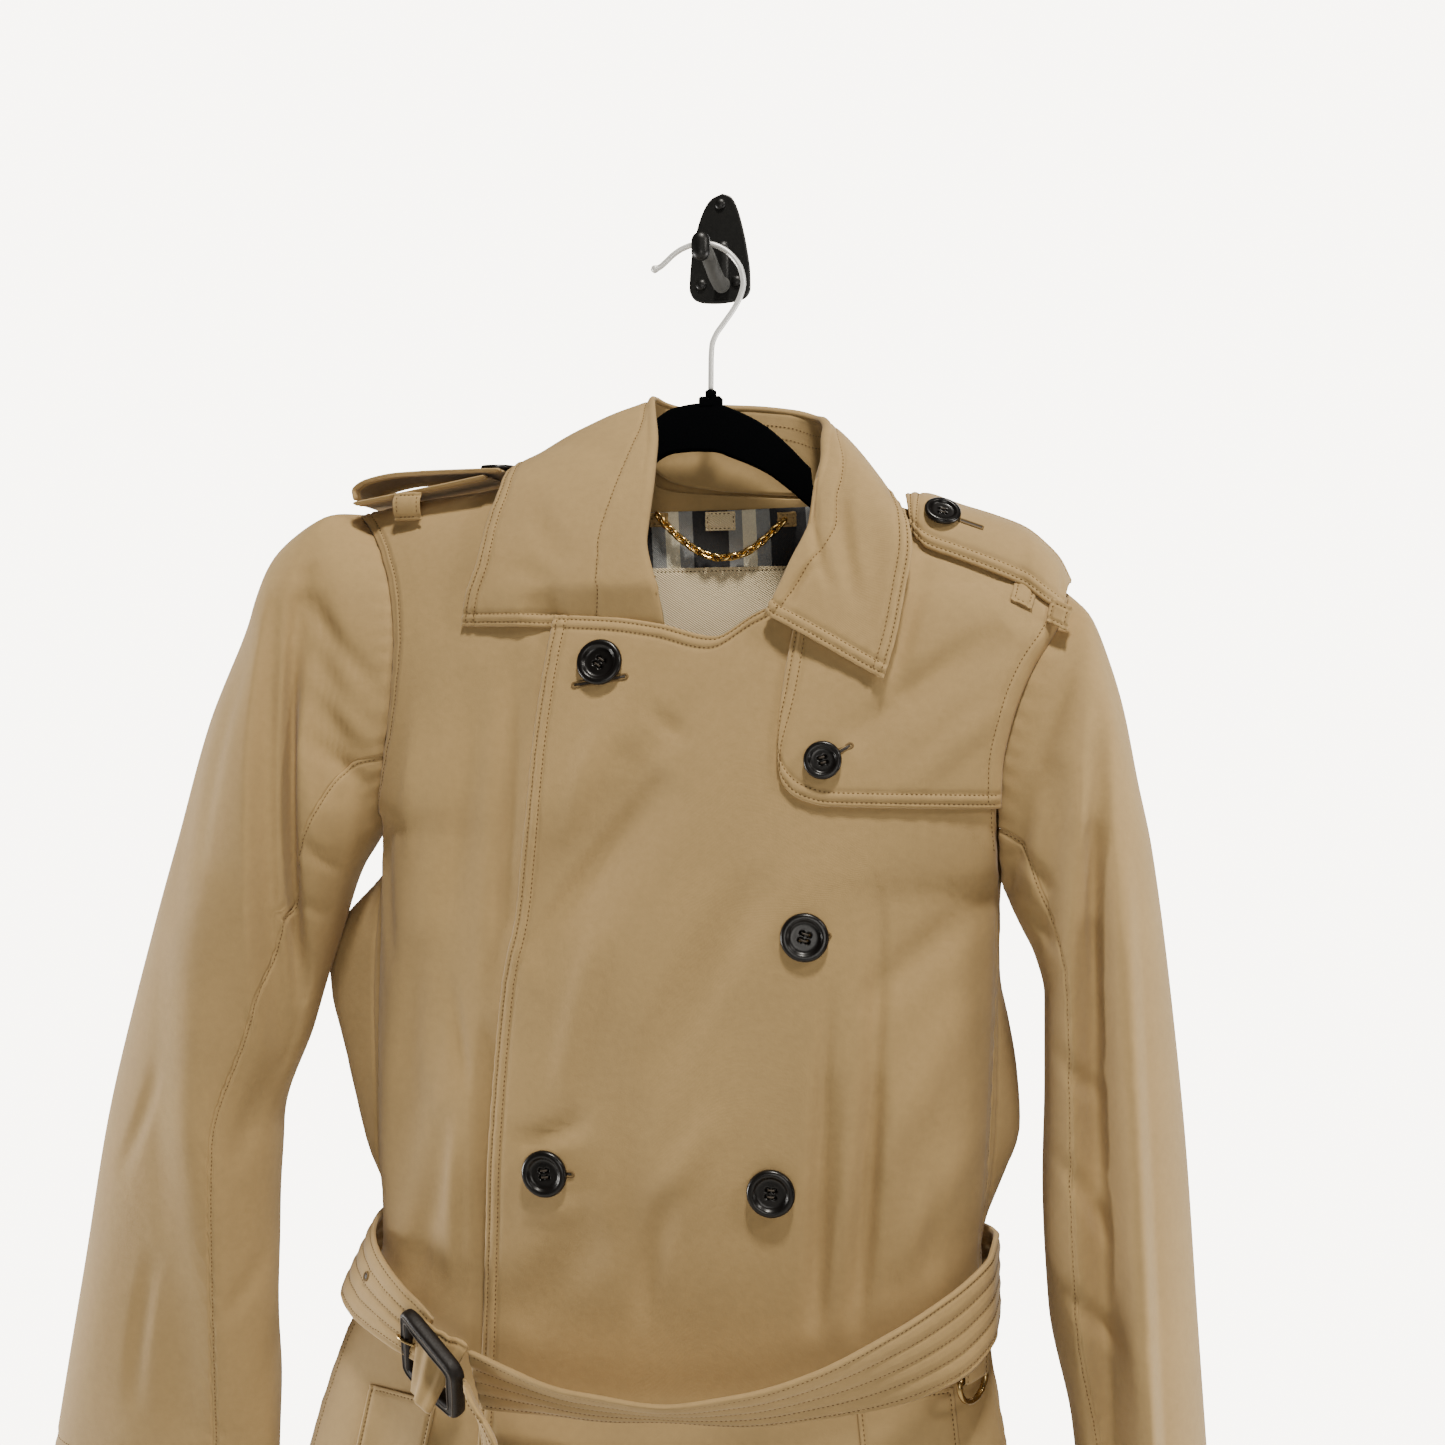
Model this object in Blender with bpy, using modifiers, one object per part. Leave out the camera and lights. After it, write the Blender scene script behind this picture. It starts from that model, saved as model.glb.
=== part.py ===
"""A double-breasted trench coat on a clothes hanger, hung from a wall hook.

The tables are in millimetres and MM turns them into Blender's metres. The origin is the middle of the
wall plate's back face: +Z is up, +X is the viewer's right, and the wall is the plane y = 0, so the whole
part lies at negative y. Cloth is an open surface with a Solidify modifier that gives it its thickness.
"""

import math
from collections import namedtuple

import bmesh
import bpy
import numpy as np
from mathutils import Matrix, Vector

MM = 0.001
VIEWER = np.array([0.0, -1.0, 0.0])  # which way the viewer is
UP = np.array([0.0, 0.0, 1.0])
PART = "trench_coat_on_wall_hook"

# Driving dimensions, in millimetres.
CLOTH = 2.0  # outer cloth with its facing or lining
LIGHT_CLOTH = 1.0  # lining and labels
SEAM_GAP = 1.3  # between two panels at a seam
RIDGE_Y = -38.0  # the shoulder seams lie over the hanger, this far from the wall
FRONT_ROLL = 55.0  # how far below the shoulder seam the front reaches its full depth
BACK_ROLL = 34.0
GAPE_FRONT = 27.0  # half opening of an armhole, from its middle line forward
GAPE_BACK = 25.0
SIDE_ROUNDNESS = 3.2
SIDE_FULLNESS = 1.7
HEM_Z = -1034.0  # at x = 0
HEM_SLOPE = -0.11  # the coat hangs a little down to the viewer's right
UNDERLAP = 5.4  # how far the under front lies behind the over front
FLAP_LIFT = CLOTH + 1.5  # outer face of the storm flap, over the front
BELT_WIDE = 42.0
BELT_THICK = 3.0
LOOP_FOOT = 4.8  # how far the belt loops' ends stand off the back
LOOP_Y = -8.4  # outer face of the belt loops on the back
BELT_FOLD_WIDE = 27.0  # where it is crushed in the buckle
BUTTON_WIDE = 25.4
BUTTON_THICK = 4.2
SMALL_BUTTON_WIDE = 20.0
WIRE_RADIUS = 1.45
HANGER_THICK = 6.0

# Where a horizontal cut through the body has its two sides: the armhole edge above the underarm point,
# the side seam below it.
Side = namedtuple("Side", "z x")
LEFT_SIDE = [
    Side(-156, -212), Side(-171, -197), Side(-188, -186), Side(-209, -178), Side(-240, -174),
    Side(-274, -176), Side(-308, -182), Side(-337, -188), Side(-390, -189), Side(-454, -190),
    Side(-531, -189), Side(-560, -187), Side(-580, -187), Side(-610, -198), Side(-637, -211),
    Side(-704, -233),
    Side(-850, -262), Side(-1080, -290),
]
RIGHT_SIDE = [
    Side(-210, 199), Side(-228, 194), Side(-252, 180), Side(-284, 169), Side(-305, 165),
    Side(-335, 164), Side(-368, 165), Side(-418, 163), Side(-467, 161), Side(-529, 158),
    Side(-565, 155), Side(-600, 158), Side(-668, 169), Side(-850, 200), Side(-1080, 232),
]
Armhole = namedtuple("Armhole", "tip pit gap")
LEFT_ARMHOLE = Armhole(tip=-156, pit=-337, gap=2.12)
RIGHT_ARMHOLE = Armhole(tip=-210, pit=-368, gap=1.85)

# How deep the same cut is: its side seams, the flat of the front and the flat of the back.
Depth = namedtuple("Depth", "z seam front back")
DEPTHS = [
    Depth(-100, -38, -48, -24), Depth(-125, -38, -58, -18), Depth(-150, -39, -66, -14),
    Depth(-178, -42, -74, -11), Depth(-200, -45, -80, -9), Depth(-225, -48, -87, -8),
    Depth(-260, -51, -95, -7), Depth(-320, -54, -103, -7), Depth(-400, -56, -108, -7),
    Depth(-515, -58, -110, -10), Depth(-556, -58, -107, -17), Depth(-610, -58, -106, -17.5),
    Depth(-660, -58, -108, -12),
    Depth(-800, -60, -116, -8), Depth(-1080, -62, -122, -7),
]
# How far the back swells past the side seams.
Swell = namedtuple("Swell", "z left right")
SWELLS = [
    Swell(-350, 0, 0), Swell(-418, 66, 14), Swell(-442, 64, 24), Swell(-470, 56, 31), Swell(-500, 47, 34),
    Swell(-532, 35, 22), Swell(-560, 14, 8), Swell(-585, 4, 4), Swell(-640, 2, 4), Swell(-1080, 6, 6),
]
# The shoulder line, from the left tip over the neck to the right tip.
Top = namedtuple("Top", "x z")
SHOULDERS = [
    Top(-212, -156), Top(-150, -146), Top(-105, -138), Top(-38, -124), Top(72, -144), Top(102, -160),
    Top(146, -171), Top(164, -178), Top(178, -185), Top(190, -196), Top(199, -210),
]
# The upper edge of each body panel: across is 0 at the viewer's left edge of the panel and 1 at its right.
Edge = namedtuple("Edge", "across x z")
OVER_TOP = [
    Edge(0, -75, -222), Edge(0.12, -42, -224), Edge(0.24, -15, -228), Edge(0.36, 16, -235),
    Edge(0.43, 37, -223), Edge(0.48, 50, -216), Edge(0.54, 62, -203), Edge(0.6, 72, -184),
    Edge(0.66, 77, -163), Edge(0.71, 79, -149), Edge(0.8, 102, -160.6), Edge(0.9, 146, -171.6),
    Edge(1, 199, -210.6),
]
UNDER_TOP = [
    Edge(0, -212, -156.6), Edge(0.14, -150, -146.6), Edge(0.28, -105, -138.6), Edge(0.44, -47, -126.8),
    Edge(0.52, -48, -150), Edge(0.6, -46.5, -180), Edge(0.68, -40, -208), Edge(0.76, -26, -230),
    Edge(0.86, 0, -242), Edge(1, 62, -246),
]
BACK_TOP = [
    Edge(0, -212, -157.6), Edge(0.12, -150, -147.2), Edge(0.24, -105, -139), Edge(0.36, -48, -126.9),
    Edge(0.41, -42, -134.5), Edge(0.46, -29, -145), Edge(0.54, 17, -150), Edge(0.62, 56, -153),
    Edge(0.68, 79, -149), Edge(0.76, 102, -161.1), Edge(0.88, 146, -172.2), Edge(1, 198.4, -212.2),
]
FLAP_TOP = [
    Edge(0, 63, -206), Edge(0.1, 71, -190), Edge(0.2, 78, -172), Edge(0.3, 84, -155), Edge(0.5, 112, -166),
    Edge(0.75, 152, -176.5), Edge(1, 198, -216),
]
FLAP_FOOT = [
    Edge(0, 52, -300), Edge(0.1, 55, -312), Edge(0.2, 60, -318.5), Edge(0.3, 68, -322), Edge(0.4, 78, -324),
    Edge(1, 166, -325),
]
# Free edges of the fronts and of the storm flap.
OVER_EDGE = [
    Side(-222, -75), Side(-254, -79), Side(-293, -83), Side(-334, -86), Side(-363, -89), Side(-392, -92),
    Side(-422, -98), Side(-490, -104), Side(-573, -109), Side(-621, -110), Side(-1080, -118),
]
UNDER_EDGE = [Side(-240, 62), Side(-400, 92), Side(-1080, 100)]
FLAP_EDGE = [Side(-206, 63), Side(-259, 55), Side(-288, 52), Side(-302, 52), Side(-325, 52)]

# The largest folds: a line on the cloth, how far the form reaches to each side of it, and how deep.
Fold = namedtuple("Fold", "x0 z0 x1 z1 left right deep")
FRONT_FOLDS = [
    Fold(-18, -300, -95, -400, 34, 26, 7), Fold(82, -462, 72, -600, 12, 10, 5),
    Fold(103, -462, 91, -600, 10, 12, 5), Fold(-40, -545, -90, -610, 24, 20, 4),
    Fold(-150, -400, -165, -560, 22, 22, 7), Fold(-120, -250, -140, -480, 24, 30, 5),
    Fold(-165, -640, -190, -1040, 30, 34, 10), Fold(-60, -660, -64, -1050, 34, 34, -8),
    Fold(40, -650, 52, -1060, 36, 30, 9), Fold(128, -650, 160, -1070, 30, 30, 10),
]
BACK_FOLDS = [
    Fold(-90, -640, -120, -1040, 40, 40, -9), Fold(0, -330, 0, -560, 36, 36, -3),
    Fold(10, -640, 14, -1050, 30, 30, -12), Fold(110, -640, 140, -1070, 40, 40, -9),
]
LEFT_SLEEVE_FOLDS = [
    Fold(-240, -205, -244, -520, 9, 30, 13), Fold(-225, -190, -205, -330, 16, 18, 8),
    Fold(-262, -215, -300, -400, 26, 20, 5), Fold(-290, -520, -300, -700, 24, 24, 5),
]
RIGHT_SLEEVE_FOLDS = [
    Fold(212, -330, 214, -520, 13, 11, 10), Fold(196, -300, 190, -400, 12, 12, 7),
    Fold(226, -600, 240, -780, 14, 14, 6),
]

# A sleeve is a tube: each row is a slanted ring, from its outer point to its inner one.
Ring = namedtuple("Ring", "outer_x outer_z inner_x inner_z mid ahead behind")
LEFT_RINGS = [
    Ring(-224, -159, -190, -341, -50, 36, 32), Ring(-254, -182, -193, -347, -52, 44, 36),
    Ring(-268, -219, -197, -354, -54, 48, 38), Ring(-292, -277, -205, -368, -56, 49, 38),
    Ring(-312, -349, -217, -402, -57, 47, 36), Ring(-342, -445, -234, -459, -57, 42, 32),
    Ring(-362, -522, -255, -520, -56, 38, 28), Ring(-380, -609, -257, -612, -55, 33, 25),
    Ring(-396, -687, -257, -690, -54, 29, 23), Ring(-407, -742, -258, -746, -53, 27, 22),
]
RIGHT_RINGS = [
    Ring(212, -224, 168, -373, -50, 38, 32), Ring(221, -246, 171, -380, -52, 45, 37),
    Ring(229, -274, 176, -390, -54, 50, 40), Ring(236, -311, 183, -404, -56, 52, 42),
    Ring(243, -346, 188, -425, -57, 54, 42), Ring(253, -427, 188, -470, -60, 54, 43),
    Ring(260, -502, 187, -520, -61, 54, 43), Ring(265, -580, 190, -585, -62, 53, 43),
    Ring(269, -640, 202, -645, -63, 51, 42), Ring(276, -740, 211, -750, -63, 50, 41),
    Ring(282, -815, 214, -828, -63, 48, 40),
]
SLEEVE_SEAM_TURN = 0.7 * math.pi  # from the outer line of the sleeve to each of its two seams
SLEEVE_SEAM_GAP = 0.034  # in radians, between the two pieces

# The collar, station by station from the viewer's left end round the neck to the right end: the fold,
# the free edge of the leaf and the seam where the stand meets the coat.
Collar = namedtuple("Collar", "fold edge seam")
COLLAR = [
    Collar((-14, -92, -229), (-129, -84.5, -227), (-22, -232)),
    Collar((-20, -90, -206), (-126, -86, -211), (-32, -214)),
    Collar((-27, -84, -179), (-120, -84, -190), (-39, -188)),
    Collar((-27, -73, -150), (-118, -76, -168), (-42, -163)),
    Collar((-28, -60, -127), (-115, -64, -147), (-43, -145)),
    Collar((-32, -46, -108), (-115, -50, -135), (-45, -133)),
    Collar((-35, -33, -95.5), (-113, -34, -130.5), (-45, -126)),
    Collar((-31, -19, -96.5), (-99, -16, -141), (-37, -133)),
    Collar((-20, -12, -98), (-62, -5.5, -155), (-24, -142)),
    Collar((16, -10, -99), (17, -4.5, -162), (17, -149)),
    Collar((48, -12, -103), (82, -5.5, -172), (56, -152)),
    Collar((62, -20, -108), (95, -15, -164), (70, -150)),
    Collar((69, -33, -112), (103, -35, -155), (78.5, -145)),
    Collar((73, -47, -120), (111, -58, -161), (78.5, -153)),
    Collar((73, -61, -136), (118, -76, -173.5), (78, -163)),
    Collar((70, -74, -156), (120, -86, -190), (76, -176)),
    Collar((68, -83, -178), (117, -92, -212), (71, -187)),
    Collar((58, -90, -201), (113, -97, -236), (61, -205)),
    Collar((46, -96, -224), (107, -102, -258), (47, -219)),
]
COLLAR_SWELL = 2.4
NECK = np.array([17.0, -48.0, -190.0])  # a point well inside the collar

# Straps: a middle line, and how far the upper edge leans away from the coat, in degrees.
Strap = namedtuple("Strap", "x y z lean")
BELT = [
    Strap(-152, -116, -611, 0), Strap(-168, -107, -604, -8), Strap(-186, -92, -597, -16),
    Strap(-199, -72, -591, -24), Strap(-204, -52, -588, -24), Strap(-198, -34, -586, -16),
    Strap(-180, -17, -584, -6), Strap(-140, -10.4, -582, 0), Strap(-60, -10, -582, 0),
    Strap(20, -10, -582, 0), Strap(100, -10.4, -582, 0), Strap(136, -17, -580, 0),
    Strap(157, -34, -578, 0), Strap(165, -56, -576, 0), Strap(163.5, -80, -579, 0),
    Strap(150, -104, -589, 0), Strap(122, -121, -603, 14), Strap(82, -131, -618, 36),
    Strap(40, -137, -628, 51), Strap(0, -139, -632, 57), Strap(-40, -137, -633, 52),
    Strap(-80, -131, -631, 38), Strap(-106, -126, -629, 28),
]
# The free end passes through the buckle as a loose fold, and then hangs down beside it.
BELT_FOLD = [
    Strap(-138.5, -119, -617, 14), Strap(-135, -124, -621, 20), Strap(-130, -127, -626, 22),
    Strap(-126, -126.5, -631, 14), Strap(-124.5, -123.5, -634, 6),
]
# The tail hangs: lean is how far it turns to the side, and wide its width.
Tail = namedtuple("Tail", "x y z lean wide")
BELT_TAIL = [
    Tail(-105.8, -143.5, -624, -62, 14), Tail(-92, -142, -656, -53, 29), Tail(-88, -140, -700, -46, 40),
    Tail(-88, -137, -770, -36, 40), Tail(-88, -135, -850, -28, 40), Tail(-89, -135, -905, -24, 40),
]
BUCKLE_BAR = 4.0  # radius of the leather-covered frame
BUCKLE_CORNERS = [(-146, -123, -598), (-113, -138, -621), (-116.5, -121, -645), (-146.5, -108, -628)]

# The D-ring hangs in a folded tab behind the belt's lower edge, at this x on the belt.
RING_TAB_X = 158.0
RING_TAB_WIDE = 21.0
RING_TAB_LOW = 14.0  # from the belt's middle line down to the ring's bar, past half the belt's width
RING_RADIUS = 9.6
RING_WIRE = 1.6
TAB_CLOTH = 1.2
TAB_FOLD = RING_WIRE + 0.4 + TAB_CLOTH  # outer radius of the tab's fold round the bar
BODY_MIDDLE = np.array([-15.0, -62.0, -600.0])

# The strap on the viewer's right lies over the shoulder: its far edge and its near edge.
Band = namedtuple("Band", "far_x far_z near_x near_z")
RIGHT_STRAP = [
    Band(113, -153.5, 118, -178), Band(124, -154, 126, -187), Band(144, -161, 142, -193.5),
    Band(163, -167.5, 161, -201), Band(178, -174, 177, -208), Band(189, -183, 187, -215.5),
    Band(197, -192, 194, -220), Band(203, -204, 198, -223.5),
]
STRAP_FAR_Y = -33.0
STRAP_LIFT = 8.8  # of its near edge, over the storm flap
LEFT_STRAP = [
    Top(-206.5, -151.3), Top(-207.5, -146), Top(-199, -139.5), Top(-178, -136), Top(-150, -135.4),
    Top(-132, -135.4), Top(-117.5, -135.6),
]
STRAP_YS = (-18, -32, -46, -60)

Welt = namedtuple("Welt", "name x z foot_x foot_z wide")
POCKET_WELTS = [
    Welt("pocket_welt_left", -137, -652, -170, -805, -44), Welt("pocket_welt_right", 141, -628, 160, -800, -48),
]

Place = namedtuple("Place", "name x z wide")
BUTTONS = [
    Place("button_top", -46.5, -249, BUTTON_WIDE), Place("button_waist", -72, -521, BUTTON_WIDE),
    Place("button_chest", 67, -392, BUTTON_WIDE), Place("button_hip", 50, -524, BUTTON_WIDE),
    Place("button_flap", 76, -301, SMALL_BUTTON_WIDE),
]

# Wire of the hanger's hook, seen from the front.
HOOK_WIRE = [
    Top(-34, -20.5), Top(-29, -19), Top(-25, -16), Top(-21, -12.5), Top(-15, -9), Top(-8, -7.2),
    Top(0, -7.4), Top(8, -10.4), Top(14.5, -16), Top(19, -23.5), Top(20.3, -31), Top(18.6, -38),
    Top(15, -45), Top(9, -53.5), Top(4.5, -60), Top(2.4, -66), Top(2, -75), Top(2, -91.4),
]
# The hanger's upper edge where it shows in the neck.
HANGER_ARCH = [
    Top(-58, -134), Top(-46, -132), Top(-40, -129.5), Top(-36, -122), Top(-33, -113), Top(-29, -106.5),
    Top(-19, -101), Top(-4, -99), Top(2, -99), Top(18, -104.5), Top(34, -113.5), Top(48, -126),
    Top(60, -138.5), Top(72, -148), Top(84, -153),
]
WIRE_Y = -33.0
HANGER_Y = -36.0
CHAIN = [
    Top(-33, -160), Top(-25, -169), Top(-17, -176), Top(-8, -182), Top(3, -185.5), Top(14, -184.5),
    Top(24, -180), Top(33, -173), Top(42, -165),
]

parts = bpy.data.collections.new(PART)
cutters = bpy.data.collections.new("cutters")


def clear_scene():
    for thing in list(bpy.data.objects):
        bpy.data.objects.remove(thing, do_unlink=True)
    bpy.context.scene.collection.children.link(parts)
    bpy.context.scene.collection.children.link(cutters)
    cutters.hide_render = True


def material(name, colour, roughness, metallic=0.0):
    made = bpy.data.materials.get(name)
    if made:
        return made
    made = bpy.data.materials.new(name)
    made.use_nodes = True
    shader = made.node_tree.nodes["Principled BSDF"]
    shader.inputs["Base Color"].default_value = (*colour, 1.0)
    shader.inputs["Roughness"].default_value = roughness
    shader.inputs["Metallic"].default_value = metallic
    return made


def gabardine():
    return material("tan_gabardine", (0.46, 0.34, 0.20), 0.8)


def lining_cloth():
    return material("lining_cloth", (0.30, 0.27, 0.22), 0.85)


def cream_twill():
    return material("cream_twill", (0.74, 0.67, 0.48), 0.85)


def horn():
    return material("dark_horn", (0.012, 0.010, 0.009), 0.22)


def black_enamel():
    return material("black_enamel", (0.012, 0.012, 0.011), 0.18)


def black_velvet():
    return material("black_velvet", (0.006, 0.006, 0.007), 1.0)


def chrome():
    return material("chrome", (0.72, 0.72, 0.70), 0.15, 1.0)


def aged_brass():
    return material("aged_brass", (0.33, 0.23, 0.09), 0.3, 1.0)


def bright_gold():
    return material("bright_gold", (0.65, 0.44, 0.16), 0.25, 1.0)


def dark_leather():
    return material("dark_leather", (0.018, 0.013, 0.010), 0.4)


# Curves through tables.


def eased(keys, values, at):
    """The monotone cubic through the points (keys, values), held flat beyond both ends."""
    keys, values = np.asarray(keys, float), np.asarray(values, float)
    order = np.argsort(keys)
    keys, values = keys[order], values[order]
    wide = np.diff(keys)
    slope = np.diff(values) / wide
    tangent = np.empty(len(keys))
    tangent[0], tangent[-1] = slope[0], slope[-1]
    product = slope[:-1] * slope[1:]
    total = slope[:-1] + slope[1:]
    tangent[1:-1] = np.where(product > 0, 2 * product / np.where(total == 0, 1, total), 0.0)
    at = np.clip(at, keys[0], keys[-1])
    i = np.clip(np.searchsorted(keys, at, side="right") - 1, 0, len(wide) - 1)
    t = (at - keys[i]) / wide[i]
    return (
        (2 * t**3 - 3 * t**2 + 1) * values[i]
        + (t**3 - 2 * t**2 + t) * wide[i] * tangent[i]
        + (3 * t**2 - 2 * t**3) * values[i + 1]
        + (t**3 - t**2) * wide[i] * tangent[i + 1]
    )


def read(table, key, value, at):
    return eased([getattr(row, key) for row in table], [getattr(row, value) for row in table], at)


def through(points, count):
    """A smooth line of count points through the given ones, evenly spaced by length."""
    points = np.asarray(points, float)
    run = np.concatenate([[0], np.cumsum(np.linalg.norm(np.diff(points, axis=0), axis=1))])
    at = np.linspace(0, run[-1], count)
    return np.stack([eased(run, points[:, k], at) for k in range(points.shape[1])], axis=1)


# The form of the coat.


def fold_depth(folds, x, z):
    """What the folds add to y: a raised cosine across each fold's line, fading at its two ends."""
    total = np.zeros(np.broadcast(x, z).shape)
    for fold in folds:
        along_x, along_z = fold.x1 - fold.x0, fold.z1 - fold.z0
        length = math.hypot(along_x, along_z)
        along = ((x - fold.x0) * along_x + (z - fold.z0) * along_z) / length**2
        off = ((z - fold.z0) * along_x - (x - fold.x0) * along_z) / length
        reach = np.where(off < 0, fold.left, fold.right)
        across = 0.5 + 0.5 * np.cos(math.pi * np.clip(off / reach, -1, 1))
        total = total + fold.deep * across * np.sin(math.pi * np.clip(along, 0, 1)) ** 0.7
    return total


def gape(armhole, z):
    share = np.clip((z - armhole.pit) / (armhole.tip - armhole.pit), 0, 1)
    return np.sqrt(np.clip(1 - (2 * share - 1) ** 2, 0, 1))


def section_depth(x, z, flat, opening, roll_height):
    """Depth of the coat at (x, z): a rounded oval cut, brought in to the ridge at the shoulder line."""
    left, right = read(LEFT_SIDE, "z", "x", z), read(RIGHT_SIDE, "z", "x", z)
    middle = (left + right) / 2
    on_left = x < middle
    inward = np.where(on_left, (x - left) / (middle - left), (right - x) / (right - middle))
    inward = np.clip(inward, 0, 1)
    open_by = opening * np.where(on_left, gape(LEFT_ARMHOLE, z), gape(RIGHT_ARMHOLE, z))
    seam = read(DEPTHS, "z", "seam", z) + open_by
    rounded = (1 - (1 - inward) ** SIDE_ROUNDNESS) ** (1 / SIDE_FULLNESS)
    full = seam + (flat - seam) * rounded
    below = np.clip((read(SHOULDERS, "x", "z", x) - z) / roll_height, 0, 1)
    return RIDGE_Y + (full - RIDGE_Y) * np.sqrt(1 - (1 - below) ** 2)


def front_y(x, z):
    flat = read(DEPTHS, "z", "front", z)
    return section_depth(x, z, flat, -GAPE_FRONT, FRONT_ROLL) + fold_depth(FRONT_FOLDS, x, z)


def back_y(x, z):
    flat = read(DEPTHS, "z", "back", z)
    return section_depth(x, z, flat, GAPE_BACK, BACK_ROLL) + fold_depth(BACK_FOLDS, x, z)


def swell_back(grid):
    """Carries the back outward past the side seams, most where it turns towards the wall."""
    x, y, z = grid[..., 0], grid[..., 1], grid[..., 2]
    seam, flat = read(DEPTHS, "z", "seam", z), read(DEPTHS, "z", "back", z)
    turned = np.clip((y - seam) / (flat - seam), 0, 1)
    push = np.sin(math.pi * turned**1.3)
    middle = (read(LEFT_SIDE, "z", "x", z) + read(RIGHT_SIDE, "z", "x", z)) / 2
    out = np.where(x < middle, -read(SWELLS, "z", "left", z), read(SWELLS, "z", "right", z))
    grid[..., 0] = x + out * push
    return grid


def panel(top, left, right, foot, columns, rows, settle, crowd, surface):
    """A grid of points, rows from the top edge down and columns from the left edge to the right.

    left and right give x at a height, foot gives the lowest z at a fraction across, and below the
    height settle the columns lie at crowd's fractions of the width.
    """
    across = np.linspace(0, 1, columns)
    top_x, top_z = read(top, "across", "x", across), read(top, "across", "z", across)
    start = (top_x - left(top_z)) / (right(top_z) - left(top_z))
    down = (np.linspace(0, 1, rows) ** 1.3)[:, None]
    z = top_z + (foot(across) - top_z) * down
    fade = np.clip((z - settle) / (top_z - settle), 0, 1)
    fade = fade * fade * (3 - 2 * fade)
    share = crowd(across) + (start - crowd(across)) * fade
    x = left(z) + share * (right(z) - left(z))
    return np.stack([x, surface(x, z), z], axis=-1)


def crowd_right(across):
    return np.sin(across * math.pi / 2) ** 0.8


def crowd_left(across):
    return 1 - crowd_right(1 - across)


def crowd_both(across):
    return 0.5 - 0.5 * np.cos(across * math.pi)


def crowd_corner(across):
    return across**1.6


def hem(x_left, x_right):
    return lambda across: HEM_Z + HEM_SLOPE * (x_left + (x_right - x_left) * across)


def normals(grid):
    found = np.cross(np.gradient(grid, axis=1), np.gradient(grid, axis=0))
    return found / np.maximum(np.linalg.norm(found, axis=-1, keepdims=True), 1e-9)


def toward_viewer(grid):
    return away(grid, None)


def away(grid, centre):
    """The unit normals on the side away from a point, or on the viewer's side where centre is None."""
    found = normals(grid)
    outward = VIEWER if centre is None else grid - centre
    return found if (found * outward).sum() > 0 else -found


# Making objects.


def add_object(name, mesh, finish):
    made = bpy.data.objects.new(name, mesh)
    mesh.materials.append(finish)
    parts.objects.link(made)
    return made


def cloth(name, grid, thick, finish, outward):
    """Cloth over a grid of points: the grid is its outer face, on the side of outward, and the
    thickness goes inwards."""
    rows, columns = grid.shape[:2]
    index = np.arange(rows * columns).reshape(rows, columns)
    a, b, c, d = index[:-1, :-1], index[:-1, 1:], index[1:, 1:], index[1:, :-1]
    order = [a, b, c, d] if (normals(grid) * outward).sum() > 0 else [a, d, c, b]
    faces = np.stack(order, axis=-1).reshape(-1, 4)
    mesh = bpy.data.meshes.new(name)
    mesh.from_pydata((grid.reshape(-1, 3) * MM).tolist(), [], faces.tolist())
    mesh.shade_smooth()
    made = add_object(name, mesh, finish)
    wall = made.modifiers.new("thickness", "SOLIDIFY")
    wall.thickness = thick * MM
    wall.offset = -1
    return made


def front_cloth(name, grid, thick=CLOTH, finish=None):
    """Cloth whose outer face looks at the viewer."""
    return cloth(name, grid, thick, finish or gabardine(), VIEWER)


def wire(name, points, radius, finish, cyclic=False, sides=2):
    """A tube along a smooth line of points."""
    curve = bpy.data.curves.new(name, "CURVE")
    curve.dimensions = "3D"
    curve.bevel_depth = radius * MM
    curve.bevel_resolution = sides
    curve.use_fill_caps = True
    spline = curve.splines.new("POLY")
    spline.points.add(len(points) - 1)
    for target, point in zip(spline.points, points):
        target.co = (point[0] * MM, point[1] * MM, point[2] * MM, 1)
    spline.use_cyclic_u = cyclic
    made = bpy.data.objects.new(name, curve)
    curve.materials.append(finish)
    parts.objects.link(made)
    return made


def slab(name, outline, y, thick, finish):
    """A flat plate upright in the x-z plane, from y to y + thick, with the given outline."""
    mesh = bpy.data.meshes.new(name)
    shape = bmesh.new()
    ring = [shape.verts.new((x * MM, y * MM, z * MM)) for x, z in outline]
    face = shape.faces.new(ring)
    grown = bmesh.ops.extrude_face_region(shape, geom=[face])
    moved = [item for item in grown["geom"] if isinstance(item, bmesh.types.BMVert)]
    bmesh.ops.translate(shape, verts=moved, vec=(0, thick * MM, 0))
    bmesh.ops.recalc_face_normals(shape, faces=shape.faces)
    shape.to_mesh(mesh)
    shape.free()
    return add_object(name, mesh, finish)


def turned(name, profile, place, axis, finish, steps):
    """A solid turned from (radius, height) points about a line through place along axis."""
    mesh = bpy.data.meshes.new(name)
    points = [(radius * MM, 0, height * MM) for radius, height in profile]
    mesh.from_pydata(points, [(i, i + 1) for i in range(len(points) - 1)], [])
    made = add_object(name, mesh, finish)
    aim = Vector(axis).to_track_quat("Z", "X").to_matrix().to_4x4()
    made.matrix_world = Matrix.Translation(Vector(place) * MM) @ aim
    spin = made.modifiers.new("turn", "SCREW")
    spin.steps = spin.render_steps = steps
    spin.use_merge_vertices = True
    spin.merge_threshold = 1e-5
    return made


# The hook on the wall.


def arc(centre, radius, start, end, count):
    angles = np.radians(np.linspace(start, end, count))
    return [(centre[0] + radius * math.cos(a), centre[1] + radius * math.sin(a)) for a in angles]


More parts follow.
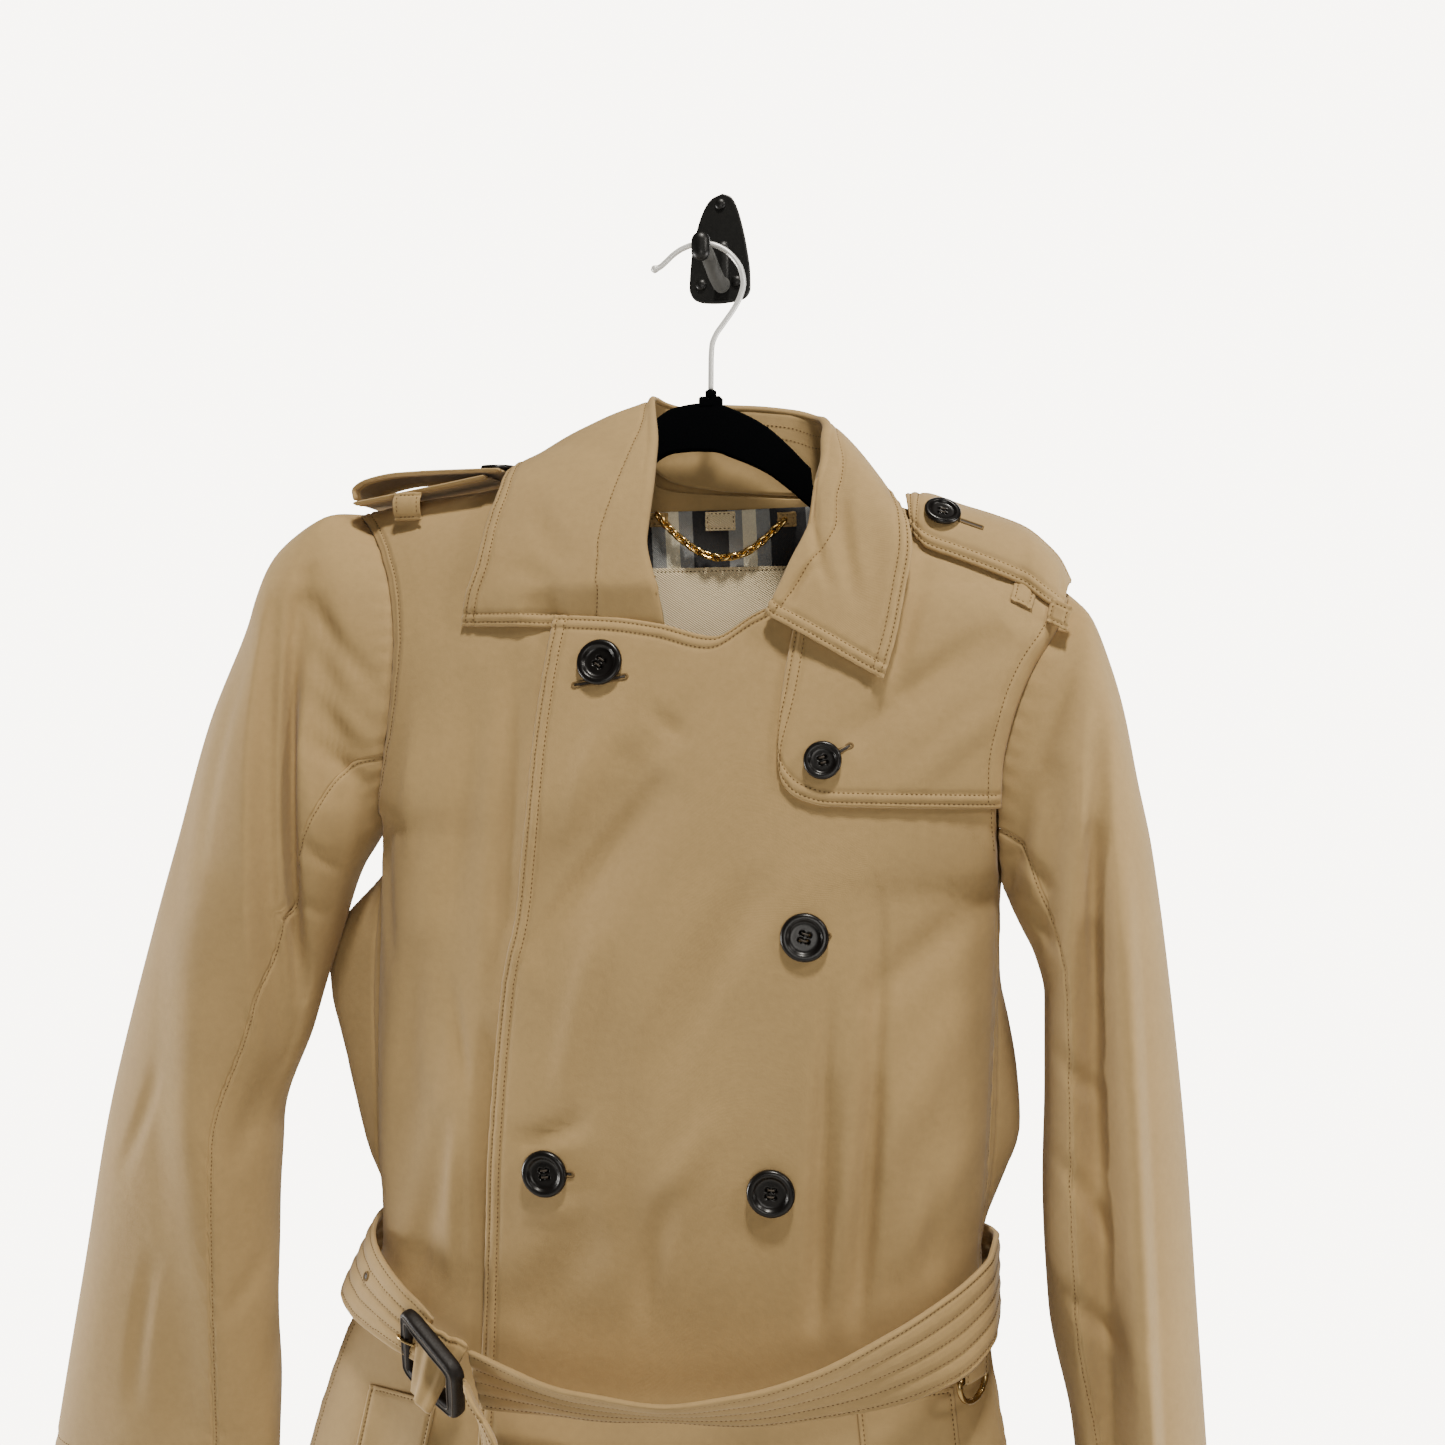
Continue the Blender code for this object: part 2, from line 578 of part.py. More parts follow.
def plate_outline():
    """A triangle of three round corners, joined by straight sides."""
    top = arc((0.5, 24.5), 8, 170, 10, 9)
    right = arc((8.5, -20.5), 9.5, 10, -85, 7)
    left = arc((-9.5, -21.5), 9.5, -95, -190, 7)
    return top + right + left


def make_wall_hook():
    """Plate, raised rib and arm, cast in one piece."""
    plate = slab("wall_hook", plate_outline(), -3.5, 3.5, black_enamel())
    edge = plate.modifiers.new("rolled edge", "BEVEL")
    edge.width, edge.segments = 0.9 * MM, 2
    edge.limit_method, edge.angle_limit = "ANGLE", math.radians(60)
    route = [(2, -2.5, -22), (2.5, -12, -25), (2, -22, -23), (0, -33, -15.2), (-1.5, -42, -10)]
    arm = wire("arm", through(route, 12), 4.4, black_enamel(), sides=3)
    tip = bpy.data.meshes.new("tip")
    ball = bmesh.new()
    bmesh.ops.create_uvsphere(ball, u_segments=14, v_segments=8, radius=6.2 * MM)
    ball.to_mesh(tip)
    ball.free()
    knob = add_object("knob", tip, black_enamel())
    stretch = Matrix.Diagonal((1, 0.75, 1.38, 1))
    knob.matrix_world = Matrix.Translation(Vector((-2, -44.5, -12)) * MM) @ stretch
    rib_outline = arc((2, -1), 4.2, 180, 0, 7) + arc((2, -20), 4.4, 0, -180, 7)
    rib = slab("rib", rib_outline, -5.6, 3.5, black_enamel())
    for number, other in enumerate((meshed(arm), knob, rib)):
        joined = plate.modifiers.new(f"join {number}", "BOOLEAN")
        joined.operation, joined.object = "UNION", other
        move_to_cutters(other)


def meshed(made):
    """A mesh object in place of a curve, with its caps welded."""
    graph = bpy.context.evaluated_depsgraph_get()
    mesh = bpy.data.meshes.new_from_object(made.evaluated_get(graph))
    shape = bmesh.new()
    shape.from_mesh(mesh)
    bmesh.ops.remove_doubles(shape, verts=shape.verts, dist=1e-6)
    bmesh.ops.recalc_face_normals(shape, faces=shape.faces)
    shape.to_mesh(mesh)
    shape.free()
    name, place = made.name, made.matrix_world.copy()
    bpy.data.objects.remove(made, do_unlink=True)
    solid = bpy.data.objects.new(name, mesh)
    solid.matrix_world = place
    parts.objects.link(solid)
    return solid


def move_to_cutters(made):
    parts.objects.unlink(made)
    cutters.objects.link(made)
    made.hide_render = True
    made.display_type = "WIRE"


def make_plate_screws():
    """Three round heads on the plate."""
    head = [(0, 1.9), (1.6, 1.7), (2.9, 1.0), (3.3, 0), (0, 0)]
    for name, x, z in (("screw_top", 0.5, 25), ("screw_left", -11, -22), ("screw_right", 10.2, -21)):
        turned(name, head, (x, -3.8, z), (0, -1, 0), black_enamel(), steps=14)


# The hanger.


def make_hanger_wire():
    """The hook's wire lies forward of the bar, and comes back to it down the neck."""
    back = [min(1, max(0, (-40 - point.z) / 45)) for point in HOOK_WIRE]
    route = [(p.x, WIRE_Y + (HANGER_Y - WIRE_Y) * share, p.z) for p, share in zip(HOOK_WIRE, back)]
    wire("hanger_wire", through(route, 27), WIRE_RADIUS, chrome())


def hanger_top(x):
    """Upper edge of the hanger: its arch inside the collar, then just under the shoulder line."""
    under = float(read(SHOULDERS, "x", "z", x)) - CLOTH - 5
    if not HANGER_ARCH[0].x < x < HANGER_ARCH[-1].x:
        return under
    return min(float(read(HANGER_ARCH, "x", "z", x)), under if x > 60 else 0)


def make_hanger_body():
    left_arm = [*np.linspace(-196, -62, 8), -50, -44, -38, -33, -29]
    xs = [*left_arm, *np.linspace(-20, 82, 14), *np.linspace(96, 176, 7)]
    top = [(x, hanger_top(x)) for x in xs]
    low = [(x, z - 13 - 15 * math.exp(-(((x - 10) / 75) ** 2))) for x, z in top]
    neck = [(-4.5, -96), (-1.2, -95.5), (-1.2, -91.9), (5.2, -91.9), (5.2, -95.5), (8.5, -96)]
    before = [point for point in top if point[0] < -4.5]
    after = [point for point in top if point[0] > 8.5]
    outline = before + neck + after + low[::-1]
    body = slab("hanger_body", outline, HANGER_Y - HANGER_THICK / 2, HANGER_THICK, black_velvet())
    edge = body.modifiers.new("soft edge", "BEVEL")
    edge.width, edge.segments = 1.4 * MM, 1
    edge.limit_method, edge.angle_limit = "ANGLE", math.radians(60)


# The body of the coat.


def under_lift(grid):
    """How far the under front lies inside the coat's form: most where the over front covers it."""
    return np.interp(grid[..., 0], (-165, -112, -72), (0, 3.6, UNDERLAP))


def on_left(z):
    return read(LEFT_SIDE, "z", "x", z)


def on_right(z):
    return read(RIGHT_SIDE, "z", "x", z)


def over_front_grid(columns=22, rows=25):
    return panel(
        OVER_TOP, lambda z: read(OVER_EDGE, "z", "x", z), on_right, hem(-118, 230),
        columns, rows, -430, crowd_right, front_y,
    )


def under_front_grid(columns=18, rows=24):
    grid = panel(
        UNDER_TOP, on_left, lambda z: read(UNDER_EDGE, "z", "x", z), hem(-290, 100),
        columns, rows, -430, crowd_left, front_y,
    )
    return grid - toward_viewer(grid) * under_lift(grid)[..., None]


def back_grid(columns=22, rows=22):
    grid = panel(BACK_TOP, on_left, on_right, hem(-290, 232), columns, rows, -430, crowd_both, back_y)
    grid[..., 1] += SEAM_GAP
    return swell_back(grid)


def make_body():
    front_cloth("front_over", over_front_grid())
    front_cloth("front_under", under_front_grid())
    cloth("back", back_grid(), CLOTH, gabardine(), -VIEWER)


def lift(grid, by):
    return grid + toward_viewer(grid) * by


def make_storm_flap():
    flap = panel(
        FLAP_TOP, lambda z: read(FLAP_EDGE, "z", "x", z), lambda z: on_right(z) - 1.2,
        lambda across: read(FLAP_FOOT, "across", "z", across), 13, 11, -280, crowd_corner, front_y,
    )
    front_cloth("storm_flap", lift(flap, FLAP_LIFT))


# Sleeves.


def armhole_ring(side, armhole, outward, turns):
    share = (1 - np.cos(turns)) / 2
    z = armhole.tip + (armhole.pit - armhole.tip) * share
    x = read(side, "z", "x", z)
    y = np.where(np.sin(turns) >= 0, front_y(x, z), back_y(x, z) + SEAM_GAP)
    return np.stack([x + outward * armhole.gap, y, z], axis=-1)


def sleeve_ring(ring, turns):
    share = (1 - np.cos(turns)) / 2
    x = ring.outer_x + (ring.inner_x - ring.outer_x) * share
    z = ring.outer_z + (ring.inner_z - ring.outer_z) * share
    turn = np.sin(turns)
    y = ring.mid + np.where(turn > 0, -ring.ahead, ring.behind) * np.abs(turn) ** 0.85
    return np.stack([x, y, z], axis=-1)


def sleeve_grid(side, armhole, rings, outward, folds, turns, rows):
    """Rows from the armhole down to the cuff, and columns round the arm."""
    frames = [armhole_ring(side, armhole, outward, turns)] + [sleeve_ring(ring, turns) for ring in rings]
    frames = np.array(frames)
    middles = frames.mean(axis=1)
    run = np.concatenate([[0], np.cumsum(np.linalg.norm(np.diff(middles, axis=0), axis=1))])
    at = run[-1] * np.linspace(0, 1, rows) ** 1.25
    grid = np.stack(
        [np.stack([eased(run, frames[:, j, k], at) for j in range(len(turns))], axis=1) for k in range(3)],
        axis=-1,
    )
    in_front = np.clip(np.sin(turns) * 2.5, 0, 1)
    grid[..., 1] += fold_depth(folds, grid[..., 0], grid[..., 2]) * in_front
    return grid


def with_edges(start, end, count):
    """Even steps between two narrow ones, so that the wall meets its neighbour squarely at a seam."""
    narrow = 0.06
    return np.concatenate([[start], np.linspace(start + narrow, end - narrow, count - 2), [end]])


def make_sleeve(label, side, armhole, rings, outward, folds):
    """Upper and under sleeve, which meet at a front and a back seam."""
    seam, gap = SLEEVE_SEAM_TURN, SLEEVE_SEAM_GAP
    for piece, turns in (
        ("upper", with_edges(-seam, seam, 15)),
        ("under", with_edges(seam + gap, 2 * math.pi - seam - gap, 9)),
    ):
        grid = sleeve_grid(side, armhole, rings, outward, folds, turns, 17)
        whole = sleeve_grid(side, armhole, rings, outward, folds, np.linspace(0, 2 * math.pi, 24), 17)
        cloth(f"{label}_sleeve_{piece}", grid, CLOTH, gabardine(), grid - whole.mean(axis=1, keepdims=True))


# Collar.


def collar_lines(count, first=0.0, last=len(COLLAR) - 1):
    fold = np.array([row.fold for row in COLLAR], float)
    edge = np.array([row.edge for row in COLLAR], float)
    seam = np.array([seam_point(number, row) for number, row in enumerate(COLLAR)])
    station = np.arange(len(COLLAR))
    at = np.linspace(first, last, count)
    lines = (fold, edge, seam)
    return [np.stack([eased(station, line[:, k], at) for k in range(3)], axis=1) for line in lines]


def seam_point(number, row):
    """The foot of the stand, on the neck edge of the panel below it."""
    x, z = row.seam
    if number <= 5:
        return x, float(front_y(np.array(x), np.array(z - 3.0))) + UNDERLAP + 0.5, z
    if number >= 13:
        return x, float(front_y(np.array(x), np.array(z - 3.0))) + 0.5, z
    if number in (6, 12):
        return x, RIDGE_Y, z
    return x, float(back_y(np.array(x), np.array(z - 3.0))), z


def collar_leaf_grid(columns=29, rows=6):
    fold, edge, _ = collar_lines(columns)
    share = np.linspace(0, 1, rows)[:, None, None]
    grid = fold + (edge - fold) * share
    bulge = COLLAR_SWELL * np.sin(math.pi * share**0.7)
    return grid + away(grid, NECK) * bulge


def make_collar():
    leaf = collar_leaf_grid()
    cloth("collar_leaf", leaf, CLOTH, gabardine(), leaf - NECK)
    fold, _, seam = collar_lines(25, 0.8, len(COLLAR) - 1.4)
    inward = NECK[:2] - fold[:, :2]
    inward = inward / np.linalg.norm(inward, axis=1, keepdims=True)
    upper = fold.copy()
    upper[:, :2] += inward * (CLOTH + 1.0)
    upper[:, 2] -= 1.6
    low = seam + (upper - seam) * 0.06
    share = np.linspace(0, 1, 4)[:, None, None]
    stand = upper + (low - upper) * share
    cloth("collar_stand", stand, CLOTH, gabardine(), stand - NECK)


# What shows in the neck.


def neck_piece(name, x0, x1, z0, z1, lift_by, thick, finish, columns=8, rows=6):
    """A flat piece on the inside of the back, its face towards the viewer."""
    x = np.linspace(x0, x1, columns)[None, :]
    z = np.linspace(z0, z1, rows)[:, None]
    x, z = np.broadcast_arrays(x, z)
    grid = np.stack([x, back_y(x, z) + SEAM_GAP - CLOTH - lift_by, z], axis=-1)
    front_cloth(name, grid, thick, finish)


def make_neck_inside():
    neck_piece("neck_lining", -58, 78, -158, -262, 3.6, LIGHT_CLOTH, lining_cloth(), 10, 7)
    neck_piece("neck_label", -38, 46, -191, -250, 5.0, LIGHT_CLOTH, cream_twill(), 6, 4)
    neck_piece("size_label", -5, 12, -159, -169, 5.0, 0.8, cream_twill(), 3, 2)
    neck_piece("chain_tab_left", -38, -28, -159, -166, 6.4, 1.4, gabardine(), 3, 3)
    neck_piece("chain_tab_right", 38, 48, -161, -168, 6.4, 1.4, gabardine(), 3, 3)


def make_chain():
    """A curb chain drawn as one strand, wider at each link and narrower between two."""
    links = 18
    hung = [(p.x, float(back_y(np.array(p.x), np.array(p.z))) - 8.7, p.z) for p in CHAIN]
    route = through(hung, links * 2 + 1)
    along = np.gradient(route, axis=0)
    along /= np.linalg.norm(along, axis=1, keepdims=True)
    ahead = np.array([0.0, -1.0, 0.0])
    side = np.cross(along, ahead)
    side /= np.linalg.norm(side, axis=1, keepdims=True)
    wide = 1.35 + 0.85 * np.abs(np.sin(np.linspace(0, links * math.pi, len(route))))
    turn = np.arange(6) * math.pi / 3
    ring = (
        route[:, None, :]
        + side[:, None, :] * (wide[:, None] * np.cos(turn))[..., None]
        + ahead * (1.1 * np.sin(turn))[None, :, None]
    )
    tube("hang_chain", ring, bright_gold())


def tube(name, rings, finish):
    """A closed solid over rings of points, each end closed by one face."""
    count, around = rings.shape[:2]
    index = np.arange(count * around).reshape(count, around)
    nxt = np.roll(index, -1, axis=1)
    faces = np.stack([index[:-1], nxt[:-1], nxt[1:], index[1:]], axis=-1).reshape(-1, 4).tolist()
    faces += [index[0][::-1].tolist(), index[-1].tolist()]
    mesh = bpy.data.meshes.new(name)
    mesh.from_pydata((rings.reshape(-1, 3) * MM).tolist(), [], faces)
    shape = bmesh.new()
    shape.from_mesh(mesh)
    bmesh.ops.recalc_face_normals(shape, faces=shape.faces)
    shape.to_mesh(mesh)
    shape.free()
    return add_object(name, mesh, finish)


# Straps.


def strap_grid(table, wide, columns, rows=3):
    """A ribbon along a table of stations, leaning as the table says."""
    line = through([(row.x, row.y, row.z) for row in table], columns)
    run = np.linspace(0, 1, columns)
    steps = np.linalg.norm(np.diff([row[:3] for row in table], axis=0), axis=1)
    keys = np.concatenate([[0], np.cumsum(steps)])
    lean = np.radians(eased(keys / keys[-1], [row.lean for row in table], run))
    along = np.gradient(line, axis=0)
    along /= np.linalg.norm(along, axis=1, keepdims=True)
    up = np.array([0.0, 0.0, 1.0]) - along * along[:, 2:]
    up /= np.linalg.norm(up, axis=1, keepdims=True)
    out = np.cross(up, along)
    upward = up * np.cos(lean)[:, None] + out * np.sin(lean)[:, None]
    share = np.linspace(0.5, -0.5, rows)[:, None, None]
    return line + upward * share * wide


def make_belt():
    """The belt runs from the buckle round the back to the front, where it hangs away from the coat."""
    belt = strap_grid(BELT, BELT_WIDE, 54)
    cloth("belt", belt, BELT_THICK, gabardine(), belt - BODY_MIDDLE)
    fold = strap_grid(BELT_FOLD, BELT_FOLD_WIDE, 9)
    cloth("belt_fold", fold, BELT_THICK - 0.6, gabardine(), VIEWER)
    for name, x, z in (("belt_loop_left", -120, -582), ("belt_loop_right", 110, -582)):
        make_belt_loop(name, x, z)


def loop_grid(centre, across, out, up, wide, route):
    """A narrow strip bent along route, whose points are (out, up) from the centre."""
    sides = np.array([-0.5, 0.5]) * wide
    return np.array([[centre + across * side + out * o + up * u for side in sides] for o, u in route])


def make_belt_loop(name, x, z):
    """A narrow loop on the back, round the belt."""
    tall = BELT_WIDE / 2 + 5
    face = float(back_y(np.array(float(x)), np.array(z))) + SEAM_GAP
    deep = LOOP_Y - face
    half = [(deep, tall - 5), (deep - 1, tall - 2), (LOOP_FOOT, tall)]
    route = [(out, -up) for out, up in reversed(half)] + half
    grid = loop_grid(np.array([x, face, z]), np.array([1.0, 0, 0]), -VIEWER, UP, 12.0, route)
    cloth(name, grid, 1.4, gabardine(), -VIEWER)


def make_belt_tail():
    line = through(BELT_TAIL, 12)
    turn = np.radians(line[:, 3])
    across = np.stack([np.cos(turn), np.sin(turn), np.zeros(12)], axis=1) * line[:, 4:]
    share = np.linspace(-0.5, 0.5, 3)
    grid = line[:, None, :3] + across[:, None, :] * share[None, :, None]
    front_cloth("belt_tail", grid, BELT_THICK)


def make_buckle():
    """A leather-covered frame with one prong, slipped round on the belt."""
    corners = np.array(BUCKLE_CORNERS, float)
    loop = []
    for i in range(4):
        before, here, after = corners[i - 1], corners[i], corners[(i + 1) % 4]
        loop += [here + (before - here) * share for share in (0.16, 0.05)]
        loop += [here + (after - here) * share for share in (0.05, 0.16)]
    wire("buckle", loop, BUCKLE_BAR, dark_leather(), cyclic=True)
    prong = [(-152.6, -117.8, -611.5), (-149.5, -120.5, -612), (-146, -121.6, -613), (-141.8, -121.4, -614.5)]
    wire("buckle_prong", through(prong, 6), 1.0, aged_brass())


def belt_frame(x):
    """At x on the belt's right side: the middle of its outer face, its direction and its outward normal."""
    line = through([(row.x, row.y, row.z) for row in BELT], 400)
    side = [i for i in range(200, 399) if line[i, 1] < -70 and line[i, 0] >= x]
    here = side[-1]
    along = line[here + 1] - line[here - 1]
    along[2] = 0
    along /= np.linalg.norm(along)
    outward = np.array([-along[1], along[0], 0.0])
    outward = outward if outward[0] > 0 else -outward
    return line[here], along, outward


def make_ring_and_tab():
    """A D-ring whose straight bar lies in the fold of a tab behind the belt."""
    place, along, outward = belt_frame(RING_TAB_X)
    bar = place - outward * (BELT_THICK + 1.9 + TAB_FOLD) - UP * (BELT_WIDE / 2 + RING_TAB_LOW)
    turn = np.radians(np.linspace(0, -180, 7))
    route = [(TAB_FOLD, RING_TAB_LOW + 12), (TAB_FOLD, 6)]
    route += [(TAB_FOLD * math.cos(a), TAB_FOLD * math.sin(a)) for a in turn]
    route += [(-TAB_FOLD, 6), (-TAB_FOLD, RING_TAB_LOW + 10)]
    grid = loop_grid(bar, along, outward, UP, RING_TAB_WIDE, route)
    cloth("d_ring_tab", grid, TAB_CLOTH, gabardine(), grid - (bar + UP * 2))
    half = RING_TAB_WIDE / 2 + RING_WIRE + 0.4
    straight = [(side * half, 0) for side in (-1, -0.4, 0.4, 1)]
    turn = np.radians(np.linspace(14, 166, 11))
    bow = [(half * math.cos(a), -1.5 - RING_RADIUS * 1.25 * math.sin(a)) for a in turn]
    loop = [bar + along * a + UP * b for a, b in straight + bow]
    wire("d_ring", loop, RING_WIRE, aged_brass(), cyclic=True)


def make_buttons():
    for place in BUTTONS:
        x, z = np.array(float(place.x)), np.array(float(place.z))
        step = 8.0
        rise = (float(front_y(x, z + step)) - float(front_y(x, z - step))) / (2 * step)
        lean = (float(front_y(x + step, z)) - float(front_y(x - step, z))) / (2 * step)
        axis = Vector((lean, -1.0, rise)).normalized()
        proud = FLAP_LIFT + 0.7 if place.name == "button_flap" else 0.7
        base = Vector((place.x, float(front_y(x, z)), place.z)) + axis * proud
        button(place.name, base, axis, place.wide)
    button("button_strap_left", (-124, -41, -134.3), (0.02, -0.1, 1), SMALL_BUTTON_WIDE)
    strap = right_strap_grid()
    out = away(strap, NECK)
    face = out[3, 3]
    button("button_strap_right", strap[3, 3] + face * 0.6, face, SMALL_BUTTON_WIDE)


def button(name, place, axis, wide):
    """A dished button with a raised round rim."""
    radius = wide / 2
    thick = BUTTON_THICK * wide / BUTTON_WIDE
    profile = [
        (0, thick * 0.55), (radius * 0.62, thick * 0.5), (radius * 0.78, thick), (radius * 0.94, thick * 0.9),
        (radius, thick * 0.55), (radius * 0.9, thick * 0.12), (radius * 0.6, 0), (0, 0),
    ]
    turned(name, profile, tuple(place), axis, horn(), steps=16)


# Shoulder straps.


def right_strap_grid(columns=15, rows=6):
    station = np.linspace(0, 1, len(RIGHT_STRAP))
    at = np.linspace(0, 1, columns)
    far_x, far_z, near_x, near_z = (
        eased(station, [getattr(row, field) for row in RIGHT_STRAP], at) for field in Band._fields
    )
    near_y = front_y(near_x, near_z) - STRAP_LIFT
    share = np.linspace(0, 1, rows)[:, None, None]
    far = np.stack([far_x, np.full(columns, STRAP_FAR_Y), far_z], axis=-1)
    near = np.stack([near_x, near_y, near_z], axis=-1)
    crest = np.stack([(far_x + near_x) / 2, near_y + 5, far_z - 2], axis=-1)
    return far * (1 - share) ** 2 + crest * 2 * share * (1 - share) + near * share**2


def make_epaulettes():
    """The left strap stands clear of the shoulder as an open loop; the right one lies on it."""
    low = [Top(x, float(read(SHOULDERS, "x", "z", x)) + CLOTH + 0.8) for x in (-206, -185, -165, -145, -126)]
    for name, route in (("epaulette_left", LEFT_STRAP), ("epaulette_left_under", low)):
        line = through(route, 12)
        grid = np.array([[(x, y, z) for y in STRAP_YS] for x, z in line])
        cloth(name, grid, CLOTH, gabardine(), UP)
    right = right_strap_grid()
    cloth("epaulette_right", right, CLOTH, gabardine(), right - NECK)


def surface_patch(name, x, z, lift_by, thick):
    """A piece that lies on the fronts, from grids of x and z."""
    grid = np.stack([x, front_y(x, z), z], axis=-1)
    front_cloth(name, lift(grid, lift_by), thick)


def make_strap_keepers():
    """Tabs that hold the straps down: one stands before the left strap, two lie below the right one."""
    route = [(-0.4, 7.5), (1.6, 1.0), (-0.4, -8.0)]
    grid = loop_grid(np.array([-171.5, -62.6, -156.0]), -np.cross(VIEWER, UP), VIEWER, UP, 15.0, route)
    front_cloth("strap_keeper_left", grid, 1.8)
    for name, x, z in (("strap_keeper_right_inner", 174.5, -220.5), ("strap_keeper_right_outer", 190, -231.4)):
        across, down = np.linspace(x - 5, x + 5, 3)[None, :], np.linspace(z + 5.5, z - 5.5, 4)[:, None]
        surface_patch(name, *np.broadcast_arrays(across, down), FLAP_LIFT + 2.2, 1.8)


def make_pocket_welts():
    """A slanting welt on each side, below the belt."""
    for welt in POCKET_WELTS:
        down, across = np.linspace(0, 1, 8)[:, None], np.linspace(0, 1, 5)[None, :]
        x = welt.x + (welt.foot_x - welt.x) * down + welt.wide * across
        z = welt.z + (welt.foot_z - welt.z) * down + 0 * across
        surface_patch(welt.name, x, z, 3.4, 1.8)


def main():
    clear_scene()
    make_wall_hook()
    make_plate_screws()
    make_hanger_wire()
    make_hanger_body()
    make_body()
    make_storm_flap()
    make_sleeve("left", LEFT_SIDE, LEFT_ARMHOLE, LEFT_RINGS, -1, LEFT_SLEEVE_FOLDS)
    make_sleeve("right", RIGHT_SIDE, RIGHT_ARMHOLE, RIGHT_RINGS, 1, RIGHT_SLEEVE_FOLDS)
    make_collar()
    make_neck_inside()
    make_chain()
    make_belt()
    make_belt_tail()
    make_buckle()
    make_buttons()
    make_epaulettes()
    make_strap_keepers()
    make_ring_and_tab()
    make_pocket_welts()


main()
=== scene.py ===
"""A trench coat on its hanger and wall hook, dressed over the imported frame.

Tables and methods work in millimetres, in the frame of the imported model: x to the viewer's right, y into
the wall, z up. Meshes are in metres.
"""

from __future__ import annotations

import logging
import math
from collections.abc import Callable, Sequence
from dataclasses import dataclass, field
from enum import Enum

import bpy
import numpy as np
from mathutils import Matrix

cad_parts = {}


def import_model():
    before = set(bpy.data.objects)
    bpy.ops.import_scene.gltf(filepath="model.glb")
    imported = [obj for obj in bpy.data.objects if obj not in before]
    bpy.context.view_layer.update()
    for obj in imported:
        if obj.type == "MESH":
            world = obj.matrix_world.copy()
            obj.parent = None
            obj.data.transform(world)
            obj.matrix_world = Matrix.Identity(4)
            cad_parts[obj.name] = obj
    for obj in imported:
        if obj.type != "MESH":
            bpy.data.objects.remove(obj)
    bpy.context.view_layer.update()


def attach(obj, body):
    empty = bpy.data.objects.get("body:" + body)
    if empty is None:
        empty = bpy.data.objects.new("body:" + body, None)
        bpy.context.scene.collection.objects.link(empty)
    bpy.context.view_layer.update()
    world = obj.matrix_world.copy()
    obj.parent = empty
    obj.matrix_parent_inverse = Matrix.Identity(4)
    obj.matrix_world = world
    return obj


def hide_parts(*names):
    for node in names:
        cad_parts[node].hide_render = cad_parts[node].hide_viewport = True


Array = np.ndarray
Pair = tuple[float, float]
Triple = tuple[float, float, float]
MM = 0.001
COAT = "coat"
RING = "ring"
VIEWER = np.array([0.0, -1.0, 0.0])
UP = np.array([0.0, 0.0, 1.0])
NECK = np.array([17.0, -48.0, -190.0])  # the middle of the neck's opening
log = logging.getLogger("trench_coat")


class Side(Enum):
    """The four sides of a grid of points: rows run down from TOP, columns run right from LEFT."""

    LEFT = "left"
    RIGHT = "right"
    TOP = "top"
    FOOT = "foot"

    @property
    def upright(self) -> bool:
        """Whether the side runs down the grid."""
        return self in (Side.LEFT, Side.RIGHT)


UPRIGHTS = (Side.LEFT, Side.RIGHT)
ALL_ROUND = (*UPRIGHTS, Side.TOP, Side.FOOT)


# Curves and tables


def eased(keys: Array, values: Array, at: Array) -> Array:
    """The monotone cubic through (keys, values), held flat beyond both ends.

    Args:
        keys: where the curve is known.
        values: what it is there, numbers or whole rows of them.
        at: where it is wanted.

    Returns:
        The curve's value at each place.
    """
    order = np.argsort(keys)
    keys, values = np.asarray(keys, float)[order], np.asarray(values, float)[order]
    more = (1,) * (values.ndim - 1)
    wide = np.diff(keys).reshape(-1, *more)
    slope = np.diff(values, axis=0) / wide
    tangent = np.empty_like(values)
    tangent[0], tangent[-1] = slope[0], slope[-1]
    total = slope[:-1] + slope[1:]
    product = slope[:-1] * slope[1:]
    tangent[1:-1] = np.where(product > 0, 2 * product / np.where(total == 0, 1, total), 0.0)
    at = np.clip(at, keys[0], keys[-1])
    i = np.clip(np.searchsorted(keys, at, side="right") - 1, 0, len(keys) - 2)
    t = (at - keys[i]) / np.diff(keys)[i]
    t = t.reshape(-1, *more) if more else t
    step = wide[i]
    return (
        (2 * t**3 - 3 * t**2 + 1) * values[i]
        + (t**3 - 2 * t**2 + t) * step * tangent[i]
        + (3 * t**2 - 2 * t**3) * values[i + 1]
        + (t**3 - t**2) * step * tangent[i + 1]
    )


def run_of(points: Array) -> Array:
    """How far along a line each of its points lies."""
    return np.concatenate([[0], np.cumsum(np.linalg.norm(np.diff(points, axis=0), axis=1))])


def sampled(line: Array, run: Array, at: Array) -> Array:
    """The line's points at the distances given, run being that of its own points."""
    return np.stack([np.interp(at, run, line[:, k]) for k in range(3)], axis=1)


def quadratic(start: Array, middle: Array, end: Array, share: Array) -> Array:
    """A quadratic curve's points at shares from start to end, drawn towards middle."""
    return start * (1 - share) ** 2 + middle * 2 * share * (1 - share) + end * share**2


def through(points: Array, count: int) -> Array:
    """A smooth line through the given points.

    Args:
        points: the points, one to a row.
        count: how many points the line gets, evenly spaced by length.

    Returns:
        The line's points.
    """
    points = np.asarray(points, float)
    run = run_of(points)
    return eased(run, points, np.linspace(0, run[-1], count))


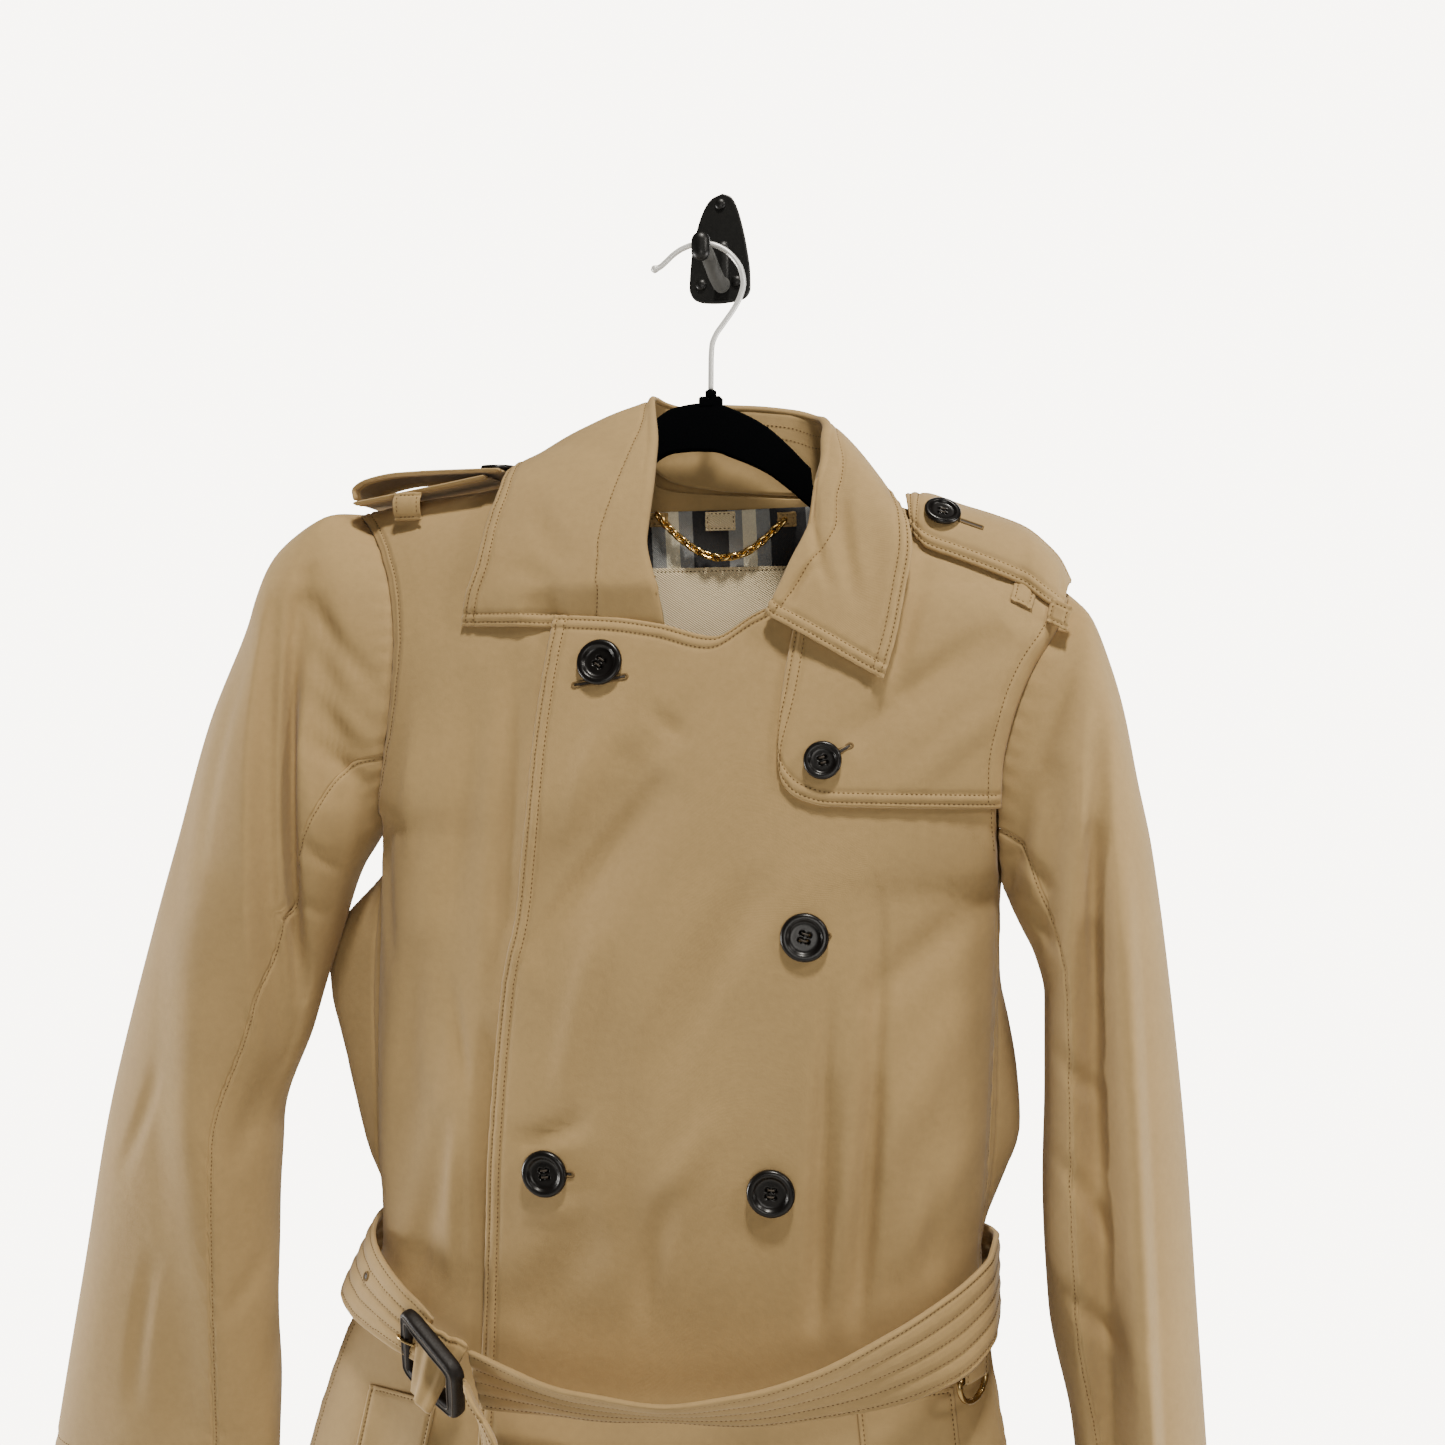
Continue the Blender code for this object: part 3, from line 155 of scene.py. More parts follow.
class Table:
    """Rows of numbers under named columns."""

    def __init__(self, columns: str, *rows: Sequence[float]) -> None:
        """Keeps each column as an array.

        Args:
            columns: the columns' names, parted by spaces.
            rows: one sequence of numbers for each row.
        """
        self.column = dict(zip(columns.split(), np.array(rows, float).T))

    def read(self, key: str, value: str, at: Array) -> Array:
        """The smooth curve of column value over column key, at the places given."""
        return eased(self.column[key], self.column[value], at)

    def points(self, columns: str) -> Array:
        """The named columns side by side, one row for each row of the table."""
        return np.stack([self.column[name] for name in columns.split()], axis=1)


# Form of the coat, as in the part's source

LEFT_SIDE = Table(
    "z x", (-156, -212), (-171, -197), (-188, -186), (-209, -178), (-240, -174), (-274, -176), (-308, -182),
    (-337, -188), (-390, -189), (-454, -190), (-531, -189), (-560, -187), (-580, -187), (-610, -198),
    (-637, -211), (-704, -233), (-850, -262), (-1080, -290),
)
RIGHT_SIDE = Table(
    "z x", (-210, 199), (-228, 194), (-252, 180), (-284, 169), (-305, 165), (-335, 164), (-368, 165),
    (-418, 163), (-467, 161), (-529, 158), (-565, 155), (-600, 158), (-668, 169), (-850, 200), (-1080, 232),
)
DEPTHS = Table(
    "z seam front back", (-100, -38, -48, -24), (-125, -38, -58, -18), (-150, -39, -66, -14),
    (-178, -42, -74, -11), (-200, -45, -80, -9), (-225, -48, -87, -8), (-260, -51, -95, -7),
    (-320, -54, -103, -7), (-400, -56, -108, -7), (-515, -58, -110, -10), (-556, -58, -107, -17),
    (-610, -58, -106, -17.5), (-660, -58, -108, -12), (-800, -60, -116, -8), (-1080, -62, -122, -7),
)
SWELLS = Table(
    "z left right", (-350, 0, 0), (-418, 66, 14), (-442, 64, 24), (-470, 56, 31), (-500, 47, 34),
    (-532, 35, 22), (-560, 14, 8), (-585, 4, 4), (-640, 2, 4), (-1080, 6, 6),
)
SHOULDERS = Table(
    "x z", (-212, -156), (-150, -146), (-105, -138), (-38, -124), (72, -144), (102, -160), (146, -171),
    (164, -178), (178, -185), (190, -196), (199, -210),
)
OVER_TOP = Table(
    "across x z", (0, -75, -222), (0.12, -42, -224), (0.24, -15, -228), (0.36, 16, -235), (0.43, 37, -223),
    (0.48, 50, -216), (0.54, 62, -203), (0.6, 72, -184), (0.66, 77, -163), (0.71, 79, -149),
    (0.8, 102, -160.6), (0.9, 146, -171.6), (1, 199, -210.6),
)
UNDER_TOP = Table(
    "across x z", (0, -212, -156.6), (0.14, -150, -146.6), (0.28, -105, -138.6), (0.44, -47, -126.8),
    (0.52, -48, -150), (0.6, -46.5, -180), (0.68, -40, -208), (0.76, -26, -230), (0.86, 0, -242),
    (1, 62, -246),
)
BACK_TOP = Table(
    "across x z", (0, -212, -157.6), (0.12, -150, -147.2), (0.24, -105, -139), (0.36, -48, -126.9),
    (0.41, -42, -134.5), (0.46, -29, -145), (0.54, 17, -150), (0.62, 56, -153), (0.68, 79, -149),
    (0.76, 102, -161.1), (0.88, 146, -172.2), (1, 198.4, -212.2),
)
FLAP_TOP = Table(
    "across x z", (0, 63, -206), (0.1, 71, -190), (0.2, 78, -172), (0.3, 84, -155), (0.5, 112, -166),
    (0.75, 152, -176.5), (1, 198, -216),
)
FLAP_FOOT = Table(
    "across x z", (0, 52, -300), (0.1, 55, -312), (0.2, 60, -318.5), (0.3, 68, -322), (0.4, 78, -324),
    (1, 166, -325),
)
OVER_EDGE = Table(
    "z x", (-222, -75), (-254, -79), (-293, -83), (-334, -86), (-363, -89), (-392, -92), (-422, -98),
    (-490, -104), (-573, -109), (-621, -110), (-1080, -118),
)
UNDER_EDGE = Table("z x", (-240, 62), (-400, 92), (-1080, 100))
FLAP_EDGE = Table("z x", (-206, 63), (-259, 55), (-288, 52), (-302, 52), (-325, 52))

FOLD_COLUMNS = "x0 z0 x1 z1 left right deep bend"
FRONT_FOLDS = Table(
    FOLD_COLUMNS, (-18, -300, -95, -400, 34, 26, 7, 0), (82, -462, 72, -600, 12, 10, 5, 0),
    (103, -462, 91, -600, 10, 12, 5, 0), (-40, -545, -90, -610, 24, 20, 4, 0),
    (-150, -400, -165, -560, 22, 22, 7, 0), (-120, -250, -140, -480, 24, 30, 5, 0),
    (-165, -640, -190, -1040, 30, 34, 10, 0), (-60, -660, -64, -1050, 34, 34, -8, 0),
    (40, -650, 52, -1060, 36, 30, 9, 0), (128, -650, 160, -1070, 30, 30, 10, 0),
)
BACK_FOLDS = Table(
    FOLD_COLUMNS, (-90, -640, -120, -1040, 40, 40, -9, 0), (0, -330, 0, -560, 36, 36, -3, 0),
    (10, -640, 14, -1050, 30, 30, -12, 0), (110, -640, 140, -1070, 40, 40, -9, 0),
)
LEFT_SLEEVE_FOLDS = Table(
    FOLD_COLUMNS, (-240, -205, -244, -520, 9, 30, 13, 0), (-225, -190, -205, -330, 16, 18, 8, 0),
    (-262, -215, -300, -400, 26, 20, 5, 0), (-290, -520, -300, -700, 24, 24, 5, 0),
)
RIGHT_SLEEVE_FOLDS = Table(
    FOLD_COLUMNS, (212, -330, 214, -520, 13, 11, 10, 0), (196, -300, 190, -400, 12, 12, 7, 0),
    (226, -600, 240, -780, 14, 14, 6, 0),
)
# Finer creases: a line, its reach to each side, its depth and how far its middle bows.
FRONT_CREASES = Table(
    FOLD_COLUMNS,
    (-6, -307, -86, -413, 9, 32, 6.9, 3), (-21, -271, 7, -290, 6, 5, 2.4, 2),
    (-36, -264, -67, -349, 12, 12, -3.3, 0), (46, -358, -16, -475, 18, 19, 3.9, 4),
    (-48, -490, -92, -506, 9, 9, 4.2, -3), (-90, -545, -51, -540, 7, 7, -2.1, 0),
    (80, -416, 72, -602, 7, 7, 4.2, 2), (104, -362, 92, -601, 8, 8, 4.5, -3),
    (148, -426, 102, -520, 18, 18, -3.9, 0), (164, -370, 95, -431, 13, 16, 4.2, 3),
    (23, -484, -12, -536, 13, 13, -2.7, 0), (-1, -522, -20, -602, 11, 11, 2.7, 3),
    (159, -492, 112, -571, 13, 13, -3.0, 3), (-43, -391, -65, -483, 11, 13, -2.7, 2),
    (136, -513, 131, -574, 8, 9, 2.7, 2), (168, -231, 88, -294, 14, 21, 5.4, 3),
    (167, -270, 116, -317, 11, 11, -2.1, 0), (129, -196, 110, -269, 9, 11, 3.6, 2),
    (8, -262, -40, -305, 14, 12, 1.8, -8), (-20, -470, -10, -600, 16, 18, 1.8, 12),
    (-20, -680, -28, -860, 14, 14, 4.5, 8), (80, -690, 96, -900, 12, 12, 4.5, -9),
    (-210, -720, -236, -960, 12, 12, 5.1, -8), (-120, -700, -140, -900, 14, 10, 4.8, 6),
)
UNDER_CREASES = Table(
    FOLD_COLUMNS,
    (-98, -236, -106, -438, 14, 16, 5.9, -2), (-108, -440, -112, -640, 9, 22, 8.0, 0),
    (-136, -492, -160, -598, 14, 12, 4.8, -3), (-127, -499, -133, -593, 7, 7, -2.5, 1),
    (-142, -406, -150, -487, 12, 11, -2.8, 2), (-120, -269, -138, -395, 11, 13, 2.5, -3),
    (-155, -269, -161, -357, 7, 9, -2.0, 1), (-132, -423, -120, -482, 8, 7, 2.8, 2),
    (-178, -330, -172, -420, 8, 9, 2.5, 4),
)
BACK_CREASES = Table(
    FOLD_COLUMNS,
    (-130, -190, -60, -300, 20, 16, -2.9, 12), (120, -210, 60, -320, 18, 16, -2.9, -10),
    (-60, -420, -80, -570, 12, 10, -3.2, 6), (50, -430, 66, -570, 11, 12, -3.2, -6),
    (-120, -470, -110, -580, 9, 10, -2.9, 4), (110, -460, 104, -575, 10, 9, -2.9, -4),
    (-40, -600, -46, -720, 12, 12, -3.2, 4), (60, -610, 70, -760, 12, 10, -3.2, -6),
    (-150, -640, -176, -860, 14, 12, -4.0, 6), (160, -640, 186, -900, 12, 14, -4.0, -6),
    (-30, -760, -36, -960, 10, 12, -3.6, 5), (70, -800, 84, -1000, 12, 11, -3.6, 7),
)
LEFT_SLEEVE_CREASES = Table(
    FOLD_COLUMNS,
    (-232, -208, -236, -446, 2.2, 13, 14.0, 0), (-229, -204, -165, -278, 8, 9, 5.4, 3),
    (-224, -248, -170, -306, 8, 8, -3.3, 3), (-223, -285, -174, -327, 7, 7, 4.5, 3),
    (-192, -168, -159, -239, 7, 8, 3.6, -3), (-280, -359, -290, -694, 29, 38, -9.0, 0),
    (-222, -347, -194, -369, 7, 7, 3.3, 3), (-228, -381, -200, -414, 6, 7, 3.0, -3),
    (-265, -240, -290, -382, 13, 12, -3.0, 4), (-309, -475, -341, -546, 9, 9, 2.4, -3),
    (-245, -472, -268, -541, 7, 9, 3.3, 3), (-249, -563, -275, -627, 7, 8, 3.0, -3),
    (-315, -584, -334, -684, 10, 10, 2.4, 4), (-222, -178, -231, -234, 6, 7, 2.7, 2),
)
RIGHT_SLEEVE_CREASES = Table(
    FOLD_COLUMNS,
    (205, -234, 183, -304, 7, 8, 4.2, -2), (216, -265, 218, -412, 9, 9, 5.1, 3),
    (227, -343, 247, -800, 20, 7, -11.0, 0), (212, -320, 216, -440, 5, 5, 3.0, 2),
    (196, -340, 199, -426, 9, 9, -3.3, 0), (172, -346, 192, -370, 6, 7, 3.6, -2),
    (175, -373, 194, -396, 6, 6, 3.3, -2), (194, -441, 215, -470, 7, 8, 3.6, 3),
    (192, -496, 221, -545, 7, 8, 3.9, -3), (198, -561, 230, -594, 8, 8, 3.6, 3),
    (191, -270, 171, -323, 6, 6, -2.7, 2), (220, -220, 233, -300, 7, 6, 3.0, 2),
    (213, -380, 229, -860, 17, 13, 17.0, 0),
)
COLLAR_CREASES = Table(
    FOLD_COLUMNS,
    (-92, -150, -60, -196, 14, 12, 1.6, 6), (-104, -196, -70, -214, 10, 10, 1.4, -5),
    (82, -140, 94, -222, 7, 9, 2.4, 4), (66, -128, 80, -214, 5, 6, 2.4, 6),
    (100, -170, 96, -240, 10, 9, 1.4, -4), (74, -196, 56, -222, 5, 6, 1.9, 4),
)

RING_COLUMNS = "outer_x outer_z inner_x inner_z mid ahead behind"
LEFT_RINGS = Table(
    RING_COLUMNS, (-224, -159, -190, -341, -50, 36, 32), (-254, -182, -193, -347, -52, 44, 36),
    (-268, -219, -197, -354, -54, 48, 38), (-292, -277, -205, -368, -56, 49, 38),
    (-312, -349, -217, -402, -57, 47, 36), (-342, -445, -234, -459, -57, 42, 32),
    (-362, -522, -255, -520, -56, 38, 28), (-380, -609, -257, -612, -55, 33, 25),
    (-396, -687, -257, -690, -54, 29, 23), (-407, -742, -258, -746, -53, 27, 22),
)
RIGHT_RINGS = Table(
    RING_COLUMNS, (212, -224, 168, -373, -50, 38, 32), (221, -246, 171, -380, -52, 45, 37),
    (229, -274, 176, -390, -54, 50, 40), (236, -311, 183, -404, -56, 52, 42),
    (243, -346, 188, -425, -57, 54, 42), (253, -427, 188, -470, -60, 54, 43),
    (260, -502, 187, -520, -61, 54, 43), (265, -580, 190, -585, -62, 53, 43),
    (269, -640, 202, -645, -63, 51, 42), (276, -740, 211, -750, -63, 50, 41),
    (282, -815, 214, -828, -63, 48, 40),
)
# The collar round the neck: its fold, the leaf's free edge and the seam of the stand.
COLLAR = Table(
    "fx fy fz ex ey ez sx sz",
    (-14, -92, -229, -129, -84.5, -227, -22, -232), (-20, -90, -206, -126, -86, -211, -32, -214),
    (-27, -84, -179, -120, -84, -190, -39, -188), (-27, -73, -150, -118, -76, -168, -42, -163),
    (-28, -60, -127, -115, -64, -147, -43, -145), (-32, -46, -108, -115, -50, -135, -45, -133),
    (-35, -33, -95.5, -113, -34, -130.5, -45, -126), (-31, -19, -96.5, -99, -16, -141, -37, -133),
    (-20, -12, -98, -62, -5.5, -155, -24, -142), (16, -10, -99, 17, -4.5, -162, 17, -149),
    (48, -12, -103, 82, -5.5, -172, 56, -152), (62, -20, -108, 95, -15, -164, 70, -150),
    (69, -33, -112, 103, -35, -155, 78.5, -145), (73, -47, -120, 111, -58, -161, 78.5, -153),
    (73, -61, -136, 118, -76, -173.5, 78, -163), (70, -74, -156, 120, -86, -190, 76, -176),
    (68, -83, -178, 117, -92, -212, 71, -187), (58, -90, -201, 113, -97, -236, 61, -205),
    (46, -96, -224, 107, -102, -258, 47, -219),
)
# The seam between stand and leaf where it comes out on the leaf, as a share from fold to edge.
STAND_SEAM = Table(
    "station share", (0, 0.335), (1, 0.31), (2, 0.26), (3, 0.22), (4, 0.17), (5, 0.1), (6, 0.04),
    (7, 0.02), (11, 0.02), (12, 0.05), (13, 0.12), (14, 0.2), (15, 0.2), (16, 0.13), (17, 0.06), (18, 0.02),
)
STRAP_COLUMNS = "x y z lean"
BELT = Table(
    STRAP_COLUMNS, (-138, -119.5, -612, 0), (-146, -117, -608, 0), (-154, -114.5, -604.5, -2),
    (-168, -107, -599, -8), (-186, -92, -593, -16), (-199, -72, -589, -24), (-204, -52, -588, -24),
    (-198, -34, -586, -16), (-180, -17, -584, -6), (-140, -10.4, -582, 0), (-60, -10, -582, 0),
    (20, -10, -582, 0), (100, -10.4, -582, 0), (136, -17, -580, 0), (157, -34, -578, 0),
    (165, -56, -576, 0), (163.5, -80, -579, 0), (150, -104, -589, 0), (122, -121, -603, 14),
    (82, -131, -618, 36), (40, -137, -628, 51), (0, -139, -632, 57),
    (-40, -137, -633, 52), (-80, -131, -631, 38), (-106, -126, -629, 28),
)
BELT_FOLD = Table(
    STRAP_COLUMNS, (-144, -116, -621, 4), (-140.5, -121, -621, 6), (-135, -125, -622, 8),
    (-128, -127, -625, 8), (-120.5, -125.5, -629, 6),
)
BELT_TAIL = Table(
    "x y z lean wide", (-105.8, -143.5, -624, -62, 14), (-92, -142, -656, -53, 29),
    (-88, -140, -700, -46, 40), (-88, -137, -770, -36, 40), (-88, -135, -850, -28, 40),
    (-89, -135, -905, -24, 40),
)
BUCKLE_CORNERS = np.array([(-145, -123, -597), (-112, -138, -619), (-118, -121, -647), (-150, -109, -632)], float)
PRONG = Table(
    "x y z", (-152.6, -117.8, -611.5), (-149.5, -120.5, -612), (-146, -121.6, -613), (-141.8, -121.4, -614.5),
)
RIGHT_STRAP = Table(
    "far_x far_z near_x near_z", (113, -153.5, 118, -178), (124, -154, 126, -187), (144, -161, 142, -193.5),
    (163, -167.5, 161, -201), (178, -174, 177, -208), (189, -183, 187, -215.5), (197, -192, 194, -220),
    (203, -204, 198, -223.5),
)
LEFT_STRAP = Table(
    "x z", (-206.5, -151.3), (-207.5, -146), (-199, -139.5), (-178, -136), (-150, -135.4),
    (-132, -135.4), (-117.5, -135.6),
)
HOOK_WIRE = Table(
    "x z", (-34, -20.5), (-29, -19), (-25, -16), (-21, -12.5), (-15, -9), (-8, -7.2), (0, -7.4), (8, -10.4),
    (14.5, -16), (19, -23.5), (20.3, -31), (18.6, -38), (15, -45), (9, -53.5), (4.5, -60), (2.4, -66),
    (2, -75), (2, -91.4),
)
HANGER_ARCH = Table(
    "x z", (-58, -134), (-46, -132), (-40, -129.5), (-36, -122), (-33, -113), (-29, -106.5), (-19, -101),
    (-4, -99), (2, -99), (18, -104.5), (34, -113.5), (48, -126), (60, -138.5), (72, -148), (84, -153),
)
CHAIN = Table(
    "x z", (-33, -160), (-25, -169), (-17, -176), (-8, -182), (3, -185.5), (14, -184.5), (24, -180),
    (33, -173), (42, -165),
)


FOLD_FADE = 0.7  # the power of the sine with which a fold fades towards its ends
WAVES, DRAWN_OUT = 9, 0.45  # how many waves make the unevenness, and how much slower it changes downwards


def fold_depth(folds: Table, x: Array, z: Array) -> Array:
    """What folds add: a raised cosine across each fold's line, fading at its two ends.

    Args:
        folds: the folds, in FOLD_COLUMNS.
        x: how far right each point is.
        z: how high each point is.

    Returns:
        The depth at each point.
    """
    total = np.zeros(np.broadcast(x, z).shape)
    for x0, z0, x1, z1, left, right, deep, bend in folds.points(FOLD_COLUMNS):
        run_x, run_z = x1 - x0, z1 - z0
        length = math.hypot(run_x, run_z)
        along = np.clip(((x - x0) * run_x + (z - z0) * run_z) / length**2, 0, 1)
        off = ((z - z0) * run_x - (x - x0) * run_z) / length + bend * 4 * along * (1 - along)
        across = 0.5 + 0.5 * np.cos(math.pi * np.clip(off / np.where(off < 0, left, right), -1, 1))
        total = total + deep * across * np.sin(math.pi * along) ** FOLD_FADE
    return total


def undulation(x: Array, z: Array, seed: int, size: float, amount: float) -> Array:
    """The mean of nine sine waves in seeded directions, drawn out downwards as hanging cloth is.

    Args:
        x: how far right each point is.
        z: how high each point is.
        seed: which set of waves.
        size: the waves' middling length.
        amount: how deep they are together.

    Returns:
        The depth at each point.
    """
    draw = np.random.default_rng(seed)
    angle, phase = draw.uniform(0, 2 * math.pi, (2, WAVES))
    length = size * draw.uniform(0.6, 1.7, WAVES)
    turn = (x[..., None] * np.cos(angle) + DRAWN_OUT * z[..., None] * np.sin(angle)) * 2 * math.pi / length
    return amount * 3 * np.sin(turn + phase).mean(axis=-1)


def gape(tip: float, pit: float, z: Array) -> Array:
    """How far an armhole opens at a height: a half circle between its tip and its pit."""
    share = np.clip((z - pit) / (tip - pit), 0, 1)
    return np.sqrt(np.clip(1 - (2 * share - 1) ** 2, 0, 1))


@dataclass(frozen=True)
class CoatForm:
    """The coat's body as two height fields over the x-z plane."""

    ridge_y: float = -38.0
    front_roll: float = 55.0
    back_roll: float = 34.0
    gape_front: float = 27.0
    gape_back: float = 25.0
    roundness: float = 3.2
    fullness: float = 1.7
    swell_back: float = 1.3
    uneven: Pair = (70, 0.55)
    hem_z: float = -1034.0
    hem_slope: float = -0.11
    seam_gap: float = 0.3
    underlap: float = 5.4
    left_armhole: Pair = (-156, -337)
    right_armhole: Pair = (-210, -368)

    def depth(self, x: Array, z: Array, flat: Array, opening: float, roll: float) -> Array:
        """A rounded oval cut, brought in to the ridge at the shoulder line.

        Args:
            x: how far right each point is.
            z: how high each point is.
            flat: depth of the flat of the cut at each point.
            opening: half opening of the armholes.
            roll: how far below the shoulder the full depth is reached.

        Returns:
            y at each point.
        """
        left, right = LEFT_SIDE.read("z", "x", z), RIGHT_SIDE.read("z", "x", z)
        middle = (left + right) / 2
        on_left = x < middle
        inward = np.clip(np.where(on_left, (x - left) / (middle - left), (right - x) / (right - middle)), 0, 1)
        open_by = opening * np.where(on_left, gape(*self.left_armhole, z), gape(*self.right_armhole, z))
        seam = DEPTHS.read("z", "seam", z) + open_by
        full = seam + (flat - seam) * (1 - (1 - inward) ** self.roundness) ** (1 / self.fullness)
        below = np.clip((SHOULDERS.read("x", "z", x) - z) / roll, 0, 1)
        return self.ridge_y + (full - self.ridge_y) * np.sqrt(1 - (1 - below) ** 2)

    def front(self, x: Array, z: Array) -> Array:
        """y of the front's outer face, its folds included."""
        plain = self.depth(x, z, DEPTHS.read("z", "front", z), -self.gape_front, self.front_roll)
        return plain + fold_depth(FRONT_FOLDS, x, z)

    def back(self, x: Array, z: Array) -> Array:
        """y of the back's outer face, its folds included."""
        plain = self.depth(x, z, DEPTHS.read("z", "back", z), self.gape_back, self.back_roll)
        return plain + fold_depth(BACK_FOLDS, x, z)

    def dressed_front(self, x: Array, z: Array) -> Array:
        """The front with its finer creases and unevenness."""
        return self.front(x, z) + fold_depth(FRONT_CREASES, x, z) + undulation(x, z, 3, *self.uneven)

    def out(self, x: Array, z: Array, step: float = 1.0) -> Array:
        """Unit normals of the dressed front, from differences over a short step to each side.

        Args:
            x: how far right each point is.
            z: how high each point is.
            step: how far to each side.

        Returns:
            A unit vector for each point.
        """
        slope_x = (self.dressed_front(x + step, z) - self.dressed_front(x - step, z)) / (2 * step)
        slope_z = (self.dressed_front(x, z + step) - self.dressed_front(x, z - step)) / (2 * step)
        return unit(np.stack([slope_x, np.full_like(slope_x, -1.0), slope_z], axis=-1))

    def dressed_back(self, x: Array, z: Array) -> Array:
        """The back with its finer creases and unevenness."""
        return self.back(x, z) + fold_depth(BACK_CREASES, x, z) + undulation(x, z, 5, *self.uneven)

    def hem(self, x_left: float, x_right: float) -> Callable[[Array], Array]:
        """The hem's height as a function of the fraction across a panel."""
        return lambda across: self.hem_z + self.hem_slope * (x_left + (x_right - x_left) * across)

    def swell(self, grid: Array) -> Array:
        """Carries the back outward past the side seams, as a sine of how far it has turned to the wall.

        Args:
            grid: the back's points.

        Returns:
            The points moved.
        """
        x, y, z = np.moveaxis(grid, -1, 0)
        seam, flat = DEPTHS.read("z", "seam", z), DEPTHS.read("z", "back", z)
        push = np.sin(math.pi * np.clip((y - seam) / (flat - seam), 0, 1) ** self.swell_back)
        middle = (LEFT_SIDE.read("z", "x", z) + RIGHT_SIDE.read("z", "x", z)) / 2
        out = np.where(x < middle, -SWELLS.read("z", "left", z), SWELLS.read("z", "right", z))
        return np.stack([x + out * push, y, z], axis=-1)


FORM = CoatForm()


@dataclass
class Panel:
    """A panel of the body, from its four outlines."""

    top: Table
    left: Callable[[Array], Array]
    right: Callable[[Array], Array]
    foot: Callable[[Array], Array]
    crowd: Callable[[Array], Array]
    surface: Callable[[Array, Array], Array]
    settle: float = -430.0
    spacing: float = 1.3

    def grid(self, columns: int, rows: int) -> Array:
        """Rows from the top edge down, columns from the left edge to the right.

        Below the height settle the columns lie at crowd's fractions of the width, and above it they
        fan out to the places that the top edge gives.

        Args:
            columns: how many points across.
            rows: how many points down.

        Returns:
            The points.
        """
        across = np.linspace(0, 1, columns)
        top_x, top_z = self.top.read("across", "x", across), self.top.read("across", "z", across)
        start = (top_x - self.left(top_z)) / (self.right(top_z) - self.left(top_z))
        z = top_z + (self.foot(across) - top_z) * (np.linspace(0, 1, rows) ** self.spacing)[:, None]
        fade = np.clip((z - self.settle) / (top_z - self.settle), 0, 1)
        share = self.crowd(across) + (start - self.crowd(across)) * fade * fade * (3 - 2 * fade)
        x = self.left(z) + share * (self.right(z) - self.left(z))
        return np.stack([x, self.surface(x, z), z], axis=-1)


def crowd_right(across: Array) -> Array:
    """Fractions that crowd towards the right."""
    return np.sin(across * math.pi / 2) ** 0.8


def crowd_left(across: Array) -> Array:
    """Fractions that crowd towards the left."""
    return 1 - crowd_right(1 - across)


def crowd_both(across: Array) -> Array:
    """Fractions that crowd towards both sides."""
    return 0.5 - 0.5 * np.cos(across * math.pi)


def crowd_corner(across: Array) -> Array:
    """Fractions that crowd towards the storm flap's rounded corner."""
    return across**1.6


# Meshes from arrays


def unit(vectors: Array) -> Array:
    """The vectors at length one."""
    return vectors / np.maximum(np.linalg.norm(vectors, axis=-1, keepdims=True), 1e-9)


def placed(name: str, data: bpy.types.ID) -> bpy.types.Object:
    """A new object in the scene.

    Args:
        name: its name.
        data: its mesh, camera or light.

    Returns:
        The object.
    """
    made = bpy.data.objects.new(name, data)
    bpy.context.scene.collection.objects.link(made)
    return made


@dataclass
class Form:
    """Points in millimetres with the faces between them."""

    points: Array
    faces: list[Array]
    uv: Array | None = None

    def volume(self) -> float:
        """Six times the volume inside, negative where the faces look inwards.

        Returns:
            That number, as a sum over triangles.
        """
        total = 0.0
        for face in self.faces:
            for k in range(1, face.shape[1] - 1):
                a, b, c = (self.points[face[:, j]] for j in (0, k, k + 1))
                total += float((a * np.cross(b, c)).sum())
        return total

    def made(self, name: str, finish: bpy.types.Material) -> bpy.types.Object:
        """A smooth mesh object with its faces turned outwards.

        Args:
            name: the object's name.
            finish: its material.

        Returns:
            The object.
        """
        inside_out = self.volume() < 0
        faces = [face[:, ::-1] if inside_out else face for face in self.faces]
        mesh = bpy.data.meshes.new(name)
        mesh.from_pydata((self.points * MM).tolist(), [], [row for face in faces for row in face.tolist()])
        mesh.shade_smooth()
        if self.uv is not None:
            corners = np.empty(len(mesh.loops), dtype=np.int32)
            mesh.loops.foreach_get("vertex_index", corners)
            layer = mesh.uv_layers.new(name="cloth")
            layer.data.foreach_set("uv", (self.uv[corners] * MM).astype(np.float32).ravel())
        mesh.materials.append(finish)
        return placed(name, mesh)


def as_one(forms: Sequence[Form]) -> Form:
    """Several forms as one, without their UVs.

    Args:
        forms: the forms.

    Returns:
        The whole.
    """
    faces, start = [], 0
    for form in forms:
        faces += [face + start for face in form.faces]
        start += len(form.points)
    return Form(np.concatenate([form.points for form in forms]), faces)


def strip(rows: int, columns: int, around: bool = False, closed: bool = False) -> Array:
    """Quads between neighbouring points of a grid.

    Args:
        rows: how many rows of points.
        columns: how many points in each.
        around: whether the last column meets the first.
        closed: whether the last row meets the first.

    Returns:
        The corners' numbers, one quad to a row.
    """
    index = np.arange(rows * columns).reshape(rows, columns)
    if closed:
        index = np.concatenate([index, index[:1]])
    if around:
        index = np.concatenate([index, index[:, :1]], axis=1)
    corners = (index[:-1, :-1], index[1:, :-1], index[1:, 1:], index[:-1, 1:])
    return np.stack(corners, axis=-1).reshape(-1, 4)


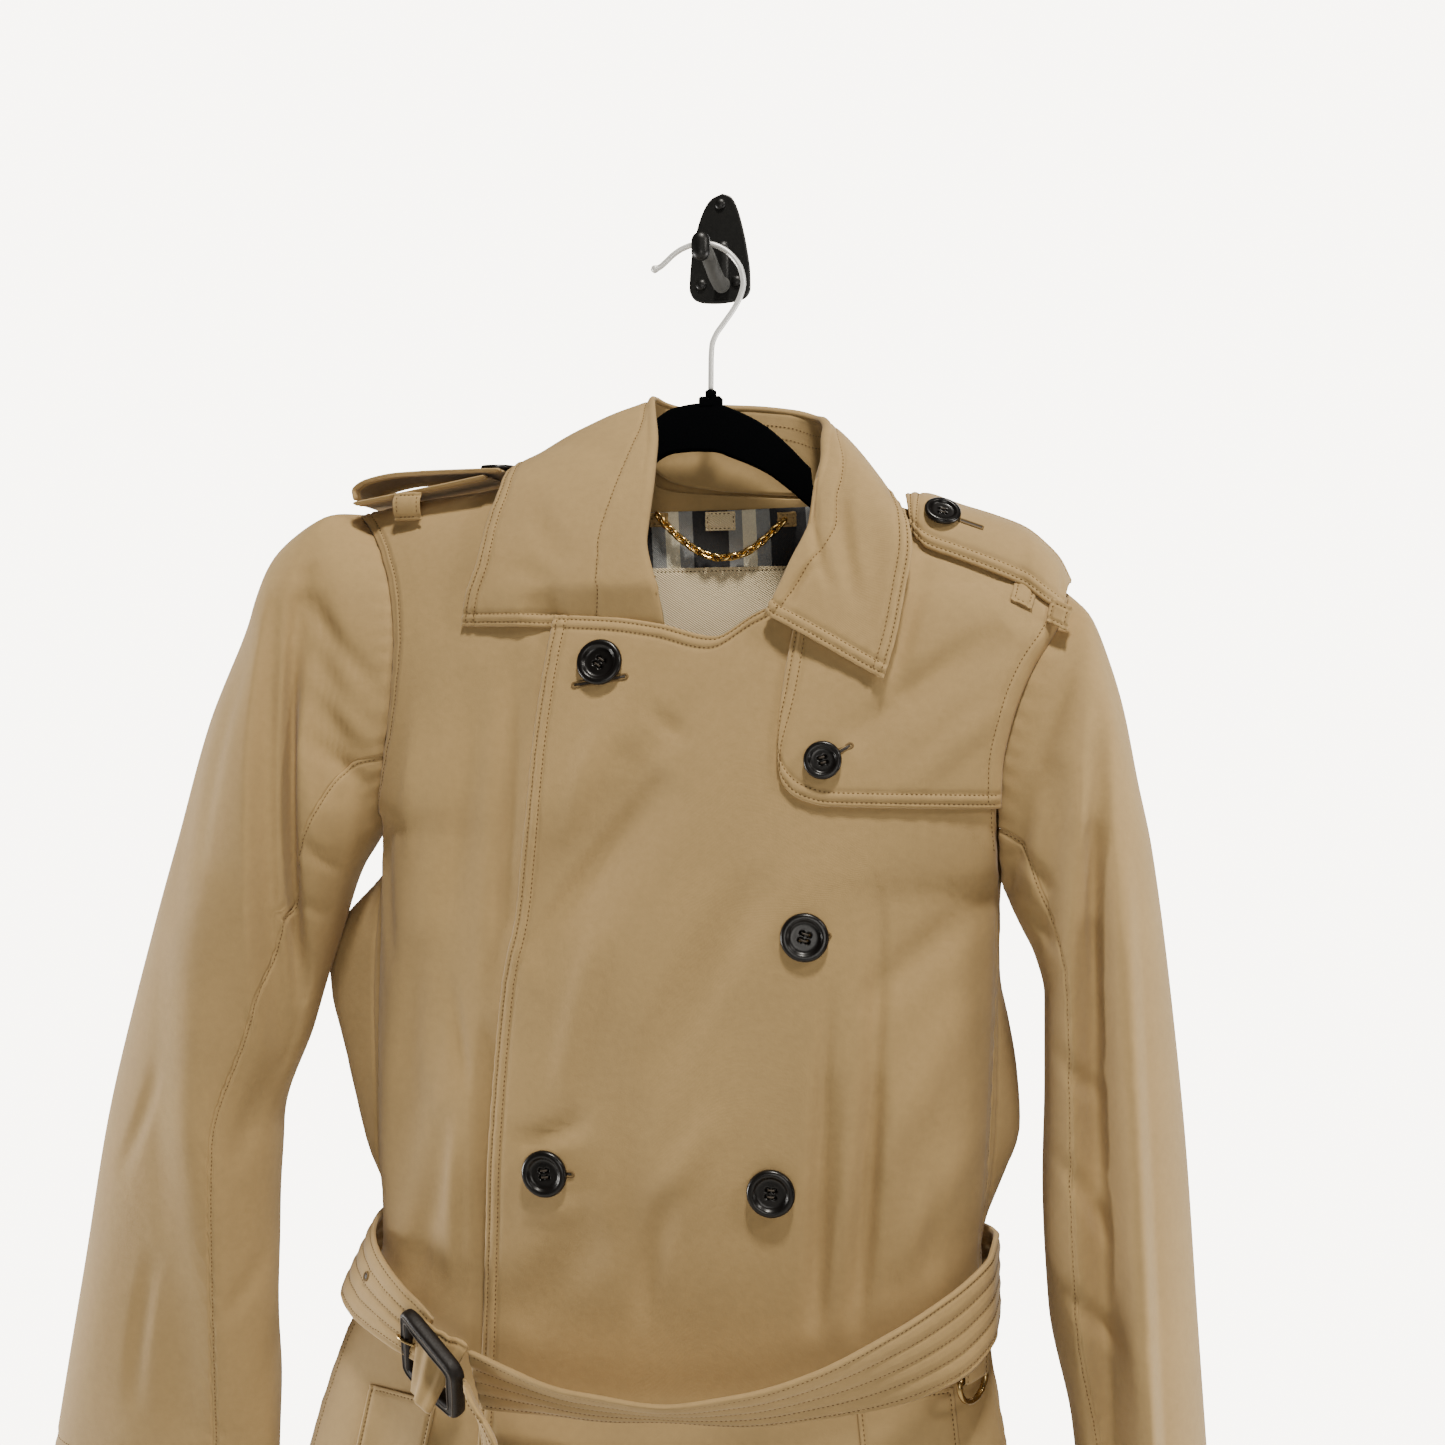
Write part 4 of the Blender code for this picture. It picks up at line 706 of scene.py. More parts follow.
def pole_caps(count: int, sides: int) -> list[Array]:
    """Triangles from the first and the last ring to the two poles, whose points follow theirs.

    Args:
        count: how many points the rings have in all.
        sides: how many are in one ring.

    Returns:
        The two fans of corners' numbers.
    """
    first = np.arange(sides)
    last = first + count - sides
    return [
        np.stack([np.full(sides, count), first, np.roll(first, -1)], axis=1),
        np.stack([np.full(sides, count + 1), np.roll(last, -1), last], axis=1),
    ]


def tube(path: Array, radius: Array | float, sides: int = 12, closed: bool = False,
         flat: float = 1.0, toward: Array = VIEWER) -> Form:
    """A round or flattened bar: at each point of the path a ring of cosine and sine about it.

    Args:
        path: the middle line.
        radius: of the bar, one number or one for each point.
        sides: points round each ring.
        closed: whether the path ends where it starts.
        flat: thickness towards the reference direction, as a share of the width.
        toward: reference direction for the rings.

    Returns:
        The closed form.
    """
    path = np.asarray(path, float)
    if closed:
        along = np.roll(path, -1, axis=0) - np.roll(path, 1, axis=0)
    else:
        along = np.gradient(path, axis=0)
    along = unit(along)
    side = unit(np.cross(along, toward))
    out = np.cross(side, along)
    turn = np.arange(sides) * 2 * math.pi / sides
    wide = np.broadcast_to(np.asarray(radius, float), len(path))[:, None, None]
    ring = side[:, None] * np.cos(turn)[:, None] + out[:, None] * flat * np.sin(turn)[:, None]
    points = (path[:, None] + wide * ring).reshape(-1, 3)
    if closed:
        return Form(points, [strip(len(path), sides, around=True, closed=True)])
    faces = [strip(len(path), sides, around=True), *pole_caps(len(points), sides)]
    return Form(np.concatenate([points, path[[0, -1]]]), faces)


def square_to(axis: Array) -> tuple[Array, Array]:
    """Two unit vectors square to a unit axis and to each other."""
    first = unit(np.cross(axis, UP if abs(axis[2]) < 0.9 else VIEWER))
    return first, np.cross(axis, first)


def turned(profile: Array, place: Array, axis: Array, sides: int = 48, heights: Array | None = None) -> Form:
    """A profile of radius and height, turned about an axis, its first and last points being poles.

    Args:
        profile: radius and height, from one pole to the other.
        place: where height zero is.
        axis: the way that height rises.
        sides: points round each ring.
        heights: a row of heights for each ring, where they differ round it.

    Returns:
        The closed form.
    """
    profile = np.asarray(profile, float)
    axis = unit(np.asarray(axis, float))
    first, second = square_to(axis)
    turn = np.arange(sides) * 2 * math.pi / sides
    ring = first * np.cos(turn)[:, None] + second * np.sin(turn)[:, None]
    radii = profile[1:-1, :1]
    heights = profile[1:-1, 1:] if heights is None else heights
    points = place + ring * radii[..., None] + axis * heights[..., None]
    poles = place + axis * profile[[0, -1], 1][:, None]
    faces = [strip(len(radii), sides, around=True), *pole_caps(len(radii) * sides, sides)]
    return Form(np.concatenate([points.reshape(-1, 3), poles]), faces)


def facing(grid: Array, outward: Array) -> Array:
    """Unit normals of a grid: the cross product of its two ways, turned to the side of outward."""
    found = unit(np.cross(np.gradient(grid, axis=1), np.gradient(grid, axis=0)))
    return found if (found * outward).sum() > 0 else -found


# How far from a stitched edge the close lines lie.
EDGE_LINES = np.array((0, 0.7, 1.5, 2.2, 3.0, 4.4, 5.8, 6.6, 7.4, 8.4, 10.5))


def resampled(grid: Array, side: Side, count: int, fine: tuple[bool, bool]) -> Array:
    """The same surface with new lines, close together near the edges that are stitched.

    Args:
        grid: the points.
        side: LEFT to place columns anew, TOP to place rows anew.
        count: how many lines between the fine ones.
        fine: whether the first and the last edge get fine lines.

    Returns:
        The new grid.
    """
    lines = grid if side is Side.LEFT else grid.swapaxes(0, 1)
    step = np.linalg.norm(np.diff(lines, axis=1), axis=-1)
    run = np.concatenate([np.zeros((len(lines), 1)), np.cumsum(step, axis=1)], axis=1)
    made = []
    for line, far in zip(lines, run):
        length = far[-1]
        margin = EDGE_LINES[EDGE_LINES < length * 0.3]
        begin = margin if fine[0] else margin[:1]
        finish = (length - margin)[::-1] if fine[1] else np.array([length])
        body = count + (len(EDGE_LINES) - len(margin)) * sum(fine)
        inner = np.linspace(begin[-1], finish[0], body + 2)[1:-1]
        at = np.concatenate([begin, inner, finish])
        made.append(sampled(line, far, at))
    new = np.array(made)
    return new if side is Side.LEFT else new.swapaxes(0, 1)


# How a seam draws cloth up: the length of its small waves and of their drift, its sway, and how far it reaches.
PUCKER_WAVE, PUCKER_DRIFT, PUCKER_SWAY, PUCKER_REACH = 1.9, 13.0, 1.7, 9.0
# How wide a row of stitches presses its groove, and how wide the ridge between two rows is.
GROOVE_WIDE, RIDGE_WIDE = 0.9, 1.7
# What is left of the wall where both faces draw in at the rim, and how far the rim stands out, as shares of it.
RIM_LEFT, RIM_OUT = 0.4, 0.3


@dataclass
class Cloth:
    """A cloth piece: a grid of points for its outer face, with a wall behind it."""

    name: str
    grid: Array
    outward: Array
    thick: float = 2.0
    corner: float = 7.0
    form: Callable[[Array, Array], Array] | None = None
    normal: Array = field(init=False)

    def __post_init__(self) -> None:
        """Works out the outer face's normals."""
        self.settle()

    def settle(self) -> None:
        """Normals of the form it lies on, or else of the grid itself, turned to the outside."""
        x, _, z = np.moveaxis(self.grid, -1, 0)
        self.normal = self.form(x, z) if self.form else facing(self.grid, self.outward)

    def far(self, side: Side) -> Array:
        """How far each point is from a side, along the grid's own lines.

        Args:
            side: the side.

        Returns:
            The distance for each point.
        """
        axis = 1 if side.upright else 0
        step = np.linalg.norm(np.diff(self.grid, axis=axis), axis=-1)
        pad = np.zeros_like(self.grid[:, :1, 0] if axis == 1 else self.grid[:1, :, 0])
        run = np.concatenate([pad, np.cumsum(step, axis=axis)], axis=axis)
        if side in (Side.LEFT, Side.TOP):
            return run
        return run[:, -1:] - run if axis == 1 else run[-1:] - run

    def pressed(self, depth: Array) -> Cloth:
        """The cloth with its outer face pushed in by depth along the normals.

        Args:
            depth: how far, for each point.

        Returns:
            The cloth itself.
        """
        self.grid = self.grid - self.normal * depth[..., None]
        self.settle()
        return self

    def puckered(self, sides: Sequence[Side], seed: int, amount: float = 0.32) -> Cloth:
        """Small waves square to a seam, which fade within a finger's width of it.

        Args:
            sides: the seams.
            seed: shifts the waves.
            amount: their depth.

        Returns:
            The cloth itself.
        """
        depth = np.zeros(self.grid.shape[:2])
        for number, side in enumerate(sides):
            run = self.far(Side.TOP if side.upright else Side.LEFT)
            wave = np.sin(run / PUCKER_WAVE + PUCKER_SWAY * np.sin(run / PUCKER_DRIFT + seed + number))
            depth += amount * wave * np.exp(-((self.far(side) / PUCKER_REACH) ** 2))
        return self.pressed(depth)

    def grooved(self, rows: Sequence[Row], deep: float = 0.75) -> Cloth:
        """A soft groove along each row of stitching, and a soft ridge where two rows run side by side.

        Args:
            rows: the rows.
            deep: the groove's depth.

        Returns:
            The cloth itself.
        """
        depth = np.zeros(self.grid.shape[:2])
        for row, following in zip(rows, (*rows[1:], None)):
            far = self.far(row.side)
            depth += deep * np.exp(-(((far - row.inset) / GROOVE_WIDE) ** 2))
            if following and following.side is row.side:
                depth -= deep * 0.5 * np.exp(-(((far - (row.inset + following.inset) / 2) / RIDGE_WIDE) ** 2))
        return self.pressed(depth)

    def line(self, side: Side, inset: float | Array, start: float = 2.0,
             stop: float = math.inf) -> tuple[Array, Array]:
        """A line on the outer face that keeps its distance from one side.

        Args:
            side: the side.
            inset: the distance from it.
            start: how much of the line is left out at its start, and at its end up to the corner's size.
            stop: how far along it ends.

        Returns:
            The line's points and the face's normals there.
        """
        points, out, far = self.grid, self.normal, self.far(side)
        if not side.upright:
            points, out, far = points.swapaxes(0, 1), out.swapaxes(0, 1), far.T
        if side in (Side.RIGHT, Side.FOOT):
            points, out, far = points[:, ::-1], out[:, ::-1], far[:, ::-1]
        inset = np.broadcast_to(inset, len(far))
        place = np.clip((far < inset[:, None]).sum(axis=1), 1, far.shape[1] - 1)
        row = np.arange(len(far))
        before, after = far[row, place - 1], far[row, place]
        share = ((inset - before) / np.maximum(after - before, 1e-6)).clip(0, 1)[:, None]
        path = points[row, place - 1] * (1 - share) + points[row, place] * share
        normal = unit(out[row, place - 1] * (1 - share) + out[row, place] * share)
        run = run_of(path)
        kept = (run >= start) & (run <= min(stop, run[-1] - min(start, self.corner)))
        return path[kept], normal[kept]

    def shell(self) -> Form:
        """The outer face, an inner one behind it, and a rounded rim between the two.

        At the rim both faces draw in, and a last line between them stands a little outside.

        Returns:
            The closed form, with its UVs.
        """
        rows, columns = self.grid.shape[:2]
        draw = np.ones((rows, columns))
        draw[[0, -1]] = draw[:, [0, -1]] = RIM_LEFT
        half = self.normal * self.thick / 2
        middle = self.grid - half
        outer, inner = middle + half * draw[..., None], middle - half * draw[..., None]
        index = np.arange(rows * columns).reshape(rows, columns)
        loop = np.concatenate([index[0, :-1], index[:-1, -1], index[-1, :0:-1], index[:0:-1, 0]])
        inside = np.clip(np.stack(np.divmod(loop, columns), axis=1), 1, [rows - 2, columns - 2])
        flat = middle.reshape(-1, 3)
        away = unit(flat[loop] - flat[inside[:, 0] * columns + inside[:, 1]])
        rim = flat[loop] + away * self.thick * RIM_OUT
        count = rows * columns
        edge = np.arange(len(loop)) + 2 * count
        following = np.roll(np.arange(len(loop)), -1)
        quads = strip(rows, columns)
        faces = [
            quads,
            quads[:, ::-1] + count,
            np.stack([loop, edge, edge[following], loop[following]], axis=1)[:, ::-1],
            np.stack([edge, loop + count, loop[following] + count, edge[following]], axis=1)[:, ::-1],
        ]
        across, down = self.far(Side.LEFT).ravel(), self.far(Side.TOP).ravel()
        uv = np.stack([across, -down], axis=1)
        return Form(np.concatenate([outer.reshape(-1, 3), inner.reshape(-1, 3), rim]), faces,
                    np.concatenate([uv, uv, uv[loop]]))

    def cut(self) -> tuple[Pair, float]:
        """Width, length and area of the flat piece that this cloth is made from, in metres.

        Returns:
            Width and length, and the area.
        """
        width = float(self.far(Side.LEFT)[:, -1].max()) * MM
        length = float(self.far(Side.TOP)[-1].max()) * MM
        a, b = np.diff(self.grid, axis=1)[:-1], np.diff(self.grid, axis=0)[:, :-1]
        area = float(np.linalg.norm(np.cross(a, b), axis=-1).sum()) * MM * MM
        return (width, length), min(max(area, 0.31 * width * length), width * length)


EDGE_ROWS = (2.0, 7.0)  # how far two rows of stitches lie from a free edge


@dataclass(frozen=True)
class Row:
    """A row of stitches that keeps its distance from one side of a cloth piece."""

    side: Side
    inset: float | Array
    start: float = 2.0
    stop: float = math.inf


def rows_along(sides: Sequence[Side], *insets: float | Array) -> list[Row]:
    """Rows at each distance from each side."""
    return [Row(side, inset) for side in sides for inset in insets]


@dataclass(frozen=True)
class Thread:
    """A sewing thread, as evenly spaced stitches that stand a little proud."""

    pitch: float = 2.5
    length: float = 1.6
    width: float = 0.62
    proud: float = 0.1

    def along(self, path: Array, normal: Array) -> Form:
        """Stitches along a line: each is a pointed bar of two square rings.

        Args:
            path: the line.
            normal: the cloth's normals along it.

        Returns:
            All the stitches as one form.
        """
        run = run_of(path)
        at = np.arange(self.pitch / 2, run[-1] - self.pitch / 3, self.pitch)
        place, out = sampled(path, run, at), unit(sampled(normal, run, at))
        along = unit(sampled(path, run, at + 0.5) - sampled(path, run, at - 0.5))
        side = unit(np.cross(along, out))
        place = place + out * self.proud
        half, wide = self.length / 2, self.width / 2
        ring = [side * wide, out * wide, -side * wide, -out * wide]
        points = [place - along * half - out * wide]
        for reach in (-0.55, 0.55):
            points += [place + along * half * reach + corner for corner in ring]
        points.append(place + along * half - out * wide)
        each = np.stack(points, axis=1)
        start = np.arange(len(place))[:, None] * 10
        four = np.arange(4)
        following = (four + 1) % 4
        low = np.stack([np.zeros(4, int), four + 1, following + 1], axis=1)
        high = np.stack([np.full(4, 9), following + 5, four + 5], axis=1)
        band = np.stack([four + 1, four + 5, following + 5, following + 1], axis=1)
        tips = (np.concatenate([low, high])[None] + start[..., None]).reshape(-1, 3)
        return Form(each.reshape(-1, 3), [tips, (band[None] + start[..., None]).reshape(-1, 4)])


# Shader arithmetic and finishes


class Sock:
    """A shader's output that arithmetic works on: each operation adds one Math node."""

    def __init__(self, shader: Shader, socket: bpy.types.NodeSocket) -> None:
        """Keeps the shader and the output."""
        self.shader, self.socket = shader, socket

    def maths(self, operation: str, first: Sock | float, second: Sock | float = 0.0) -> Sock:
        """One Math node.

        Args:
            operation: the node's operation.
            first: its first value.
            second: its second value.

        Returns:
            The result.
        """
        return self.shader.node("ShaderNodeMath", {"operation": operation}, {0: first, 1: second})

    def __add__(self, other: Sock | float) -> Sock:
        """self + other."""
        return self.maths("ADD", self, other)

    __radd__ = __add__

    def __sub__(self, other: Sock | float) -> Sock:
        """self - other."""
        return self.maths("SUBTRACT", self, other)

    def __mul__(self, other: Sock | float) -> Sock:
        """self * other."""
        return self.maths("MULTIPLY", self, other)

    def wave(self, pitch: float) -> Sock:
        """A sine over self, once for each pitch."""
        return self.maths("SINE", self * (2 * math.pi / pitch))

    def part(self) -> Sock:
        """The fractional part of self."""
        return self.maths("FRACT", self)


class Shader:
    """A material with its nodes."""

    def __init__(self, name: str, color: Sequence[float], rough: float, **constants: float) -> None:
        """A Principled surface with its constant inputs set.

        Args:
            name: the material's name.
            color: its base colour.
            rough: its roughness.
            constants: other inputs, with an underscore for each space.
        """
        self.material = bpy.data.materials.new(name)
        self.material.use_nodes = True
        self.tree = self.material.node_tree
        self.surface = self.tree.nodes["Principled BSDF"]
        self.surface.inputs["Base Color"].default_value = (*color, 1.0)
        self.surface.inputs["Roughness"].default_value = rough
        for key, value in constants.items():
            self.surface.inputs[key.replace("_", " ")].default_value = value

    def node(self, kind: str, settings: dict[str, object] | None = None,
             sockets: dict[int | str, object] | None = None, output: int | str = 0) -> Sock:
        """Adds a node.

        Args:
            kind: the node's type.
            settings: its properties, set first; stops holds a ramp's places and colours.
            sockets: values or links of its inputs.
            output: which output is wanted.

        Returns:
            That output.
        """
        made = self.tree.nodes.new(kind)
        for key, value in (settings or {}).items():
            if key == "stops":
                ramp = made.color_ramp
                while len(ramp.elements) < len(value):
                    ramp.elements.new(0.5)
                for element, (place, color) in zip(ramp.elements, value):
                    element.position, element.color = place, (*color, 1.0)
            elif key == "steps":
                made.color_ramp.interpolation = value
            else:
                setattr(made, key, value)
        for key, value in (sockets or {}).items():
            if isinstance(value, Sock):
                self.tree.links.new(value.socket, made.inputs[key])
            else:
                made.inputs[key].default_value = value
        return Sock(self, made.outputs[output])

    def place(self, uv: bool) -> Sock:
        """Where a point is: on the cloth's own UVs, or in the object.

        Args:
            uv: whether the UVs are wanted.

        Returns:
            The place, as a vector.
        """
        if uv:
            return self.node("ShaderNodeUVMap", {"uv_map": "cloth"})
        return self.node("ShaderNodeTexCoord", output="Object")

    def parts(self, vector: Sock) -> tuple[Sock, Sock, Sock]:
        """x, y and z of a vector.

        Args:
            vector: the vector.

        Returns:
            Its three parts.
        """
        split = self.tree.nodes.new("ShaderNodeSeparateXYZ")
        self.tree.links.new(vector.socket, split.inputs[0])
        return tuple(Sock(self, out) for out in split.outputs)

    def noise(self, vector: Sock, scale: float, detail: float = 2.0) -> Sock:
        """Smooth noise from zero to one."""
        return self.node("ShaderNodeTexNoise", None, {"Vector": vector, "Scale": scale, "Detail": detail})

    def mix(self, share: Sock | float, first: object, second: object) -> Sock:
        """A colour between two."""
        return self.node("ShaderNodeMix", {"data_type": "RGBA"}, {0: share, 6: first, 7: second}, 2)

    def feed(self, socket: str, value: Sock) -> None:
        """Links a value to an input of the surface."""
        self.tree.links.new(value.socket, self.surface.inputs[socket])

    def mottle(self, share: Sock, color: Sequence[float], low: float, high: float) -> None:
        """Lets the base colour run from low to high times a colour."""
        self.feed("Base Color", self.mix(share, shade(color, low), shade(color, high)))

    def relief(self, height: Sock, distance: float) -> None:
        """Bump from a height, its distance in metres."""
        bump = self.node("ShaderNodeBump", None, {"Height": height, "Distance": distance, "Strength": 1.0})
        self.feed("Normal", bump)


def shade(color: Sequence[float], by: float) -> tuple[float, ...]:
    """A colour times a factor, with full alpha."""
    return (*(channel * by for channel in color), 1.0)


@dataclass(frozen=True)
class Gabardine:
    """Tightly woven cotton twill: fine slanting ribs, mottled a little, with a soft sheen."""

    name: str
    color: Triple
    rib: float = 0.00085
    uneven: float = 0.16

    def material(self) -> bpy.types.Material:
        """Ribs are a sine across the weave's slant; noise of three sizes carries the colour.

        Returns:
            The material.
        """
        shader = Shader(self.name, self.color, 0.82, Sheen_Weight=0.12, Sheen_Roughness=0.45,
                        Specular_IOR_Level=0.28)
        place, object_place = shader.place(True), shader.place(False)
        x, y, _ = shader.parts(place)
        rib = (x * 0.9 + y * 1.3).wave(self.rib)
        thread = shader.noise(place, 2600.0, 2.0)
        cloud = shader.noise(object_place, 11.0, 4.0)
        grain = shader.noise(object_place, 240.0, 3.0)
        tone = cloud * 0.5 + grain * 0.25 + thread * 0.2
        share = (tone - 0.3) * 2.0
        shader.mottle(share, self.color, 1 - self.uneven, 1 + self.uneven)
        shader.feed("Roughness", 0.74 + cloud * 0.14)
        shader.relief(rib * 0.08 + thread * 0.4 + grain * 0.9, 0.00018)
        return shader.material


@dataclass(frozen=True)
class Stripes:
    """Lining woven in plain upright bands."""

    name: str
    period: float = 0.046

    def material(self) -> bpy.types.Material:
        """Bands are steps of a ramp over the fraction of x in one period.

        Returns:
            The material.
        """
        shader = Shader(self.name, (0.2, 0.2, 0.16), 0.75, Sheen_Weight=0.1)
        place = shader.place(False)
        x, _, z = shader.parts(place)
        band = (x * (1 / self.period) + z * 0.5 + 3.17).part()
        charcoal, grey, cream = (0.02, 0.021, 0.024), (0.3, 0.31, 0.31), (0.86, 0.8, 0.6)
        stops = [(0.0, charcoal), (0.26, grey), (0.44, cream), (0.62, grey), (0.8, charcoal)]
        color = shader.node("ShaderNodeValToRGB", {"stops": stops, "steps": "CONSTANT"}, {0: band})
        thread = shader.noise(place, 1500.0)
        rib = (x + z).wave(0.0011)
        shader.feed("Base Color", shader.mix((thread - 0.35) * 0.5, color, (0.02, 0.02, 0.018, 1.0)))
        shader.relief(rib * 0.5 + thread, 0.00025)
        return shader.material


@dataclass(frozen=True)
class LabelTwill:
    """Cream twill with ribs that can be seen."""

    name: str
    color: Triple

    def material(self) -> bpy.types.Material:
        """A slanting sine makes the ribs, and noise their unevenness.

        Returns:
            The material.
        """
        shader = Shader(self.name, self.color, 0.7, Sheen_Weight=0.15)
        place = shader.place(False)
        x, _, z = shader.parts(place)
        rib = (x * 0.8 + z * 1.2).wave(0.0016)
        thread = shader.noise(place, 1300.0)
        share = rib * 0.35 + thread * 0.6
        shader.mottle(share, self.color, 0.84, 1.06)
        shader.relief(rib * 0.6 + thread * 0.5, 0.0003)
        return shader.material


@dataclass(frozen=True)
class Plain:
    """A hard or napped finish with fine noise in colour, roughness and relief."""

    name: str
    color: Triple
    rough: float
    metal: float = 0.0
    grain: float = 300.0
    deep: float = 0.00006
    uneven: float = 0.15
    gloss: float = 0.5

    def material(self) -> bpy.types.Material:
        """Noise of two sizes, added up, carries everything that varies.

        Returns:
            The material.
        """
        shader = Shader(self.name, self.color, self.rough, Metallic=self.metal, Specular_IOR_Level=self.gloss)
        place = shader.place(False)
        fine, wide = shader.noise(place, self.grain, 3.0), shader.noise(place, 25.0, 3.0)
        share = fine * 0.6 + wide * 0.5
        shader.mottle(share, self.color, 1 - self.uneven, 1 + self.uneven)
        shader.feed("Roughness", self.rough - 0.08 + share * 0.16)
        shader.relief(fine, self.deep)
        return shader.material


TAN = (0.425, 0.286, 0.123)


class Finish(Enum):
    """The finishes, each with the slot that it belongs to."""

    BODY = ("gabardine", Gabardine("tan gabardine", TAN))
    # Thread darker than the cloth: its colour paints the shade of the needle holes along each row.
    THREAD_WITH_PAINTED_SHADE = ("gabardine", Plain("tan thread", (0.17, 0.11, 0.045), 0.7, grain=900.0, gloss=0.2))
    LINING = ("striped_lining", Stripes("striped lining"))
    LABEL = ("cream_twill", LabelTwill("cream label", (0.95, 0.78, 0.48)))
    BUTTON = ("horn", Plain("black horn", (0.004, 0.0032, 0.0028), 0.3, grain=160.0, deep=0.00001,
                            uneven=0.4, gloss=0.4))
    # Dark brown: the real thread on the buttons, and painted shade in the eyelet's hole and the buttonholes' slits.
    DARK_THREAD_AND_HOLE_SHADE = ("gabardine", Plain("brown thread", (0.035, 0.025, 0.016), 0.6, grain=900.0))
    LEATHER = ("dark_leather", Plain("dark leather", (0.008, 0.0055, 0.0042), 0.5, grain=900.0, deep=0.00014,
                                     gloss=0.28))
    # Lighter than the leather: the piping's colour paints the highlight along the frame's bevel.
    LEATHER_EDGE_HIGHLIGHT = ("dark_leather", Plain("leather edge with painted highlight", (0.06, 0.048, 0.038), 0.45, grain=700.0))
    OLD_BRASS = ("aged_brass", Plain("aged brass", (0.4, 0.28, 0.12), 0.27, 1.0, grain=260.0, deep=0.00002, uneven=0.3))
    GOLD = ("gold_chain", Plain("bright gold", (0.86, 0.58, 0.2), 0.2, 1.0, grain=300.0, deep=0.00001))
    CHROME = ("hanger_chrome", Plain("polished wire", (0.86, 0.86, 0.83), 0.4, 0.4, grain=200.0, deep=0.000001,
                                     uneven=0.02))
    FLOCK = ("hanger_flock", Plain("black flock", (0.0012, 0.0015, 0.002), 0.95, grain=2500.0, deep=0.0003, gloss=0.04))
    WORN_ENAMEL = ("hook_enamel", Plain("worn enamel", (0.07, 0.07, 0.066), 0.6, grain=420.0, deep=0.00008, gloss=0.3))
    ENAMEL = ("hook_enamel", Plain("black enamel", (0.004, 0.004, 0.0035), 0.4, grain=420.0, deep=0.00008, gloss=0.4))

    def __init__(self, slot: str, recipe: Gabardine | Stripes | LabelTwill | Plain) -> None:
        """Keeps the slot and the recipe, and no material yet."""
        self.slot, self.recipe = slot, recipe
        self.ready: bpy.types.Material | None = None

    def material(self) -> bpy.types.Material:
        """The finish's material, made at its first use.

        Returns:
            The material.
        """
        if self.ready is None:
            self.ready = self.recipe.material()
        return self.ready


@dataclass
class Wardrobe:
    """Puts pieces in the scene, each on its body and in place of what it stands for."""

    thread: Thread = Thread()
    least_sheet: float = 4e-4
    names: list[str] = field(default_factory=list)

    def put(self, name: str, form: Form, finish: Finish, stands_for: Sequence[str] = (),
            body: str = COAT) -> bpy.types.Object:
        """Makes one piece.

        Args:
            name: the piece's name.
            form: its points and faces.
            finish: its finish.
            stands_for: the nodes that it replaces.
            body: the body that it rides on.

        Returns:
            The object.
        """
        made = form.made(name, finish.material())
        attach(made, body)
        if stands_for:
            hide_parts(*stands_for)
        self.names.append(name)
        log.info("%s: %d points", name, len(form.points))
        return made

    def sew(self, cloth: Cloth, node: str, rows: Sequence[Row] = (), finish: Finish = Finish.BODY,
            held: str = "hung", rests_on: Sequence[str] = (), more: Sequence[Form] = ()) -> Cloth:
        """Args:
            cloth: the piece.
            node: the node that it replaces.
            rows: its rows of stitches.
            finish: its finish.
            held: how it is held; not used.
            rests_on: what it hangs from; not used.
            more: further stitches on it.

        Returns:
            The cloth, as it was made.
        """
        cloth.grooved(rows)
        made = self.put(cloth.name, cloth.shell(), finish, (node,))
        lines = [self.thread.along(*cloth.line(row.side, row.inset, row.start, row.stop)) for row in rows]
        lines += list(more)
        with_pieces = []
        if lines:
            # The stitches' dark thread paints the shade of the needle holes.
            with_pieces = [self.put(f"{cloth.name}_stitching", as_one(lines), Finish.THREAD_WITH_PAINTED_SHADE)]
        flat, area = cloth.cut()
        return cloth


# The coat's pieces


def side_edge(side: Table) -> Callable[[Array], Array]:
    """x of a side at each height."""
    return lambda z: side.read("z", "x", z)


def on_front(x: Array, z: Array, lift: float) -> Array:
    """Points over the dressed front, lifted along its normals."""
    x, z = np.broadcast_arrays(x, z)
    return np.stack([x, FORM.dressed_front(x, z), z], axis=-1) + FORM.out(x, z) * lift


def before_front(flat: Array, lift: float) -> Array:
    """Points straight before the dressed front, from rows of x and z."""
    x, z = flat.T
    return np.stack([x, FORM.dressed_front(x, z) - lift, z], axis=1)


def fine(grid: Array, columns: int, rows: int, edges: str) -> Array:
    """The grid with new lines, close together at the edges named.

    Args:
        grid: the points.
        columns: how many columns between the close ones.
        rows: how many rows between the close ones.
        edges: letters of the stitched edges: l, r, t and f.

    Returns:
        The new grid.
    """
    grid = resampled(grid, Side.LEFT, columns, ("l" in edges, "r" in edges))
    return resampled(grid, Side.TOP, rows, ("t" in edges, "f" in edges))


